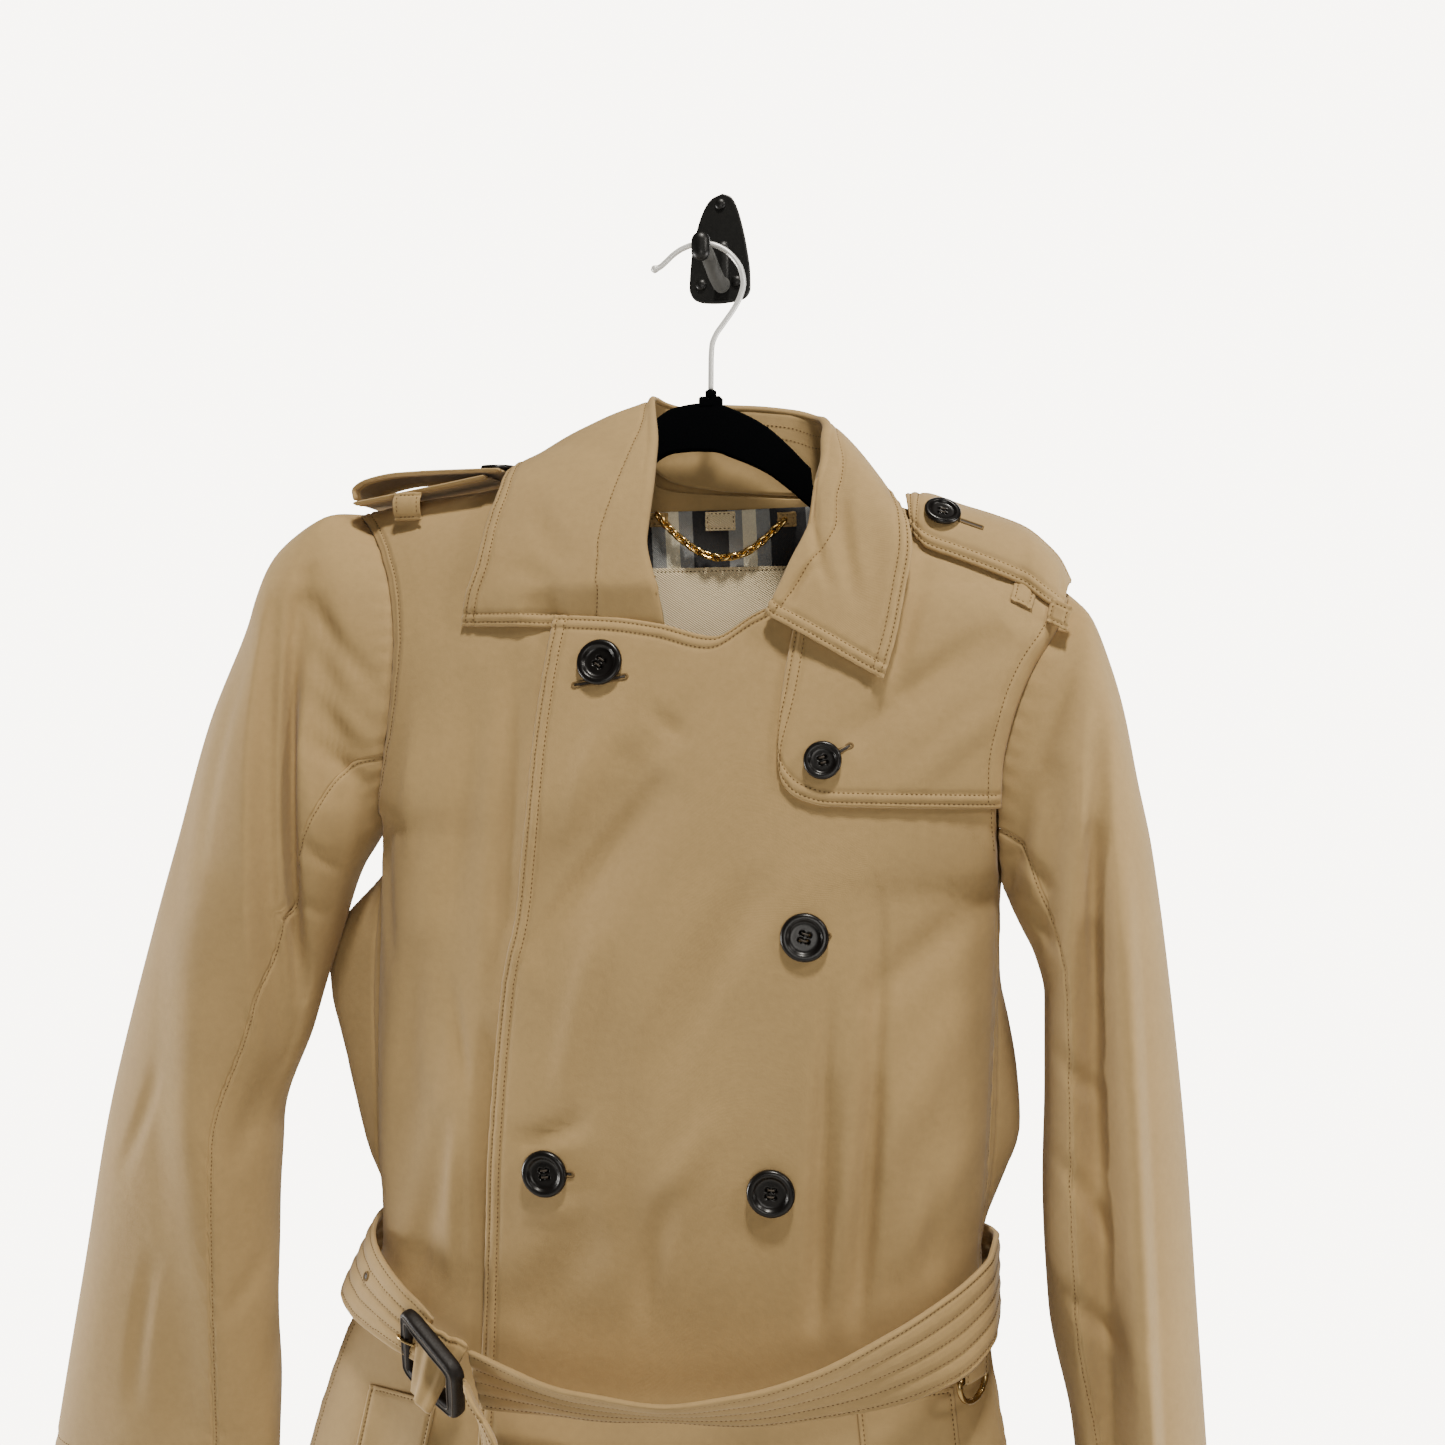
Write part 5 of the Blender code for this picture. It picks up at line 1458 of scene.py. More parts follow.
@dataclass
class Body:
    """The panels that hang from the shoulders: fronts, back, storm flap and pocket welts."""

    wardrobe: Wardrobe
    edge_row: float = 2.0
    second_row: float = 7.3
    armhole_row: float = 6.8
    hem_row: float = 26.0
    flap_lift: float = 3.5
    welt_lift: float = 1.7
    welts: tuple[tuple[str, float, float, float, float, float], ...] = (
        ("left", -137, -652, -170, -805, -44), ("right", 141, -628, 160, -800, -48),
    )

    def over_front(self) -> None:
        """The front on top, from the shoulder to the hem, with its stitched front edge."""
        panel = Panel(OVER_TOP, side_edge(OVER_EDGE), side_edge(RIGHT_SIDE), FORM.hem(-118, 230),
                      crowd_right, FORM.dressed_front)
        cloth = Cloth("over_front", fine(panel.grid(190, 260), 96, 150, "ltf"), VIEWER)
        cloth.puckered((Side.LEFT, Side.RIGHT), 1)
        rows = (
            Row(Side.LEFT, self.edge_row), Row(Side.LEFT, self.second_row),
            Row(Side.TOP, self.edge_row, 2, 165), Row(Side.TOP, self.second_row, 7, 160),
            Row(Side.RIGHT, self.armhole_row, 6, 170), Row(Side.RIGHT, 3.0, 240, 430), Row(Side.FOOT, self.hem_row),
        )
        self.wardrobe.sew(cloth, "front_over", rows, rests_on=["hanger_body"])

    def under_front(self) -> None:
        """The front below, moved inwards where the other one covers it."""
        panel = Panel(UNDER_TOP, side_edge(LEFT_SIDE), side_edge(UNDER_EDGE), FORM.hem(-290, 100),
                      crowd_left, FORM.dressed_front)
        grid = panel.grid(150, 250)
        inward = np.interp(grid[..., 0], (-165, -112, -72), (0, 3.6, FORM.underlap))
        inward += fold_depth(UNDER_CREASES, grid[..., 0], grid[..., 2])
        grid = fine(grid - FORM.out(grid[..., 0], grid[..., 2]) * inward[..., None], 90, 130, "lf")
        cloth = Cloth("under_front", grid, VIEWER).puckered((Side.LEFT,), 2)
        rows = (
            Row(Side.LEFT, self.armhole_row, 6, 200), Row(Side.LEFT, 3.5, 470), Row(Side.LEFT, 15.0, 470),
            Row(Side.FOOT, self.hem_row),
        )
        self.wardrobe.sew(cloth, "front_under", rows, rests_on=["hanger_body"])

    def back(self) -> None:
        """The back, which swells past the side seams."""
        panel = Panel(BACK_TOP, side_edge(LEFT_SIDE), side_edge(RIGHT_SIDE), FORM.hem(-290, 232),
                      crowd_both, FORM.dressed_back)
        grid = panel.grid(190, 230)
        grid[..., 1] += FORM.seam_gap
        cloth = Cloth("coat_back", fine(FORM.swell(grid), 110, 120, "lrf"), -VIEWER)
        cloth.puckered((Side.LEFT, Side.RIGHT), 3)
        rows = (Row(Side.LEFT, self.armhole_row, 6, 200), Row(Side.RIGHT, self.armhole_row, 6, 180),
                Row(Side.FOOT, self.hem_row))
        self.wardrobe.sew(cloth, "back", rows, rests_on=["hanger_body"])

    def storm_flap(self) -> None:
        """The flap over the chest, free at its front and its foot."""
        panel = Panel(FLAP_TOP, side_edge(FLAP_EDGE), lambda z: RIGHT_SIDE.read("z", "x", z) - 1.0,
                      lambda across: FLAP_FOOT.read("across", "z", across), crowd_corner, FORM.dressed_front, -280)
        grid = panel.grid(120, 120)
        grid = grid + FORM.out(grid[..., 0], grid[..., 2]) * self.flap_lift
        cloth = Cloth("chest_flap", fine(grid, 60, 60, "lrf"), VIEWER, form=FORM.out).puckered((Side.FOOT,), 4, 0.2)
        rows = (
            Row(Side.LEFT, self.edge_row), Row(Side.LEFT, self.second_row), Row(Side.FOOT, self.edge_row),
            Row(Side.FOOT, self.second_row), Row(Side.RIGHT, self.armhole_row + 1.5),
        )
        self.wardrobe.sew(cloth, "storm_flap", rows, rests_on=["over_front"])

    def pocket_welts(self) -> None:
        """A slanting welt on each side."""
        for side, x, z, foot_x, foot_z, wide in self.welts:
            down, across = np.linspace(0, 1, 60)[:, None], np.linspace(0, 1, 24)[None, :]
            grid = on_front(x + (foot_x - x) * down + wide * across, z + (foot_z - z) * down, self.welt_lift)
            cloth = Cloth(f"welt_{side}", fine(grid, 12, 34, "lrtf"), VIEWER, 1.6)
            self.wardrobe.sew(cloth, f"pocket_welt_{side}", rows_along(ALL_ROUND, 2.0), rests_on=["over_front"])

    def make(self) -> None:
        """Makes every panel."""
        self.over_front()
        self.under_front()
        self.back()
        self.storm_flap()
        self.pocket_welts()


@dataclass
class Sleeve:
    """A sleeve of an upper and an under piece, as rings from the armhole to the cuff."""

    wardrobe: Wardrobe
    label: str
    side: Table
    armhole: Pair
    rings: Table
    outward: int
    folds: Table
    creases: Table
    seed: int
    seam_turn: float = 0.7 * math.pi
    seam_gap: float = 0.006
    armhole_gap: float = 0.5
    cuff_row: float = 30.0
    seam_row: float = 1.8
    squareness: float = 0.85
    spacing: float = 1.25
    side_fade: float = 2.5
    start_fade: float = 9.0
    uneven: Pair = (60, 0.7)
    uneven_behind: Pair = (46, 2.0)
    rows: int = 260

    def armhole_ring(self, turns: Array) -> Array:
        """The ring at the armhole, on the body's own edge.

        Args:
            turns: angles round the arm.

        Returns:
            A point for each angle.
        """
        tip, pit = self.armhole
        z = tip + (pit - tip) * (1 - np.cos(turns)) / 2
        x = self.side.read("z", "x", z)
        y = np.where(np.sin(turns) >= 0, FORM.front(x, z), FORM.back(x, z) + FORM.seam_gap)
        return np.stack([x + self.outward * self.armhole_gap, y, z], axis=-1)

    def grid(self, turns: Array) -> Array:
        """Rings by cosine and a flattened sine of the turn, eased from one to the next.

        Args:
            turns: angles round the arm, zero at its outer line.

        Returns:
            The points.
        """
        share = (1 - np.cos(turns)) / 2
        turn = np.sin(turns)
        outer_x, outer_z, inner_x, inner_z, mid, ahead, behind = (
            self.rings.column[name][:, None] for name in RING_COLUMNS.split()
        )
        y = mid + np.where(turn > 0, -ahead, behind) * np.abs(turn) ** self.squareness
        rings = np.stack([outer_x + (inner_x - outer_x) * share, y, outer_z + (inner_z - outer_z) * share], axis=-1)
        frames = np.concatenate([self.armhole_ring(turns)[None], rings])
        run = run_of(frames.mean(axis=1))
        down = np.linspace(0, 1, self.rows)
        grid = eased(run, frames, run[-1] * down**self.spacing)
        x, z = grid[..., 0], grid[..., 2]
        in_front, in_back = np.clip(turn * self.side_fade, 0, 1), np.clip(-turn * self.side_fade, 0, 1)
        from_armhole = np.clip(down * self.start_fade, 0, 1)[:, None]
        finer = fold_depth(self.creases, x, z) + undulation(x, z, self.seed, *self.uneven)
        behind_folds = undulation(x + 30, z, self.seed + 20, *self.uneven_behind)
        grid[..., 1] += fold_depth(self.folds, x, z) * in_front + finer * in_front * from_armhole
        grid[..., 1] += behind_folds * from_armhole * in_back
        return grid

    def make(self) -> None:
        """Makes the two pieces, which meet at a front and a back seam."""
        seam, gap = self.seam_turn, self.seam_gap
        parts = (("upper", -seam, seam, 260, 130), ("under", seam + gap, 2 * math.pi - seam - gap, 80, 40))
        for piece, start, end, columns, lines in parts:
            turns = np.linspace(start, end, columns)
            centre = self.grid(np.linspace(0, 2 * math.pi, columns)).mean(axis=1, keepdims=True)
            grid = self.grid(turns)
            outward = fine(grid - centre, lines, 130, "lrf")
            cloth = Cloth(f"{piece}_sleeve_{self.label}", fine(grid, lines, 130, "lrf"), outward)
            cloth.puckered((Side.TOP, Side.LEFT, Side.RIGHT), self.seed, 0.3)
            rows = (Row(Side.LEFT, self.seam_row), Row(Side.FOOT, self.cuff_row))
            self.wardrobe.sew(cloth, f"{self.label}_sleeve_{piece}", rows, rests_on=["over_front", "under_front"])


@dataclass
class Collar:
    """The collar's leaf, rolled over its stand."""

    wardrobe: Wardrobe
    swell: float = 2.4
    roll: float = 2.4
    roll_turns: Pair = (-25.0, 165.0)
    shoulders: tuple[int, int] = (6, 12)
    below_fold: float = 3.0
    rim_wide: float = 6.0
    seam_row: float = 1.6
    seam_step: float = 0.55
    seam_soft: float = 0.35
    stand_rows: Pair = (8.0, 15.0)
    stand_wall: float = 2.0
    tuck: float = 2.7
    tuck_low: tuple[Pair, Pair] = ((-221, -207), (1, 0))
    tuck_right: tuple[Pair, Pair] = ((-94, -79), (0, 1))
    tuck_hidden: tuple[Pair, Pair] = ((-75, -66), (0, 8))

    def lines(self, count: int, first: float = 0.0, last: float | None = None) -> tuple[Array, Array, Array]:
        """The fold, the leaf's edge and the stand's seam, eased through their stations.

        Args:
            count: how many points on each.
            first: the station where they start.
            last: the station where they end.

        Returns:
            Three lines of points.
        """
        station = np.arange(len(COLLAR.column["fx"]))
        at = np.linspace(first, station[-1] if last is None else last, count)
        x, z = COLLAR.column["sx"], COLLAR.column["sz"]
        front, back = FORM.front(x, z - self.below_fold) + 0.5, FORM.back(x, z - self.below_fold)
        left, right = self.shoulders
        y = np.select([station < left, station > right, (station == left) | (station == right)],
                      [front + FORM.underlap, front, FORM.ridge_y], back)
        found = (COLLAR.points("fx fy fz"), COLLAR.points("ex ey ez"), np.stack([x, y, z], axis=1))
        return tuple(eased(station, line, at) for line in found)

    def inward(self, fold: Array) -> Array:
        """Level unit vectors from the fold to the middle of the neck.

        Args:
            fold: the fold's points.

        Returns:
            A vector for each point.
        """
        level = NECK - fold
        level[:, 2] = 0
        return unit(level)

    def tucked(self, grid: Array) -> Array:
        """The leaf with its lower left corner led in behind the over front's top edge.

        Args:
            grid: the leaf's points.

        Returns:
            The points, moved by smooth steps over x and z.
        """
        x, y, z = np.moveaxis(grid, -1, 0)
        low = eased(*self.tuck_low, z) * eased(*self.tuck_right, x) * (x < 0)
        under = np.maximum(y, FORM.front(x, z) + self.tuck)
        hidden = eased(*self.tuck_hidden, x) * low
        return np.stack([x, y + (under - y) * low, z - hidden], axis=-1)

    def leaf(self) -> None:
        """The leaf: a half turn over the stand, then a slightly swelling band to its free edge."""
        columns = 220
        fold, edge, _ = self.lines(columns)
        share = np.linspace(0, 1, 90)[:, None, None]
        flat = fold + (edge - fold) * share
        band = flat + facing(flat, flat - NECK) * self.swell * np.sin(math.pi * share**0.7)
        turn = np.radians(np.linspace(*self.roll_turns, 12))[:, None, None]
        centre = fold + self.inward(fold) * self.roll
        rolled = centre + self.roll * (self.inward(fold) * np.cos(turn) + UP * np.sin(turn))
        grid = self.tucked(fine(np.concatenate([rolled, band[1:]]), 150, 60, "lrf"))
        cloth = Cloth("collar_fall", grid, grid - NECK, 1.8)
        in_front = np.clip(-cloth.normal[..., 1] * 2, 0, 1)
        x, _, z = np.moveaxis(cloth.grid, -1, 0)
        rim = np.exp(-((cloth.far(Side.FOOT) / self.rim_wide) ** 2))
        waves = undulation(x + 2.0 * cloth.grid[..., 1], z, 8, 48, 0.5) + undulation(x, z, 9, 26, 0.35) * rim
        cloth.pressed(fold_depth(COLLAR_CREASES, x, z) * in_front + waves)
        cloth.puckered((Side.FOOT, Side.LEFT, Side.RIGHT), 5, 0.2)
        station = np.linspace(0, len(COLLAR.column["fx"]) - 1, grid.shape[1])
        past_roll = self.roll * float(np.ptp(np.radians(self.roll_turns)))
        length = cloth.far(Side.TOP)[-1] - past_roll
        seam = past_roll + length * STAND_SEAM.read("station", "share", station)
        rows = [*rows_along((Side.FOOT, *UPRIGHTS), *EDGE_ROWS), Row(Side.TOP, seam + self.seam_row, 4)]
        step = 1 / (1 + np.exp(-(cloth.far(Side.TOP) - seam) / self.seam_soft)) - 1
        cloth.pressed(step * self.seam_step * in_front)
        self.wardrobe.sew(cloth, "collar_leaf", rows, held="folded", rests_on=["collar_stand_cloth"])

    def stand(self) -> None:
        """The stand, from under the roll down to the neck's seam."""
        fold, _, seam = self.lines(170, 0.8, 16.6)
        upper = fold + self.inward(fold) * (self.roll + 0.3)
        upper[:, 2] -= 0.6
        share = np.linspace(0, 1, 50)[:, None, None]
        grid = fine(upper + (seam - upper) * 0.97 * share, 130, 24, "f")
        cloth = Cloth("collar_stand_cloth", grid, grid - NECK)
        cloth.pressed(undulation(grid[..., 0] + grid[..., 1], grid[..., 2], 11, 40, 0.4))
        inside = Cloth("", grid - cloth.normal * self.stand_wall, NECK - grid)
        more = [self.wardrobe.thread.along(*inside.line(Side.TOP, inset)) for inset in self.stand_rows]
        self.wardrobe.sew(cloth, "collar_stand", (), held="folded", rests_on=["over_front", "coat_back"], more=more)

    def make(self) -> None:
        """Makes both pieces."""
        self.stand()
        self.leaf()


@dataclass
class Neck:
    """What shows inside the neck: lining, labels and the hanging chain."""

    wardrobe: Wardrobe
    before_back: float = 0.7
    chain_lift: float = 8.7
    links: int = 18
    link_wire: float = 0.95
    link_wide: float = 1.75
    link_long: float = 0.78
    link_tilt: float = 40.0

    def flat(self, x: Pair, z: Pair, lift: float, count: int = 40) -> Array:
        """A grid before the inside of the back, whose face looks at the viewer.

        Args:
            x: its left and right edge.
            z: its top and foot.
            lift: how far it lies before the inside of the back.
            count: points each way.

        Returns:
            The points.
        """
        across, down = np.meshgrid(np.linspace(*x, count), np.linspace(*z, count))
        y = FORM.back(across, down) - self.before_back - lift
        return np.stack([across, y + undulation(across, down, 15, 40, 0.25), down], axis=-1)

    def piece(self, name: str, node: str, x: Pair, z: Pair, lift: float,
              thick: float, finish: Finish, inset: float | None) -> None:
        """One flat piece, stitched round its edge if an inset is given.

        Args:
            name: its name.
            node: the node that it replaces.
            x: its left and right edge.
            z: its top and foot.
            lift: how far it lies before the inside of the back.
            thick: its wall.
            finish: its finish.
            inset: the distance of the stitches from its edge.
        """
        cloth = Cloth(name, self.flat(x, z, lift), VIEWER, thick)
        rows = rows_along(ALL_ROUND, inset) if inset else []
        self.wardrobe.sew(cloth, node, rows, finish, rests_on=["coat_back"])

    def chain(self) -> None:
        """Oval links along the hanging line, each turned half a quarter about it, left and right in turn."""
        x, z = CHAIN.column["x"], CHAIN.column["z"]
        route = through(np.stack([x, FORM.back(x, z) - self.chain_lift, z], axis=1), self.links + 1)
        middle, along = (route[1:] + route[:-1]) / 2, unit(np.diff(route, axis=0))
        pitch = float(np.linalg.norm(np.diff(route, axis=0), axis=1).mean())
        side = unit(np.cross(along, VIEWER))
        out = np.cross(side, along)
        turn = np.linspace(0, 2 * math.pi, 16, endpoint=False)[:, None]
        made = []
        for number, (place, way, across, ahead) in enumerate(zip(middle, along, side, out)):
            tilt = math.radians(self.link_tilt if number % 2 else -self.link_tilt)
            wide = across * math.cos(tilt) + ahead * math.sin(tilt)
            oval = place + way * pitch * self.link_long * np.cos(turn) + wide * self.link_wide * np.sin(turn)
            made.append(tube(oval, self.link_wire, 6, closed=True, toward=unit(np.cross(way, wide))))
        self.wardrobe.put("gold_chain", as_one(made), Finish.GOLD, ("hang_chain",))

    def make(self) -> None:
        """Makes everything in the neck."""
        self.piece("neck_cloth", "neck_lining", (-58, 78), (-158, -262), 3.6, 1.0, Finish.LINING, None)
        self.piece("neck_label_cloth", "neck_label", (-38, 46), (-191, -250), 5.0, 1.0, Finish.LABEL, 1.8)
        self.piece("small_label", "size_label", (-5, 12), (-159, -169), 5.0, 0.8, Finish.LABEL, 0.9)
        self.piece("chain_tab_a", "chain_tab_left", (-38, -28), (-159, -166), 6.4, 1.4, Finish.BODY, 1.2)
        self.piece("chain_tab_b", "chain_tab_right", (38, 48), (-161, -168), 6.4, 1.4, Finish.BODY, 1.2)
        self.chain()


def strap_grid(table: Table, wide: float, columns: int, rows: int = 3) -> Array:
    """A ribbon along a table's line, whose upper edge leans out by the table's angle.

    Args:
        table: the line, in STRAP_COLUMNS.
        wide: the ribbon's width.
        columns: how many points along it.
        rows: how many points across it.

    Returns:
        The points.
    """
    keys = table.points("x y z")
    line = through(keys, columns)
    run = run_of(keys)
    lean = np.radians(eased(run / run[-1], table.column["lean"], np.linspace(0, 1, columns)))[:, None]
    along = unit(np.gradient(line, axis=0))
    up = unit(UP - along * along[:, 2:])
    upward = up * np.cos(lean) + np.cross(up, along) * np.sin(lean)
    return line + upward * np.linspace(0.5, -0.5, rows)[:, None, None] * wide


def strip_grid(centre: Array, across: Array, out: Array, up: Array, wide: float, route: Array,
               count: int = 40) -> Array:
    """A narrow strip bent along a route of distances out and up from a centre.

    Args:
        centre: where the route's distances start.
        across: the way that the strip's width runs.
        out: the way of the first distance.
        up: the way of the second.
        wide: the strip's width.
        route: distances out and up.
        count: how many points along it.

    Returns:
        The points.
    """
    route = through(np.asarray(route, float), count)
    line = centre + out * route[:, :1] + up * route[:, 1:]
    return line[:, None] + across * (np.linspace(-0.5, 0.5, 14) * wide)[None, :, None]


@dataclass
class Belt:
    """The belt with its loose end, its loops on the back and its eyelet."""

    wardrobe: Wardrobe
    wide: float = 42.0
    thick: float = 3.0
    fold_wide: float = 39.0
    rows: tuple[float, ...] = (2.0, 11.5, 21.0, 30.5, 40.0)
    middle: Triple = (-15.0, -62.0, -600.0)
    wave: Triple = (17.0, 61.0, 1.1)
    crush: Triple = (1.6, 14.0, 0.9)
    bead: Pair = (2.3, 0.5)
    hole: tuple[Pair, ...] = ((0, 0.25), (1.1, 0.25), (1.6, 0.1), (1.6, -0.3), (0, -0.3))
    loop_foot: float = 4.8
    loop_y: float = -8.4
    loops: tuple[tuple[str, float, float], ...] = (("left", -120, -582), ("right", 110, -582))
    eyelet: Pair = (55.0, 0.36)
    gather: tuple[tuple[float, ...], tuple[float, ...]] = ((0, 9, 22, 58), (0.6, 0.68, 0.76, 1.0))

    def band(self) -> None:
        """The belt itself, with five rows of stitches."""
        grid = strap_grid(BELT, self.wide, 520, 30)
        middle = grid.mean(axis=0)
        grid = middle + (grid - middle) * eased(*self.gather, run_of(middle))[:, None]
        grid = fine(grid, 330, 20, "lrtf")
        cloth = Cloth("belt_band", grid, grid - np.array(self.middle), self.thick)
        run = cloth.far(Side.LEFT)
        pitch, drift, deep = self.wave
        waves = np.sin(run / pitch + 2 * np.sin(run / drift)) * np.linspace(0.5, -0.5, len(grid))[:, None]
        cloth.pressed(waves * deep)
        tall = cloth.far(Side.TOP)[-1]
        rows = rows_along((Side.TOP,), *(tall * inset / self.wide for inset in self.rows))
        self.wardrobe.sew(cloth, "belt", rows, rests_on=["loop_left", "loop_right", "buckle_frame"])
        self.ring(cloth)

    def ring(self, cloth: Cloth) -> None:
        """A stitched eyelet on the belt: a ring of thread round a dark disc that paints the shade of the hole.

        Args:
            cloth: the belt's band.
        """
        row = int(len(cloth.grid) * self.eyelet[1])
        at = row, int(np.abs(cloth.far(Side.LEFT)[row] - self.eyelet[0]).argmin())
        place, out = cloth.grid[at], cloth.normal[at]
        along = unit(cloth.grid[at[0], at[1] + 1] - place)
        turn = np.linspace(0, 2 * math.pi, 24, endpoint=False)[:, None]
        circle = along * np.cos(turn) + np.cross(out, along) * np.sin(turn)
        radius, thread = self.bead
        bead = tube(place + out * 0.2 + circle * radius, thread, 8, closed=True, flat=0.8, toward=out)
        self.wardrobe.put("eyelet_thread", bead, Finish.THREAD_WITH_PAINTED_SHADE)
        # A dark disc where the hole is: painted shade of the opening.
        self.wardrobe.put("eyelet_hole_shade", turned(self.hole, place, out, 20), Finish.DARK_THREAD_AND_HOLE_SHADE)

    def folded_end(self) -> None:
        """Where the belt is crushed through the buckle, and the tail that hangs from there."""
        grid = fine(strap_grid(BELT_FOLD, self.fold_wide, 50, 30), 20, 16, "tf")
        cloth = Cloth("belt_crush", grid, VIEWER, self.thick - 0.6)
        pitch, slant, deep = self.crush
        cloth.pressed(deep * np.sin(cloth.far(Side.LEFT) / pitch + cloth.far(Side.TOP) / slant))
        self.wardrobe.sew(cloth, "belt_fold", (Row(Side.TOP, 2.0),), held="folded", rests_on=["buckle_frame"])
        line = through(BELT_TAIL.points("x y z lean wide"), 160)
        turn = np.radians(line[:, 3:4])
        across = np.concatenate([np.cos(turn), np.sin(turn), np.zeros_like(turn)], axis=1) * line[:, 4:]
        share = np.linspace(-0.5, 0.5, 30)[None, :, None]
        grid = line[:, None, :3] + across[:, None] * share
        cloth = Cloth("belt_end", fine(grid, 18, 90, "lrf"), VIEWER, self.thick)
        cloth.pressed(undulation(cloth.grid[..., 0], cloth.grid[..., 2], 21, 50, 0.6))
        rows = [*rows_along((Side.LEFT,), *self.rows[:-1]), Row(Side.FOOT, 2.0)]
        self.wardrobe.sew(cloth, "belt_tail", rows, rests_on=["buckle_frame"])

    def back_loops(self) -> None:
        """Two narrow loops round the belt on the back."""
        for side, x, z in self.loops:
            tall = self.wide / 2 + 5
            face = float(FORM.back(np.array(x), np.array(z))) + 1.3
            deep = self.loop_y - face
            half = [(deep, tall - 5), (deep - 1, tall - 2), (self.loop_foot, tall)]
            route = [(out, -up) for out, up in reversed(half)] + half
            grid = strip_grid(np.array([x, face, z]), np.array([1.0, 0, 0]), -VIEWER, UP, 12.0, np.array(route))
            self.wardrobe.sew(Cloth(f"loop_{side}", grid, -VIEWER, 1.4), f"belt_loop_{side}",
                              rows_along(UPRIGHTS, 1.6), rests_on=["coat_back"])

    def make(self) -> None:
        """Makes the belt and its parts."""
        self.band()
        self.folded_end()
        self.back_loops()


@dataclass
class Buckle:
    """A leather-covered frame with lighter piping along its edges, a painted highlight, and its prong."""

    wardrobe: Wardrobe
    thin: float = 3.2
    thick: float = 4.5
    flat: float = 0.86
    rounding: float = 0.11
    prong_radii: Pair = (1.15, 0.8)

    def frame(self) -> Array:
        """The frame's middle line: straight bars joined by arcs of a quadratic at each corner.

        Returns:
            The line's points.
        """
        share = np.linspace(0, 1, 9)[:, None]
        before, after = np.roll(BUCKLE_CORNERS, 1, axis=0), np.roll(BUCKLE_CORNERS, -1, axis=0)
        parts = []
        for here, last, following in zip(BUCKLE_CORNERS, before, after):
            start, end = here + (last - here) * self.rounding, here + (following - here) * self.rounding
            parts.append(quadratic(start, here, end, share))
            bar = np.linspace(0, 1, 12)[1:-1, None]
            parts.append(end + (following + (here - following) * self.rounding - end) * bar)
        return np.concatenate(parts)

    def make(self) -> None:
        """Makes the frame, its edge and its prong."""
        line = self.frame()
        a, b, c = BUCKLE_CORNERS[:3]
        out = unit(np.cross(b - a, c - b))
        out = out if out[1] < 0 else -out
        middle = line.mean(axis=0)
        away = unit(line - middle)
        thick = np.interp(line[:, 0], (-149, -139), (self.thin, self.thick))
        bar = tube(line, thick, 24, closed=True, flat=self.flat, toward=out)
        offset = bar.points.reshape(len(line), 24, 3) - line[:, None]
        lean = (unit(offset) @ out) ** 2
        squared = offset * ((lean**2 + (1 - lean) ** 2) ** -0.25)[..., None]
        bar.points = (line[:, None] + squared).reshape(-1, 3)
        self.wardrobe.put("buckle_frame", bar, Finish.LEATHER, ("buckle",))
        # Lighter piping along both edges of the frame: painted highlight of the bevel.
        for name, reach in (("buckle_piping", 0.5), ("buckle_piping_inner", -0.5)):
            edge = line + (away * reach + out * self.flat * 1.05) * thick[:, None]
            self.wardrobe.put(name, tube(edge, 0.35, 8, closed=True, toward=out), Finish.LEATHER_EDGE_HIGHLIGHT)
        pin = tube(through(PRONG.points("x y z"), 16), np.linspace(*self.prong_radii, 16), 10)
        self.wardrobe.put("buckle_pin", pin, Finish.OLD_BRASS, ("buckle_prong",))


@dataclass
class Ring:
    """The D-ring, which swings in a folded tab behind the belt."""

    wardrobe: Wardrobe
    at_x: float = 158.0
    seam_y: float = -70.0
    behind_belt: float = 1.9
    tab_wide: float = 21.0
    low: float = 14.0
    radius: float = 9.6
    wire: float = 1.6
    tab_cloth: float = 1.2
    clear: float = 0.4

    @property
    def fold(self) -> float:
        """Half the depth of the tab folded round the wire."""
        return self.wire + self.clear + self.tab_cloth

    def frame(self) -> tuple[Array, Array, Array]:
        """The bar's middle, the way along it and the way out from the coat.

        Returns:
            A point and two unit vectors.
        """
        line = through(BELT.points("x y z"), 400)
        half = len(line) // 2
        ahead = line[half:-1]
        here = half + np.flatnonzero((ahead[:, 1] < self.seam_y) & (ahead[:, 0] >= self.at_x))[-1]
        along = line[here + 1] - line[here - 1]
        along[2] = 0
        along = unit(along)
        out = np.array([-along[1], along[0], 0.0])
        out = out if out[0] > 0 else -out
        bar = line[here] - out * (Belt.thick + self.behind_belt + self.fold) - UP * (Belt.wide / 2 + self.low)
        return bar, along, out

    def make(self) -> None:
        """Makes the tab and the ring."""
        bar, along, out = self.frame()
        fold = self.fold
        turn = np.radians(np.linspace(0, -180, 13))
        route = [(fold, self.low + 12), (fold, 6), *np.stack([np.cos(turn), np.sin(turn)], axis=1) * fold,
                 (-fold, 6), (-fold, self.low + 10)]
        grid = strip_grid(bar, along, out, UP, self.tab_wide, np.array(route), 70)
        cloth = Cloth("ring_tab", grid, grid - (bar + UP * 2), self.tab_cloth)
        self.wardrobe.sew(cloth, "d_ring_tab", rows_along(UPRIGHTS, 2.0), held="folded", rests_on=["belt_band"])
        half = self.tab_wide / 2 + self.wire + self.clear
        straight = np.stack([np.linspace(-half, half, 12), np.zeros(12)], axis=1)
        turn = np.radians(np.linspace(14, 166, 26))
        bow = np.stack([half * np.cos(turn), -1.5 - self.radius * 1.25 * np.sin(turn)], axis=1)
        flat = np.concatenate([straight, bow])
        loop = bar + along * flat[:, :1] + UP * flat[:, 1:]
        bow_form = tube(loop, self.wire, 14, closed=True, toward=out)
        self.wardrobe.put("brass_ring", bow_form, Finish.OLD_BRASS, ("d_ring",), body=RING)


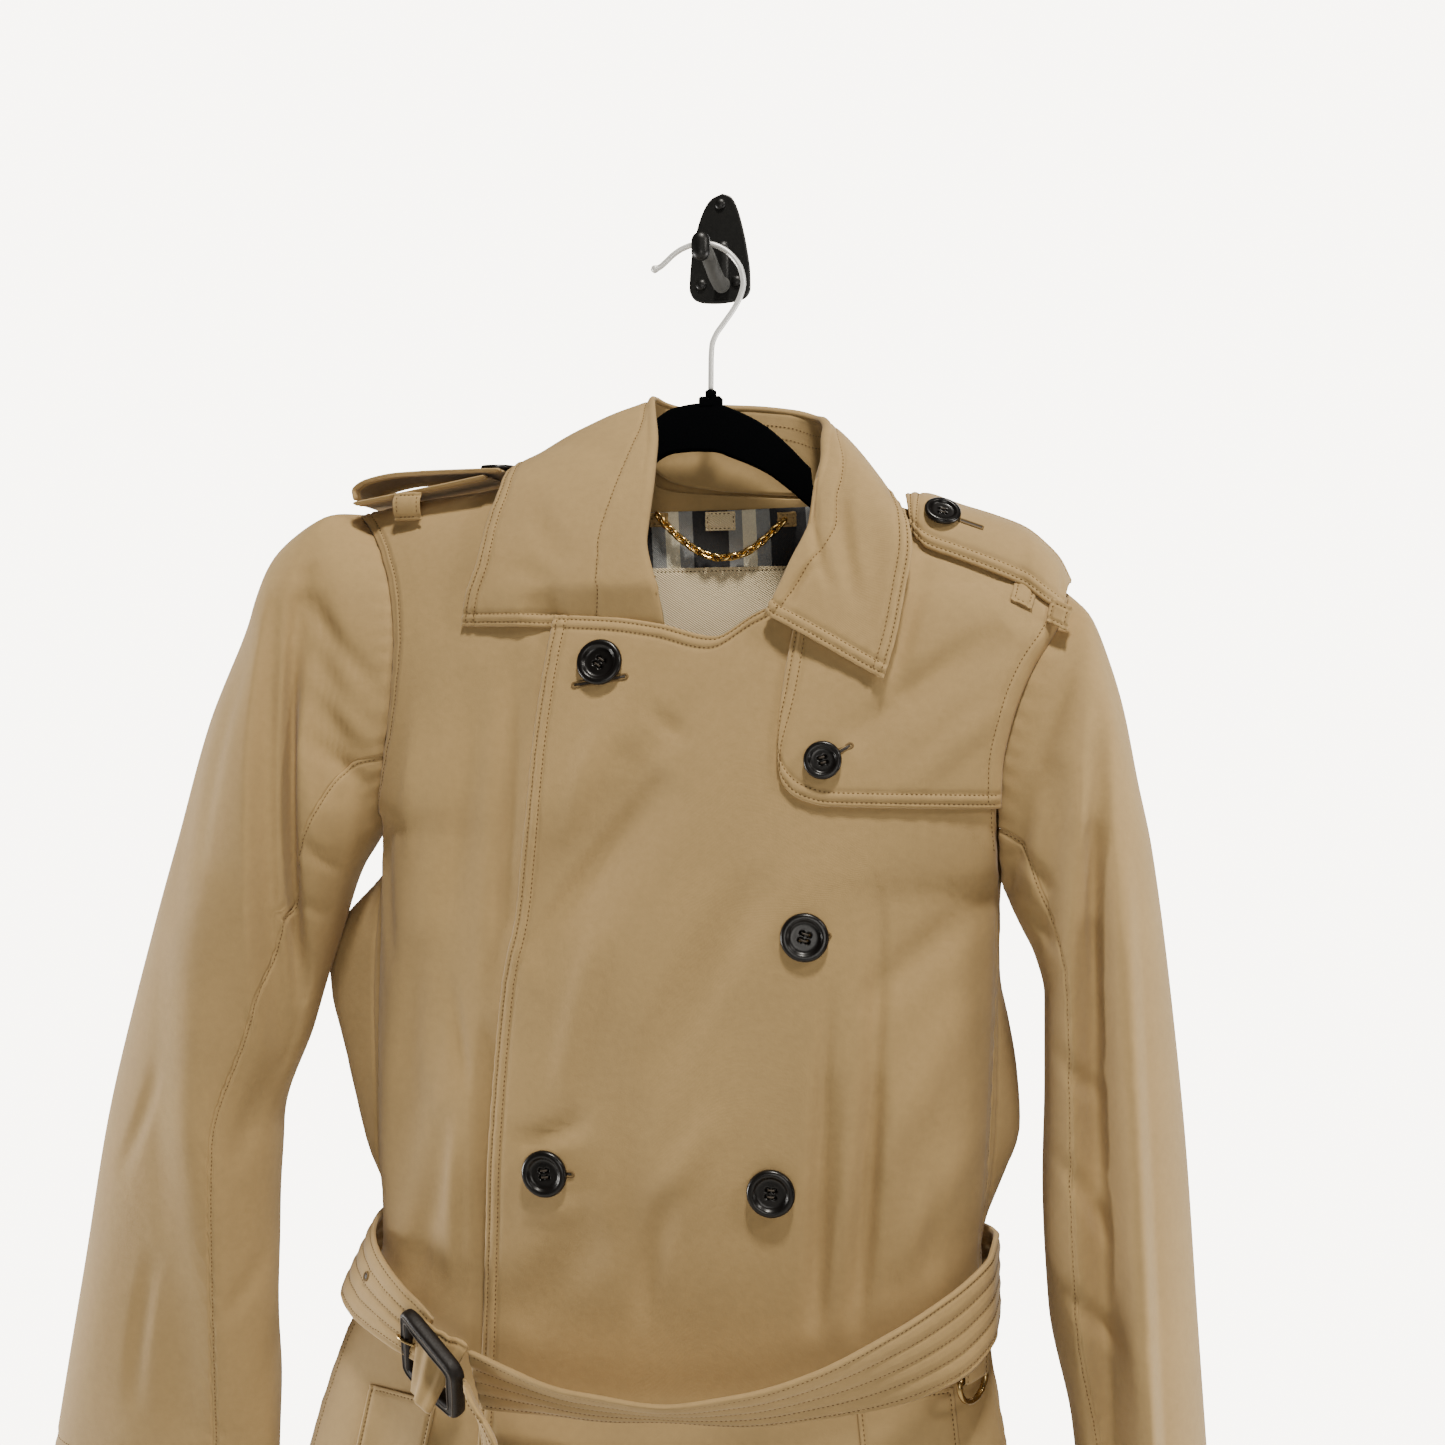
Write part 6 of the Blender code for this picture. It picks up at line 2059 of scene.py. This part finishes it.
# A button's face and side from its middle round to its back, as shares of its radius and thickness.
BUTTON_FACE = Table("r h", (0, 0.52), (0.5, 0.5), (0.62, 0.56), (0.76, 0.98), (0.88, 0.98), (0.97, 0.8))
BUTTON_SIDE = Table("r h", (1.0, 0.55), (0.985, 0.28), (0.92, 0.06), (0.7, 0.0), (0.35, 0.0))
BUTTON_WIDE = 25.4
BUTTON_THICK = 4.2
SMALL_BUTTON_WIDE = 20.0


@dataclass
class Button:
    """A four-hole button: a dished face with a rounded rim, as heights over circles and angles."""

    wardrobe: Wardrobe
    name: str
    node: str
    place: Array
    axis: Array
    wide: float
    turn: float = 0.5
    sides: int = 80
    hole: float = 0.1
    pit_reach: float = 0.048
    pit_deep: float = 0.42
    thread_radius: float = 0.55
    thread_bow: float = 0.35

    def pits(self, radii: Array, thick: float) -> Array:
        """The four round pits, as steps that ease off at their rims.

        Args:
            radii: radius of each ring.
            thick: the button's thickness.

        Returns:
            The depth for each ring and angle.
        """
        angle = np.arange(self.sides) * 2 * math.pi / self.sides
        x, y = radii[:, None] * np.cos(angle), radii[:, None] * np.sin(angle)
        hole, reach = self.hole * self.wide, self.pit_reach * self.wide
        deep = np.zeros_like(x)
        for quarter in range(4):
            at = self.turn + quarter * math.pi / 2
            off = np.hypot(x - hole * math.cos(at), y - hole * math.sin(at))
            deep += 1 / (1 + np.exp((off - reach) / (reach * 0.12))) * thick * self.pit_deep
        return deep

    def make(self) -> None:
        """Makes the button, whose face falls from the rim to a dish, and two bars of thread over its holes."""
        radius, thick = self.wide / 2, BUTTON_THICK * self.wide / BUTTON_WIDE
        face = np.concatenate([np.linspace(0.25, 4.6, 15), np.linspace(5.0, radius * 0.97, 12)])
        height = eased(BUTTON_FACE.column["r"] * radius, BUTTON_FACE.column["h"] * thick, face)
        radii = np.concatenate([[0], face, BUTTON_SIDE.column["r"] * radius, [0]])
        level = np.concatenate([height[:1], height, BUTTON_SIDE.column["h"] * thick, [0]])
        heights = level[1:-1, None] * np.ones(self.sides)
        heights[: len(face)] -= self.pits(face, thick)
        form = turned(np.stack([radii, level], axis=1), self.place, self.axis, self.sides, heights)
        self.wardrobe.put(self.name, form, Finish.BUTTON, (self.node,))
        axis = unit(np.asarray(self.axis, float))
        first, second = square_to(axis)
        share, hole = np.linspace(0, 1, 7)[:, None], self.hole * self.wide
        bars = []
        for start in (math.pi, 0.0):
            here, there = (
                self.place + first * hole * math.cos(at) + second * hole * math.sin(at) + axis * thick * 0.5
                for at in (self.turn + start, self.turn + (start + math.pi / 2))
            )
            line = here + (there - here) * share + axis * np.sin(math.pi * share) * self.thread_bow
            bars.append(tube(line, self.thread_radius, 8, flat=0.8, toward=axis))
        self.wardrobe.put(f"{self.name}_thread", as_one(bars), Finish.DARK_THREAD_AND_HOLE_SHADE)


@dataclass
class Fastenings:
    """The buttons and the buttonholes."""

    wardrobe: Wardrobe
    strap: Cloth
    proud: float = 0.7
    reach: float = 8.0
    bead_off: float = 1.3
    slit_flat: float = 0.35
    strap_row: float = 0.6
    on_fronts: tuple[tuple[str, float, float, float, float, float], ...] = (
        ("top", -46.5, -249, BUTTON_WIDE, 0, 0.2), ("waist", -72, -521, BUTTON_WIDE, 0, 0.9),
        ("chest", 67, -392, BUTTON_WIDE, 0, 0.5), ("hip", 50, -524, BUTTON_WIDE, 0, 0.7),
        ("flap", 76, -301, SMALL_BUTTON_WIDE, 3.5, 1.1),
    )
    holes: Table = Table("x0 z0 x1 z1 lift", (-60.5, -260.8, -32.5, -256.2, 0), (-72, -521, -57.5, -521, 0),
                         (76, -301, 90, -293, 3.5), (63, -393, 79, -391, 0))

    def buttons(self) -> None:
        """Each button on the cloth's form, square to it over a short reach, and one on each shoulder strap."""
        for name, x, z, wide, lift, turn in self.on_fronts:
            step = self.reach * np.array([[0, 0], [0, 1], [0, -1], [1, 0], [-1, 0]])
            y, above, below, right, left = FORM.front(x + step[:, 0], z + step[:, 1])
            axis = unit(np.array([(right - left) / (2 * self.reach), -1.0, (above - below) / (2 * self.reach)]))
            place = np.array([x, y, z]) + axis * (self.proud + lift)
            Button(self.wardrobe, f"{name}_button", f"button_{name}", place, axis, wide, turn).make()
        rows, columns = self.strap.grid.shape[:2]
        at = int(rows * self.strap_row), int(columns * 3 / 14)
        place, axis = self.strap.grid[at], self.strap.normal[at]
        for side, where, square in (
            ("left", np.array([-124, -41, -134.3]), np.array([0.02, -0.1, 1])), ("right", place + axis * 0.6, axis),
        ):
            Button(self.wardrobe, f"{side}_strap_button", f"button_strap_{side}", where, square,
                   SMALL_BUTTON_WIDE).make()

    def buttonholes(self) -> None:
        """A bead of thread round a slit, a dark bar that paints the opening's shade: the points at one distance from a
        line.
        """
        beads, slits = [], []
        turn = np.linspace(0, math.pi, 9)
        cap = np.stack([np.sin(turn), np.cos(turn)], axis=1) * self.bead_off
        for x0, z0, x1, z1, lift in self.holes.points("x0 z0 x1 z1 lift"):
            along = unit(np.array([x1 - x0, z1 - z0]))
            flat = np.concatenate([cap + [math.hypot(x1 - x0, z1 - z0), 0], -cap])
            where = np.array([x0, z0]) + flat[:, :1] * along + flat[:, 1:] * np.array([-along[1], along[0]])
            beads.append(tube(before_front(where, lift + 0.2), 0.65, 8, closed=True, flat=0.8))
            line = np.linspace([x0, z0], [x1, z1], 8)
            slits.append(tube(before_front(line, lift + 0.12), 0.75, 8, flat=self.slit_flat))
        rows, columns = self.strap.grid.shape[:2]
        row, held = int(rows * self.strap_row), slice(int(columns * 0.31), int(columns * 0.44))
        line, out = self.strap.grid[row, held], self.strap.normal[row, held]
        beside = unit(np.cross(out, np.gradient(line, axis=0))) * 1.2
        loop = np.concatenate([line + beside, (line - beside)[::-1]])
        square = out.mean(axis=0)
        beads.append(tube(loop + square * 0.2, 0.6, 8, closed=True, flat=0.8, toward=square))
        slits.append(tube(line + out * 0.15, 0.7, 8, flat=self.slit_flat, toward=square))
        self.wardrobe.put("buttonhole_beads", as_one(beads), Finish.THREAD_WITH_PAINTED_SHADE)
        # The slits are dark bars on the cloth: painted shade of the buttonholes' openings.
        self.wardrobe.put("buttonhole_slit_shade", as_one(slits), Finish.DARK_THREAD_AND_HOLE_SHADE)

    def make(self) -> None:
        """Makes buttons and buttonholes."""
        self.buttons()
        self.buttonholes()


@dataclass
class ShoulderStraps:
    """The shoulder straps and the tabs that hold them down."""

    wardrobe: Wardrobe
    far_y: float = -33.0
    lift: float = 8.8
    keeper_reach: float = 186.0
    keepers_right: tuple[tuple[str, float, float], ...] = (("inner", 176.0, -216.5), ("outer", 192.5, -227.0))
    depths: Pair = (-18.0, -60.0)

    def left(self) -> None:
        """The left strap stands clear as an open loop of two pieces."""
        x = np.array([-206, -185, -165, -145, -126.0])
        low = np.stack([x, SHOULDERS.read("x", "z", x) + 2.8], axis=1)
        y = np.linspace(*self.depths, 36)
        for name, node, route in (("strap_left", "epaulette_left", LEFT_STRAP.points("x z")),
                                  ("strap_left_low", "epaulette_left_under", low)):
            line = through(route, 110)
            bow = 0.6 * np.sin(math.pi * np.linspace(0, 1, 36))
            grid = np.stack(np.broadcast_arrays(line[:, :1], y[None], line[:, 1:] + bow), axis=-1)
            cloth = Cloth(name, fine(grid, 24, 60, "lrtf"), UP)
            self.wardrobe.sew(cloth, node, rows_along(UPRIGHTS, *EDGE_ROWS),
                              rests_on=["upper_sleeve_left", "under_front"])

    def right(self) -> Cloth:
        """The right strap lies over the shoulder: a quadratic curve from its far to its near edge.

        Returns:
            The strap's cloth.
        """
        station = np.linspace(0, 1, len(RIGHT_STRAP.column["far_x"]))
        edges = eased(station, RIGHT_STRAP.points("far_x far_z near_x near_z"), np.linspace(0, 1, 120))
        far_x, far_z, near_x, near_z = edges.T
        coarse = np.linspace(0, 1, 15)
        place = eased(station, RIGHT_STRAP.points("near_x near_z"), coarse)
        near_y = eased(coarse, FORM.front(place[:, 0], place[:, 1]), np.linspace(0, 1, 120)) - self.lift
        far = np.stack([far_x, np.full(120, self.far_y), far_z], axis=-1)
        near = np.stack([near_x, near_y, near_z], axis=-1)
        crest = np.stack([(far_x + near_x) / 2, near_y + 5, far_z - 2], axis=-1)
        share = np.linspace(0, 1, 60)[:, None, None]
        grid = fine(quadratic(far, crest, near, share), 70, 34, "lrtf")
        cloth = Cloth("strap_right", grid, grid - NECK)
        rows = rows_along((Side.FOOT, Side.TOP, Side.LEFT), *EDGE_ROWS)
        return self.wardrobe.sew(cloth, "epaulette_right", rows, rests_on=["chest_flap", "coat_back"])

    def keepers(self) -> None:
        """Tabs across the straps: one before the left strap, two below the right one."""
        route = np.array([(-0.4, 7.5), (1.6, 1.0), (-0.4, -8.0)])
        grid = strip_grid(np.array([-171.5, -62.6, -156.0]), np.array([1.0, 0, 0]), VIEWER, UP, 15.0, route)
        pieces = [("keeper_left", "strap_keeper_left", grid, "under_front")]
        for name, x, z in self.keepers_right:
            across, down = np.meshgrid(np.linspace(-5, 5, 16), np.linspace(5.5, -4.5, 18))
            across, down = x + across * 0.92 + down * 0.25, z + down - across * 0.45
            held = np.minimum(across, self.keeper_reach)
            lift = 6.4 - 1.6 * np.cos(np.linspace(-1.2, 1.2, 18))[:, None]
            past = (across - held)[..., None] * np.array([1.0, -0.4, 0.0])
            grid = on_front(held, down, lift[..., None]) + past
            pieces.append((f"keeper_{name}", f"strap_keeper_right_{name}", grid, "chest_flap"))
        for name, node, grid, below in pieces:
            self.wardrobe.sew(Cloth(name, grid, VIEWER, 1.8), node, rows_along(ALL_ROUND, 1.5), rests_on=[below])

    def make(self) -> Cloth:
        """Makes the straps.

        Returns:
            The right strap's cloth.
        """
        self.left()
        self.keepers()
        return self.right()


def rounded_slab(outline: Array, y: float, thick: float, rounding: float) -> Form:
    """A flat plate whose outline draws in by a quarter circle at each face.

    Args:
        outline: x and z round the plate.
        y: its front face.
        thick: its thickness, away from the viewer.
        rounding: radius of its edges.

    Returns:
        The closed form.
    """
    outline = np.asarray(outline, float)
    along = unit(np.roll(outline, -1, axis=0) - np.roll(outline, 1, axis=0))
    inward = np.stack([-along[:, 1], along[:, 0]], axis=1)
    area = (outline[:, 0] * np.roll(outline[:, 1], -1) - outline[:, 1] * np.roll(outline[:, 0], -1)).sum()
    inward *= 1 if area > 0 else -1
    turn = np.radians(np.linspace(0, 90, 7))
    draw = rounding * (1 - np.sin(turn))
    deep = rounding * (1 - np.cos(turn))
    draws = np.concatenate([[rounding * 1.5], draw, draw[::-1], [rounding * 1.5]])
    depths = np.concatenate([[0], deep, thick - deep[::-1], [thick]])
    flat = outline + inward * draws[:, None, None]
    points = np.stack([flat[..., 0], np.broadcast_to(y + depths[:, None], flat.shape[:2]), flat[..., 1]], axis=-1)
    count = len(outline)
    last = np.arange(count) + count * (len(draws) - 1)
    return Form(points.reshape(-1, 3), [strip(len(draws), count, True), np.arange(count)[None], last[None, ::-1]])


def pill(radius: float, half: float, sides: int) -> Form:
    """An upright round bar about the origin, from -half to half, closed by a half ball at each end.

    Args:
        radius: of the bar.
        half: half the length between the balls' middles.
        sides: points round it.

    Returns:
        The closed form.
    """
    turn = np.radians(np.linspace(-90, 90, 20))
    profile = np.stack([radius * np.cos(turn), radius * np.sin(turn) + np.where(turn > 0, half, -half)], axis=1)
    return turned(profile, np.zeros(3), UP, sides)


@dataclass
class Hanger:
    """A thin flocked hanger with a hook of bright wire."""

    wardrobe: Wardrobe
    wire_radius: float = 1.6
    wire_y: float = -33.0
    body_y: float = -36.0
    thick: float = 6.0
    cloth: float = 2.0
    deep: float = 13.0
    belly: Triple = (15.0, 10.0, 75.0)
    ball: Triple = (0.45, 2.2, 1.5)

    def top(self, x: Array) -> Array:
        """Its upper edge: an arch in the neck, and then just under the shoulders.

        Args:
            x: how far right.

        Returns:
            Its height at each place.
        """
        under = SHOULDERS.read("x", "z", x) - self.cloth - 5
        arch = HANGER_ARCH.column["x"]
        inside = np.minimum(HANGER_ARCH.read("x", "z", x), np.where(x > 60, under, 0))
        return np.where((x > arch[0]) & (x < arch[-1]), inside, under)

    def bar(self, soft: float = 2.0) -> Form:
        """The bar: at each x a rounded oblong between its upper and lower edge.

        Args:
            soft: radius of its edges.

        Returns:
            The closed form.
        """
        x = np.concatenate([np.linspace(-196, -62, 60), np.linspace(-60, 96, 150), np.linspace(98, 176, 40)])
        top = self.top(x)
        more, middle, wide = self.belly
        low = top - self.deep - more * np.exp(-(((x - middle) / wide) ** 2))
        turn = np.radians(np.concatenate([np.linspace(k, k + 90, 6) for k in (0, 90, 180, 270)]))
        side = np.where(np.cos(turn + math.radians(0.1)) > 0, 1, -1) * (self.thick / 2 - soft)
        y = self.body_y + np.repeat([1, -1, -1, 1], 6) * abs(side) + soft * np.cos(turn)
        above = np.repeat([True, True, False, False], 6)
        z = np.where(above, top[:, None] - soft, low[:, None] + soft) + soft * np.sin(turn)
        points = np.stack(np.broadcast_arrays(x[:, None], y, z), axis=-1)
        count, around = points.shape[:2]
        first = np.arange(around)
        caps = [first[None, ::-1], first[None] + (count - 1) * around]
        return Form(points.reshape(-1, 3), [strip(count, around, True), *caps])

    def make(self) -> None:
        """Makes the body with its neck, and the wire."""
        front = self.body_y - self.thick / 2
        block = rounded_slab(np.array([(-4.5, -102), (8.5, -102), (8.5, -96.6), (7.6, -95.6), (-3.6, -95.6),
                                       (-4.5, -96.6)], float), front, self.thick, 0.5)
        collar = turned(((0, -97), (3.2, -97), (3.2, -92.4), (2.7, -91.9), (0, -91.9)),
                        np.array([2.0, self.body_y, 0.0]), UP, 24)
        self.wardrobe.put("flocked_hanger", as_one((self.bar(), block, collar)), Finish.FLOCK, ("hanger_body",))
        x, z = HOOK_WIRE.column["x"], HOOK_WIRE.column["z"]
        y = self.wire_y + (self.body_y - self.wire_y) * np.clip((-40 - z) / 45, 0, 1)
        line = through(np.stack([x, y, z], axis=1), 120)
        run = run_of(line)
        more, middle, wide = self.ball
        ball = 1 + more * np.exp(-(((run - middle) / wide) ** 2))
        radius = self.wire_radius * ball * np.sqrt(np.clip(run / 1.2, 0.05, 1))
        self.wardrobe.put("hook_wire", tube(line, radius, 16), Finish.CHROME, ("hanger_wire",))


@dataclass
class WallHook:
    """A cast wall hook: plate, rib, arm and tip, with three round-headed screws."""

    wardrobe: Wardrobe
    outline: tuple[Pair, ...] = (
        (1.6, 31.5), (6.6, 29.5), (9.8, 24.4), (13.6, 11.9), (16.5, -2.4), (18.2, -15.6), (18.4, -25), (15.5, -30.5),
        (8, -32.6), (-0.2, -33.2), (-9, -32.6), (-15.8, -30), (-18.4, -23.8), (-17.4, -7.8), (-14.3, 9), (-9.4, 22.9),
        (-4.6, 29), (1.6, 31.5),
    )
    thick: float = 3.5
    arm: tuple[Triple, ...] = ((2, -2.5, -22), (2.5, -12, -25), (2, -22, -23), (0, -33, -15.2), (-1.5, -42, -10))
    arm_radii: Pair = (4.5, 4.2)
    head: tuple[Pair, ...] = (
        (0, 1.9), (0.8, 1.87), (1.6, 1.7), (2.3, 1.4), (2.9, 1.0), (3.2, 0.5), (3.3, 0), (2.6, -0.4), (0, -0.4),
    )
    screws: tuple[tuple[str, float, float], ...] = (("top", 0.5, 25), ("left", -11, -22), ("right", 10.2, -21))

    def make(self) -> None:
        """Makes plate, rib and tip as one piece, the worn arm between them, and the screws."""
        outline = through(self.outline, 90)[:-1]
        plate = rounded_slab(outline, -self.thick, self.thick, 1.0)
        rib = pill(4.3, 9.5, 28)
        rib.points = rib.points * [1, 0.75, 1] + [2, -3.0, -10.5]
        arm = tube(through(self.arm, 40), np.linspace(*self.arm_radii, 40), 20)
        tip = pill(5.4, 2.9, 28)
        tip.points = tip.points * [1, 0.85, 1] + [-2, -44.5, -12]
        self.wardrobe.put("cast_hook", as_one((plate, rib, tip)), Finish.ENAMEL, ("wall_hook",))
        self.wardrobe.put("hook_arm", arm, Finish.WORN_ENAMEL)
        for name, x, z in self.screws:
            form = turned(self.head, np.array([x, -self.thick - 0.1, z]), VIEWER, 28)
            self.wardrobe.put(f"{name}_screw", form, Finish.ENAMEL, (f"screw_{name}",))


@dataclass
class Studio:
    """Camera, floor and soft light, in metres."""

    eye: Triple = (0.192, -0.898, -0.281)
    turn: float = 12.0
    view: float = 50.0
    floor_x: Pair = (-2.2, 2.2)
    floor_y: Pair = (-2.5, 1.4)
    floor_z: float = -1.72
    chest: Triple = (0.0, -0.05, -0.4)
    sky_color: Triple = (1.0, 0.95, 0.86)
    sky_seen: float = 8.0
    sky_felt: float = 0.05

    def camera(self) -> None:
        """A level camera, turned a little to the left."""
        data = bpy.data.cameras.new("view")
        data.angle = math.radians(self.view)
        data.clip_start = 0.01
        camera = placed("view", data)
        camera.location = self.eye
        camera.rotation_euler = (math.radians(90), 0, math.radians(self.turn))
        bpy.context.scene.camera = camera

    def floor(self) -> None:
        """A pale floor."""
        x, y = np.meshgrid(np.linspace(*self.floor_x, 5), np.linspace(*self.floor_y, 5))
        grid = np.stack([x, y, np.full_like(x, self.floor_z)], axis=-1)
        finish = Plain("pale floor", (0.8, 0.79, 0.76), 0.8, grain=40.0, uneven=0.03)
        mesh = bpy.data.meshes.new("floor")
        mesh.from_pydata(grid.reshape(-1, 3).tolist(), [], strip(5, 5)[:, ::-1].tolist())
        mesh.materials.append(finish.material())
        placed("floor", mesh)

    def sky(self) -> None:
        """A pale sky, seen bright and felt softly: its strength as seen differs from its strength as light."""
        world = bpy.data.worlds.new("sky")
        world.use_nodes = True
        tree = world.node_tree
        seen, felt = tree.nodes["Background"], tree.nodes.new("ShaderNodeBackground")
        for back, strength in ((seen, self.sky_seen), (felt, self.sky_felt)):
            back.inputs["Color"].default_value = (*self.sky_color, 1.0)
            back.inputs["Strength"].default_value = strength
        path, mix = tree.nodes.new("ShaderNodeLightPath"), tree.nodes.new("ShaderNodeMixShader")
        tree.links.new(path.outputs["Is Camera Ray"], mix.inputs[0])
        tree.links.new(felt.outputs[0], mix.inputs[1])
        tree.links.new(seen.outputs[0], mix.inputs[2])
        tree.links.new(mix.outputs[0], tree.nodes["World Output"].inputs[0])
        bpy.context.scene.world = world

    def lamps(self) -> None:
        """Large soft lamps aimed at the chest."""
        for name, place, size, power, color in (
            ("above", (0.5, -1.3, 2.6), 0.45, 126.0, (1.0, 0.95, 0.87)),
            ("right_above", (1.6, -0.8, 0.7), 0.4, 12.0, (1.0, 0.95, 0.88)),
            ("front", (0.5, -2.3, -0.5), 1.0, 14.0, (1.0, 0.96, 0.9)),
            ("left_low", (-2.2, -0.2, -0.85), 0.8, 58.0, (1.0, 0.97, 0.93)),
            ("right_low", (2.2, 0.1, -0.9), 0.9, 40.0, (1.0, 0.97, 0.93)),
            ("rear", (0.3, 1.8, 0.4), 1.6, 22.0, (1.0, 0.98, 0.95)),
        ):
            data = bpy.data.lights.new(name, "AREA")
            data.shape, data.size, data.energy, data.color = "DISK", size, power, color
            lamp = placed(name, data)
            lamp.location = place
            way = np.subtract(self.chest, place)
            level = math.hypot(way[0], way[1])
            lamp.rotation_euler = (math.atan2(level, -way[2]), 0, math.atan2(-way[0], way[1]))

    def make(self) -> None:
        """Sets up the studio."""
        self.camera()
        self.floor()
        self.sky()
        self.lamps()


def main() -> None:
    """Loads the frame, sets up the studio and makes every sub-assembly in order."""
    logging.basicConfig(level=logging.INFO, format="%(name)s: %(message)s")
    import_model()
    wardrobe = Wardrobe()
    Studio().make()
    for part in (WallHook, Hanger, Body):
        part(wardrobe).make()
    for sleeve in (
        ("left", LEFT_SIDE, FORM.left_armhole, LEFT_RINGS, -1, LEFT_SLEEVE_FOLDS, LEFT_SLEEVE_CREASES, 31),
        ("right", RIGHT_SIDE, FORM.right_armhole, RIGHT_RINGS, 1, RIGHT_SLEEVE_FOLDS, RIGHT_SLEEVE_CREASES, 32),
    ):
        Sleeve(wardrobe, *sleeve).make()
    for part in (Collar, Neck, Belt, Buckle, Ring):
        part(wardrobe).make()
    strap = ShoulderStraps(wardrobe).make()
    Fastenings(wardrobe, strap).make()
    log.info("%d pieces made", len(wardrobe.names))


if __name__ == "__main__":
    main()
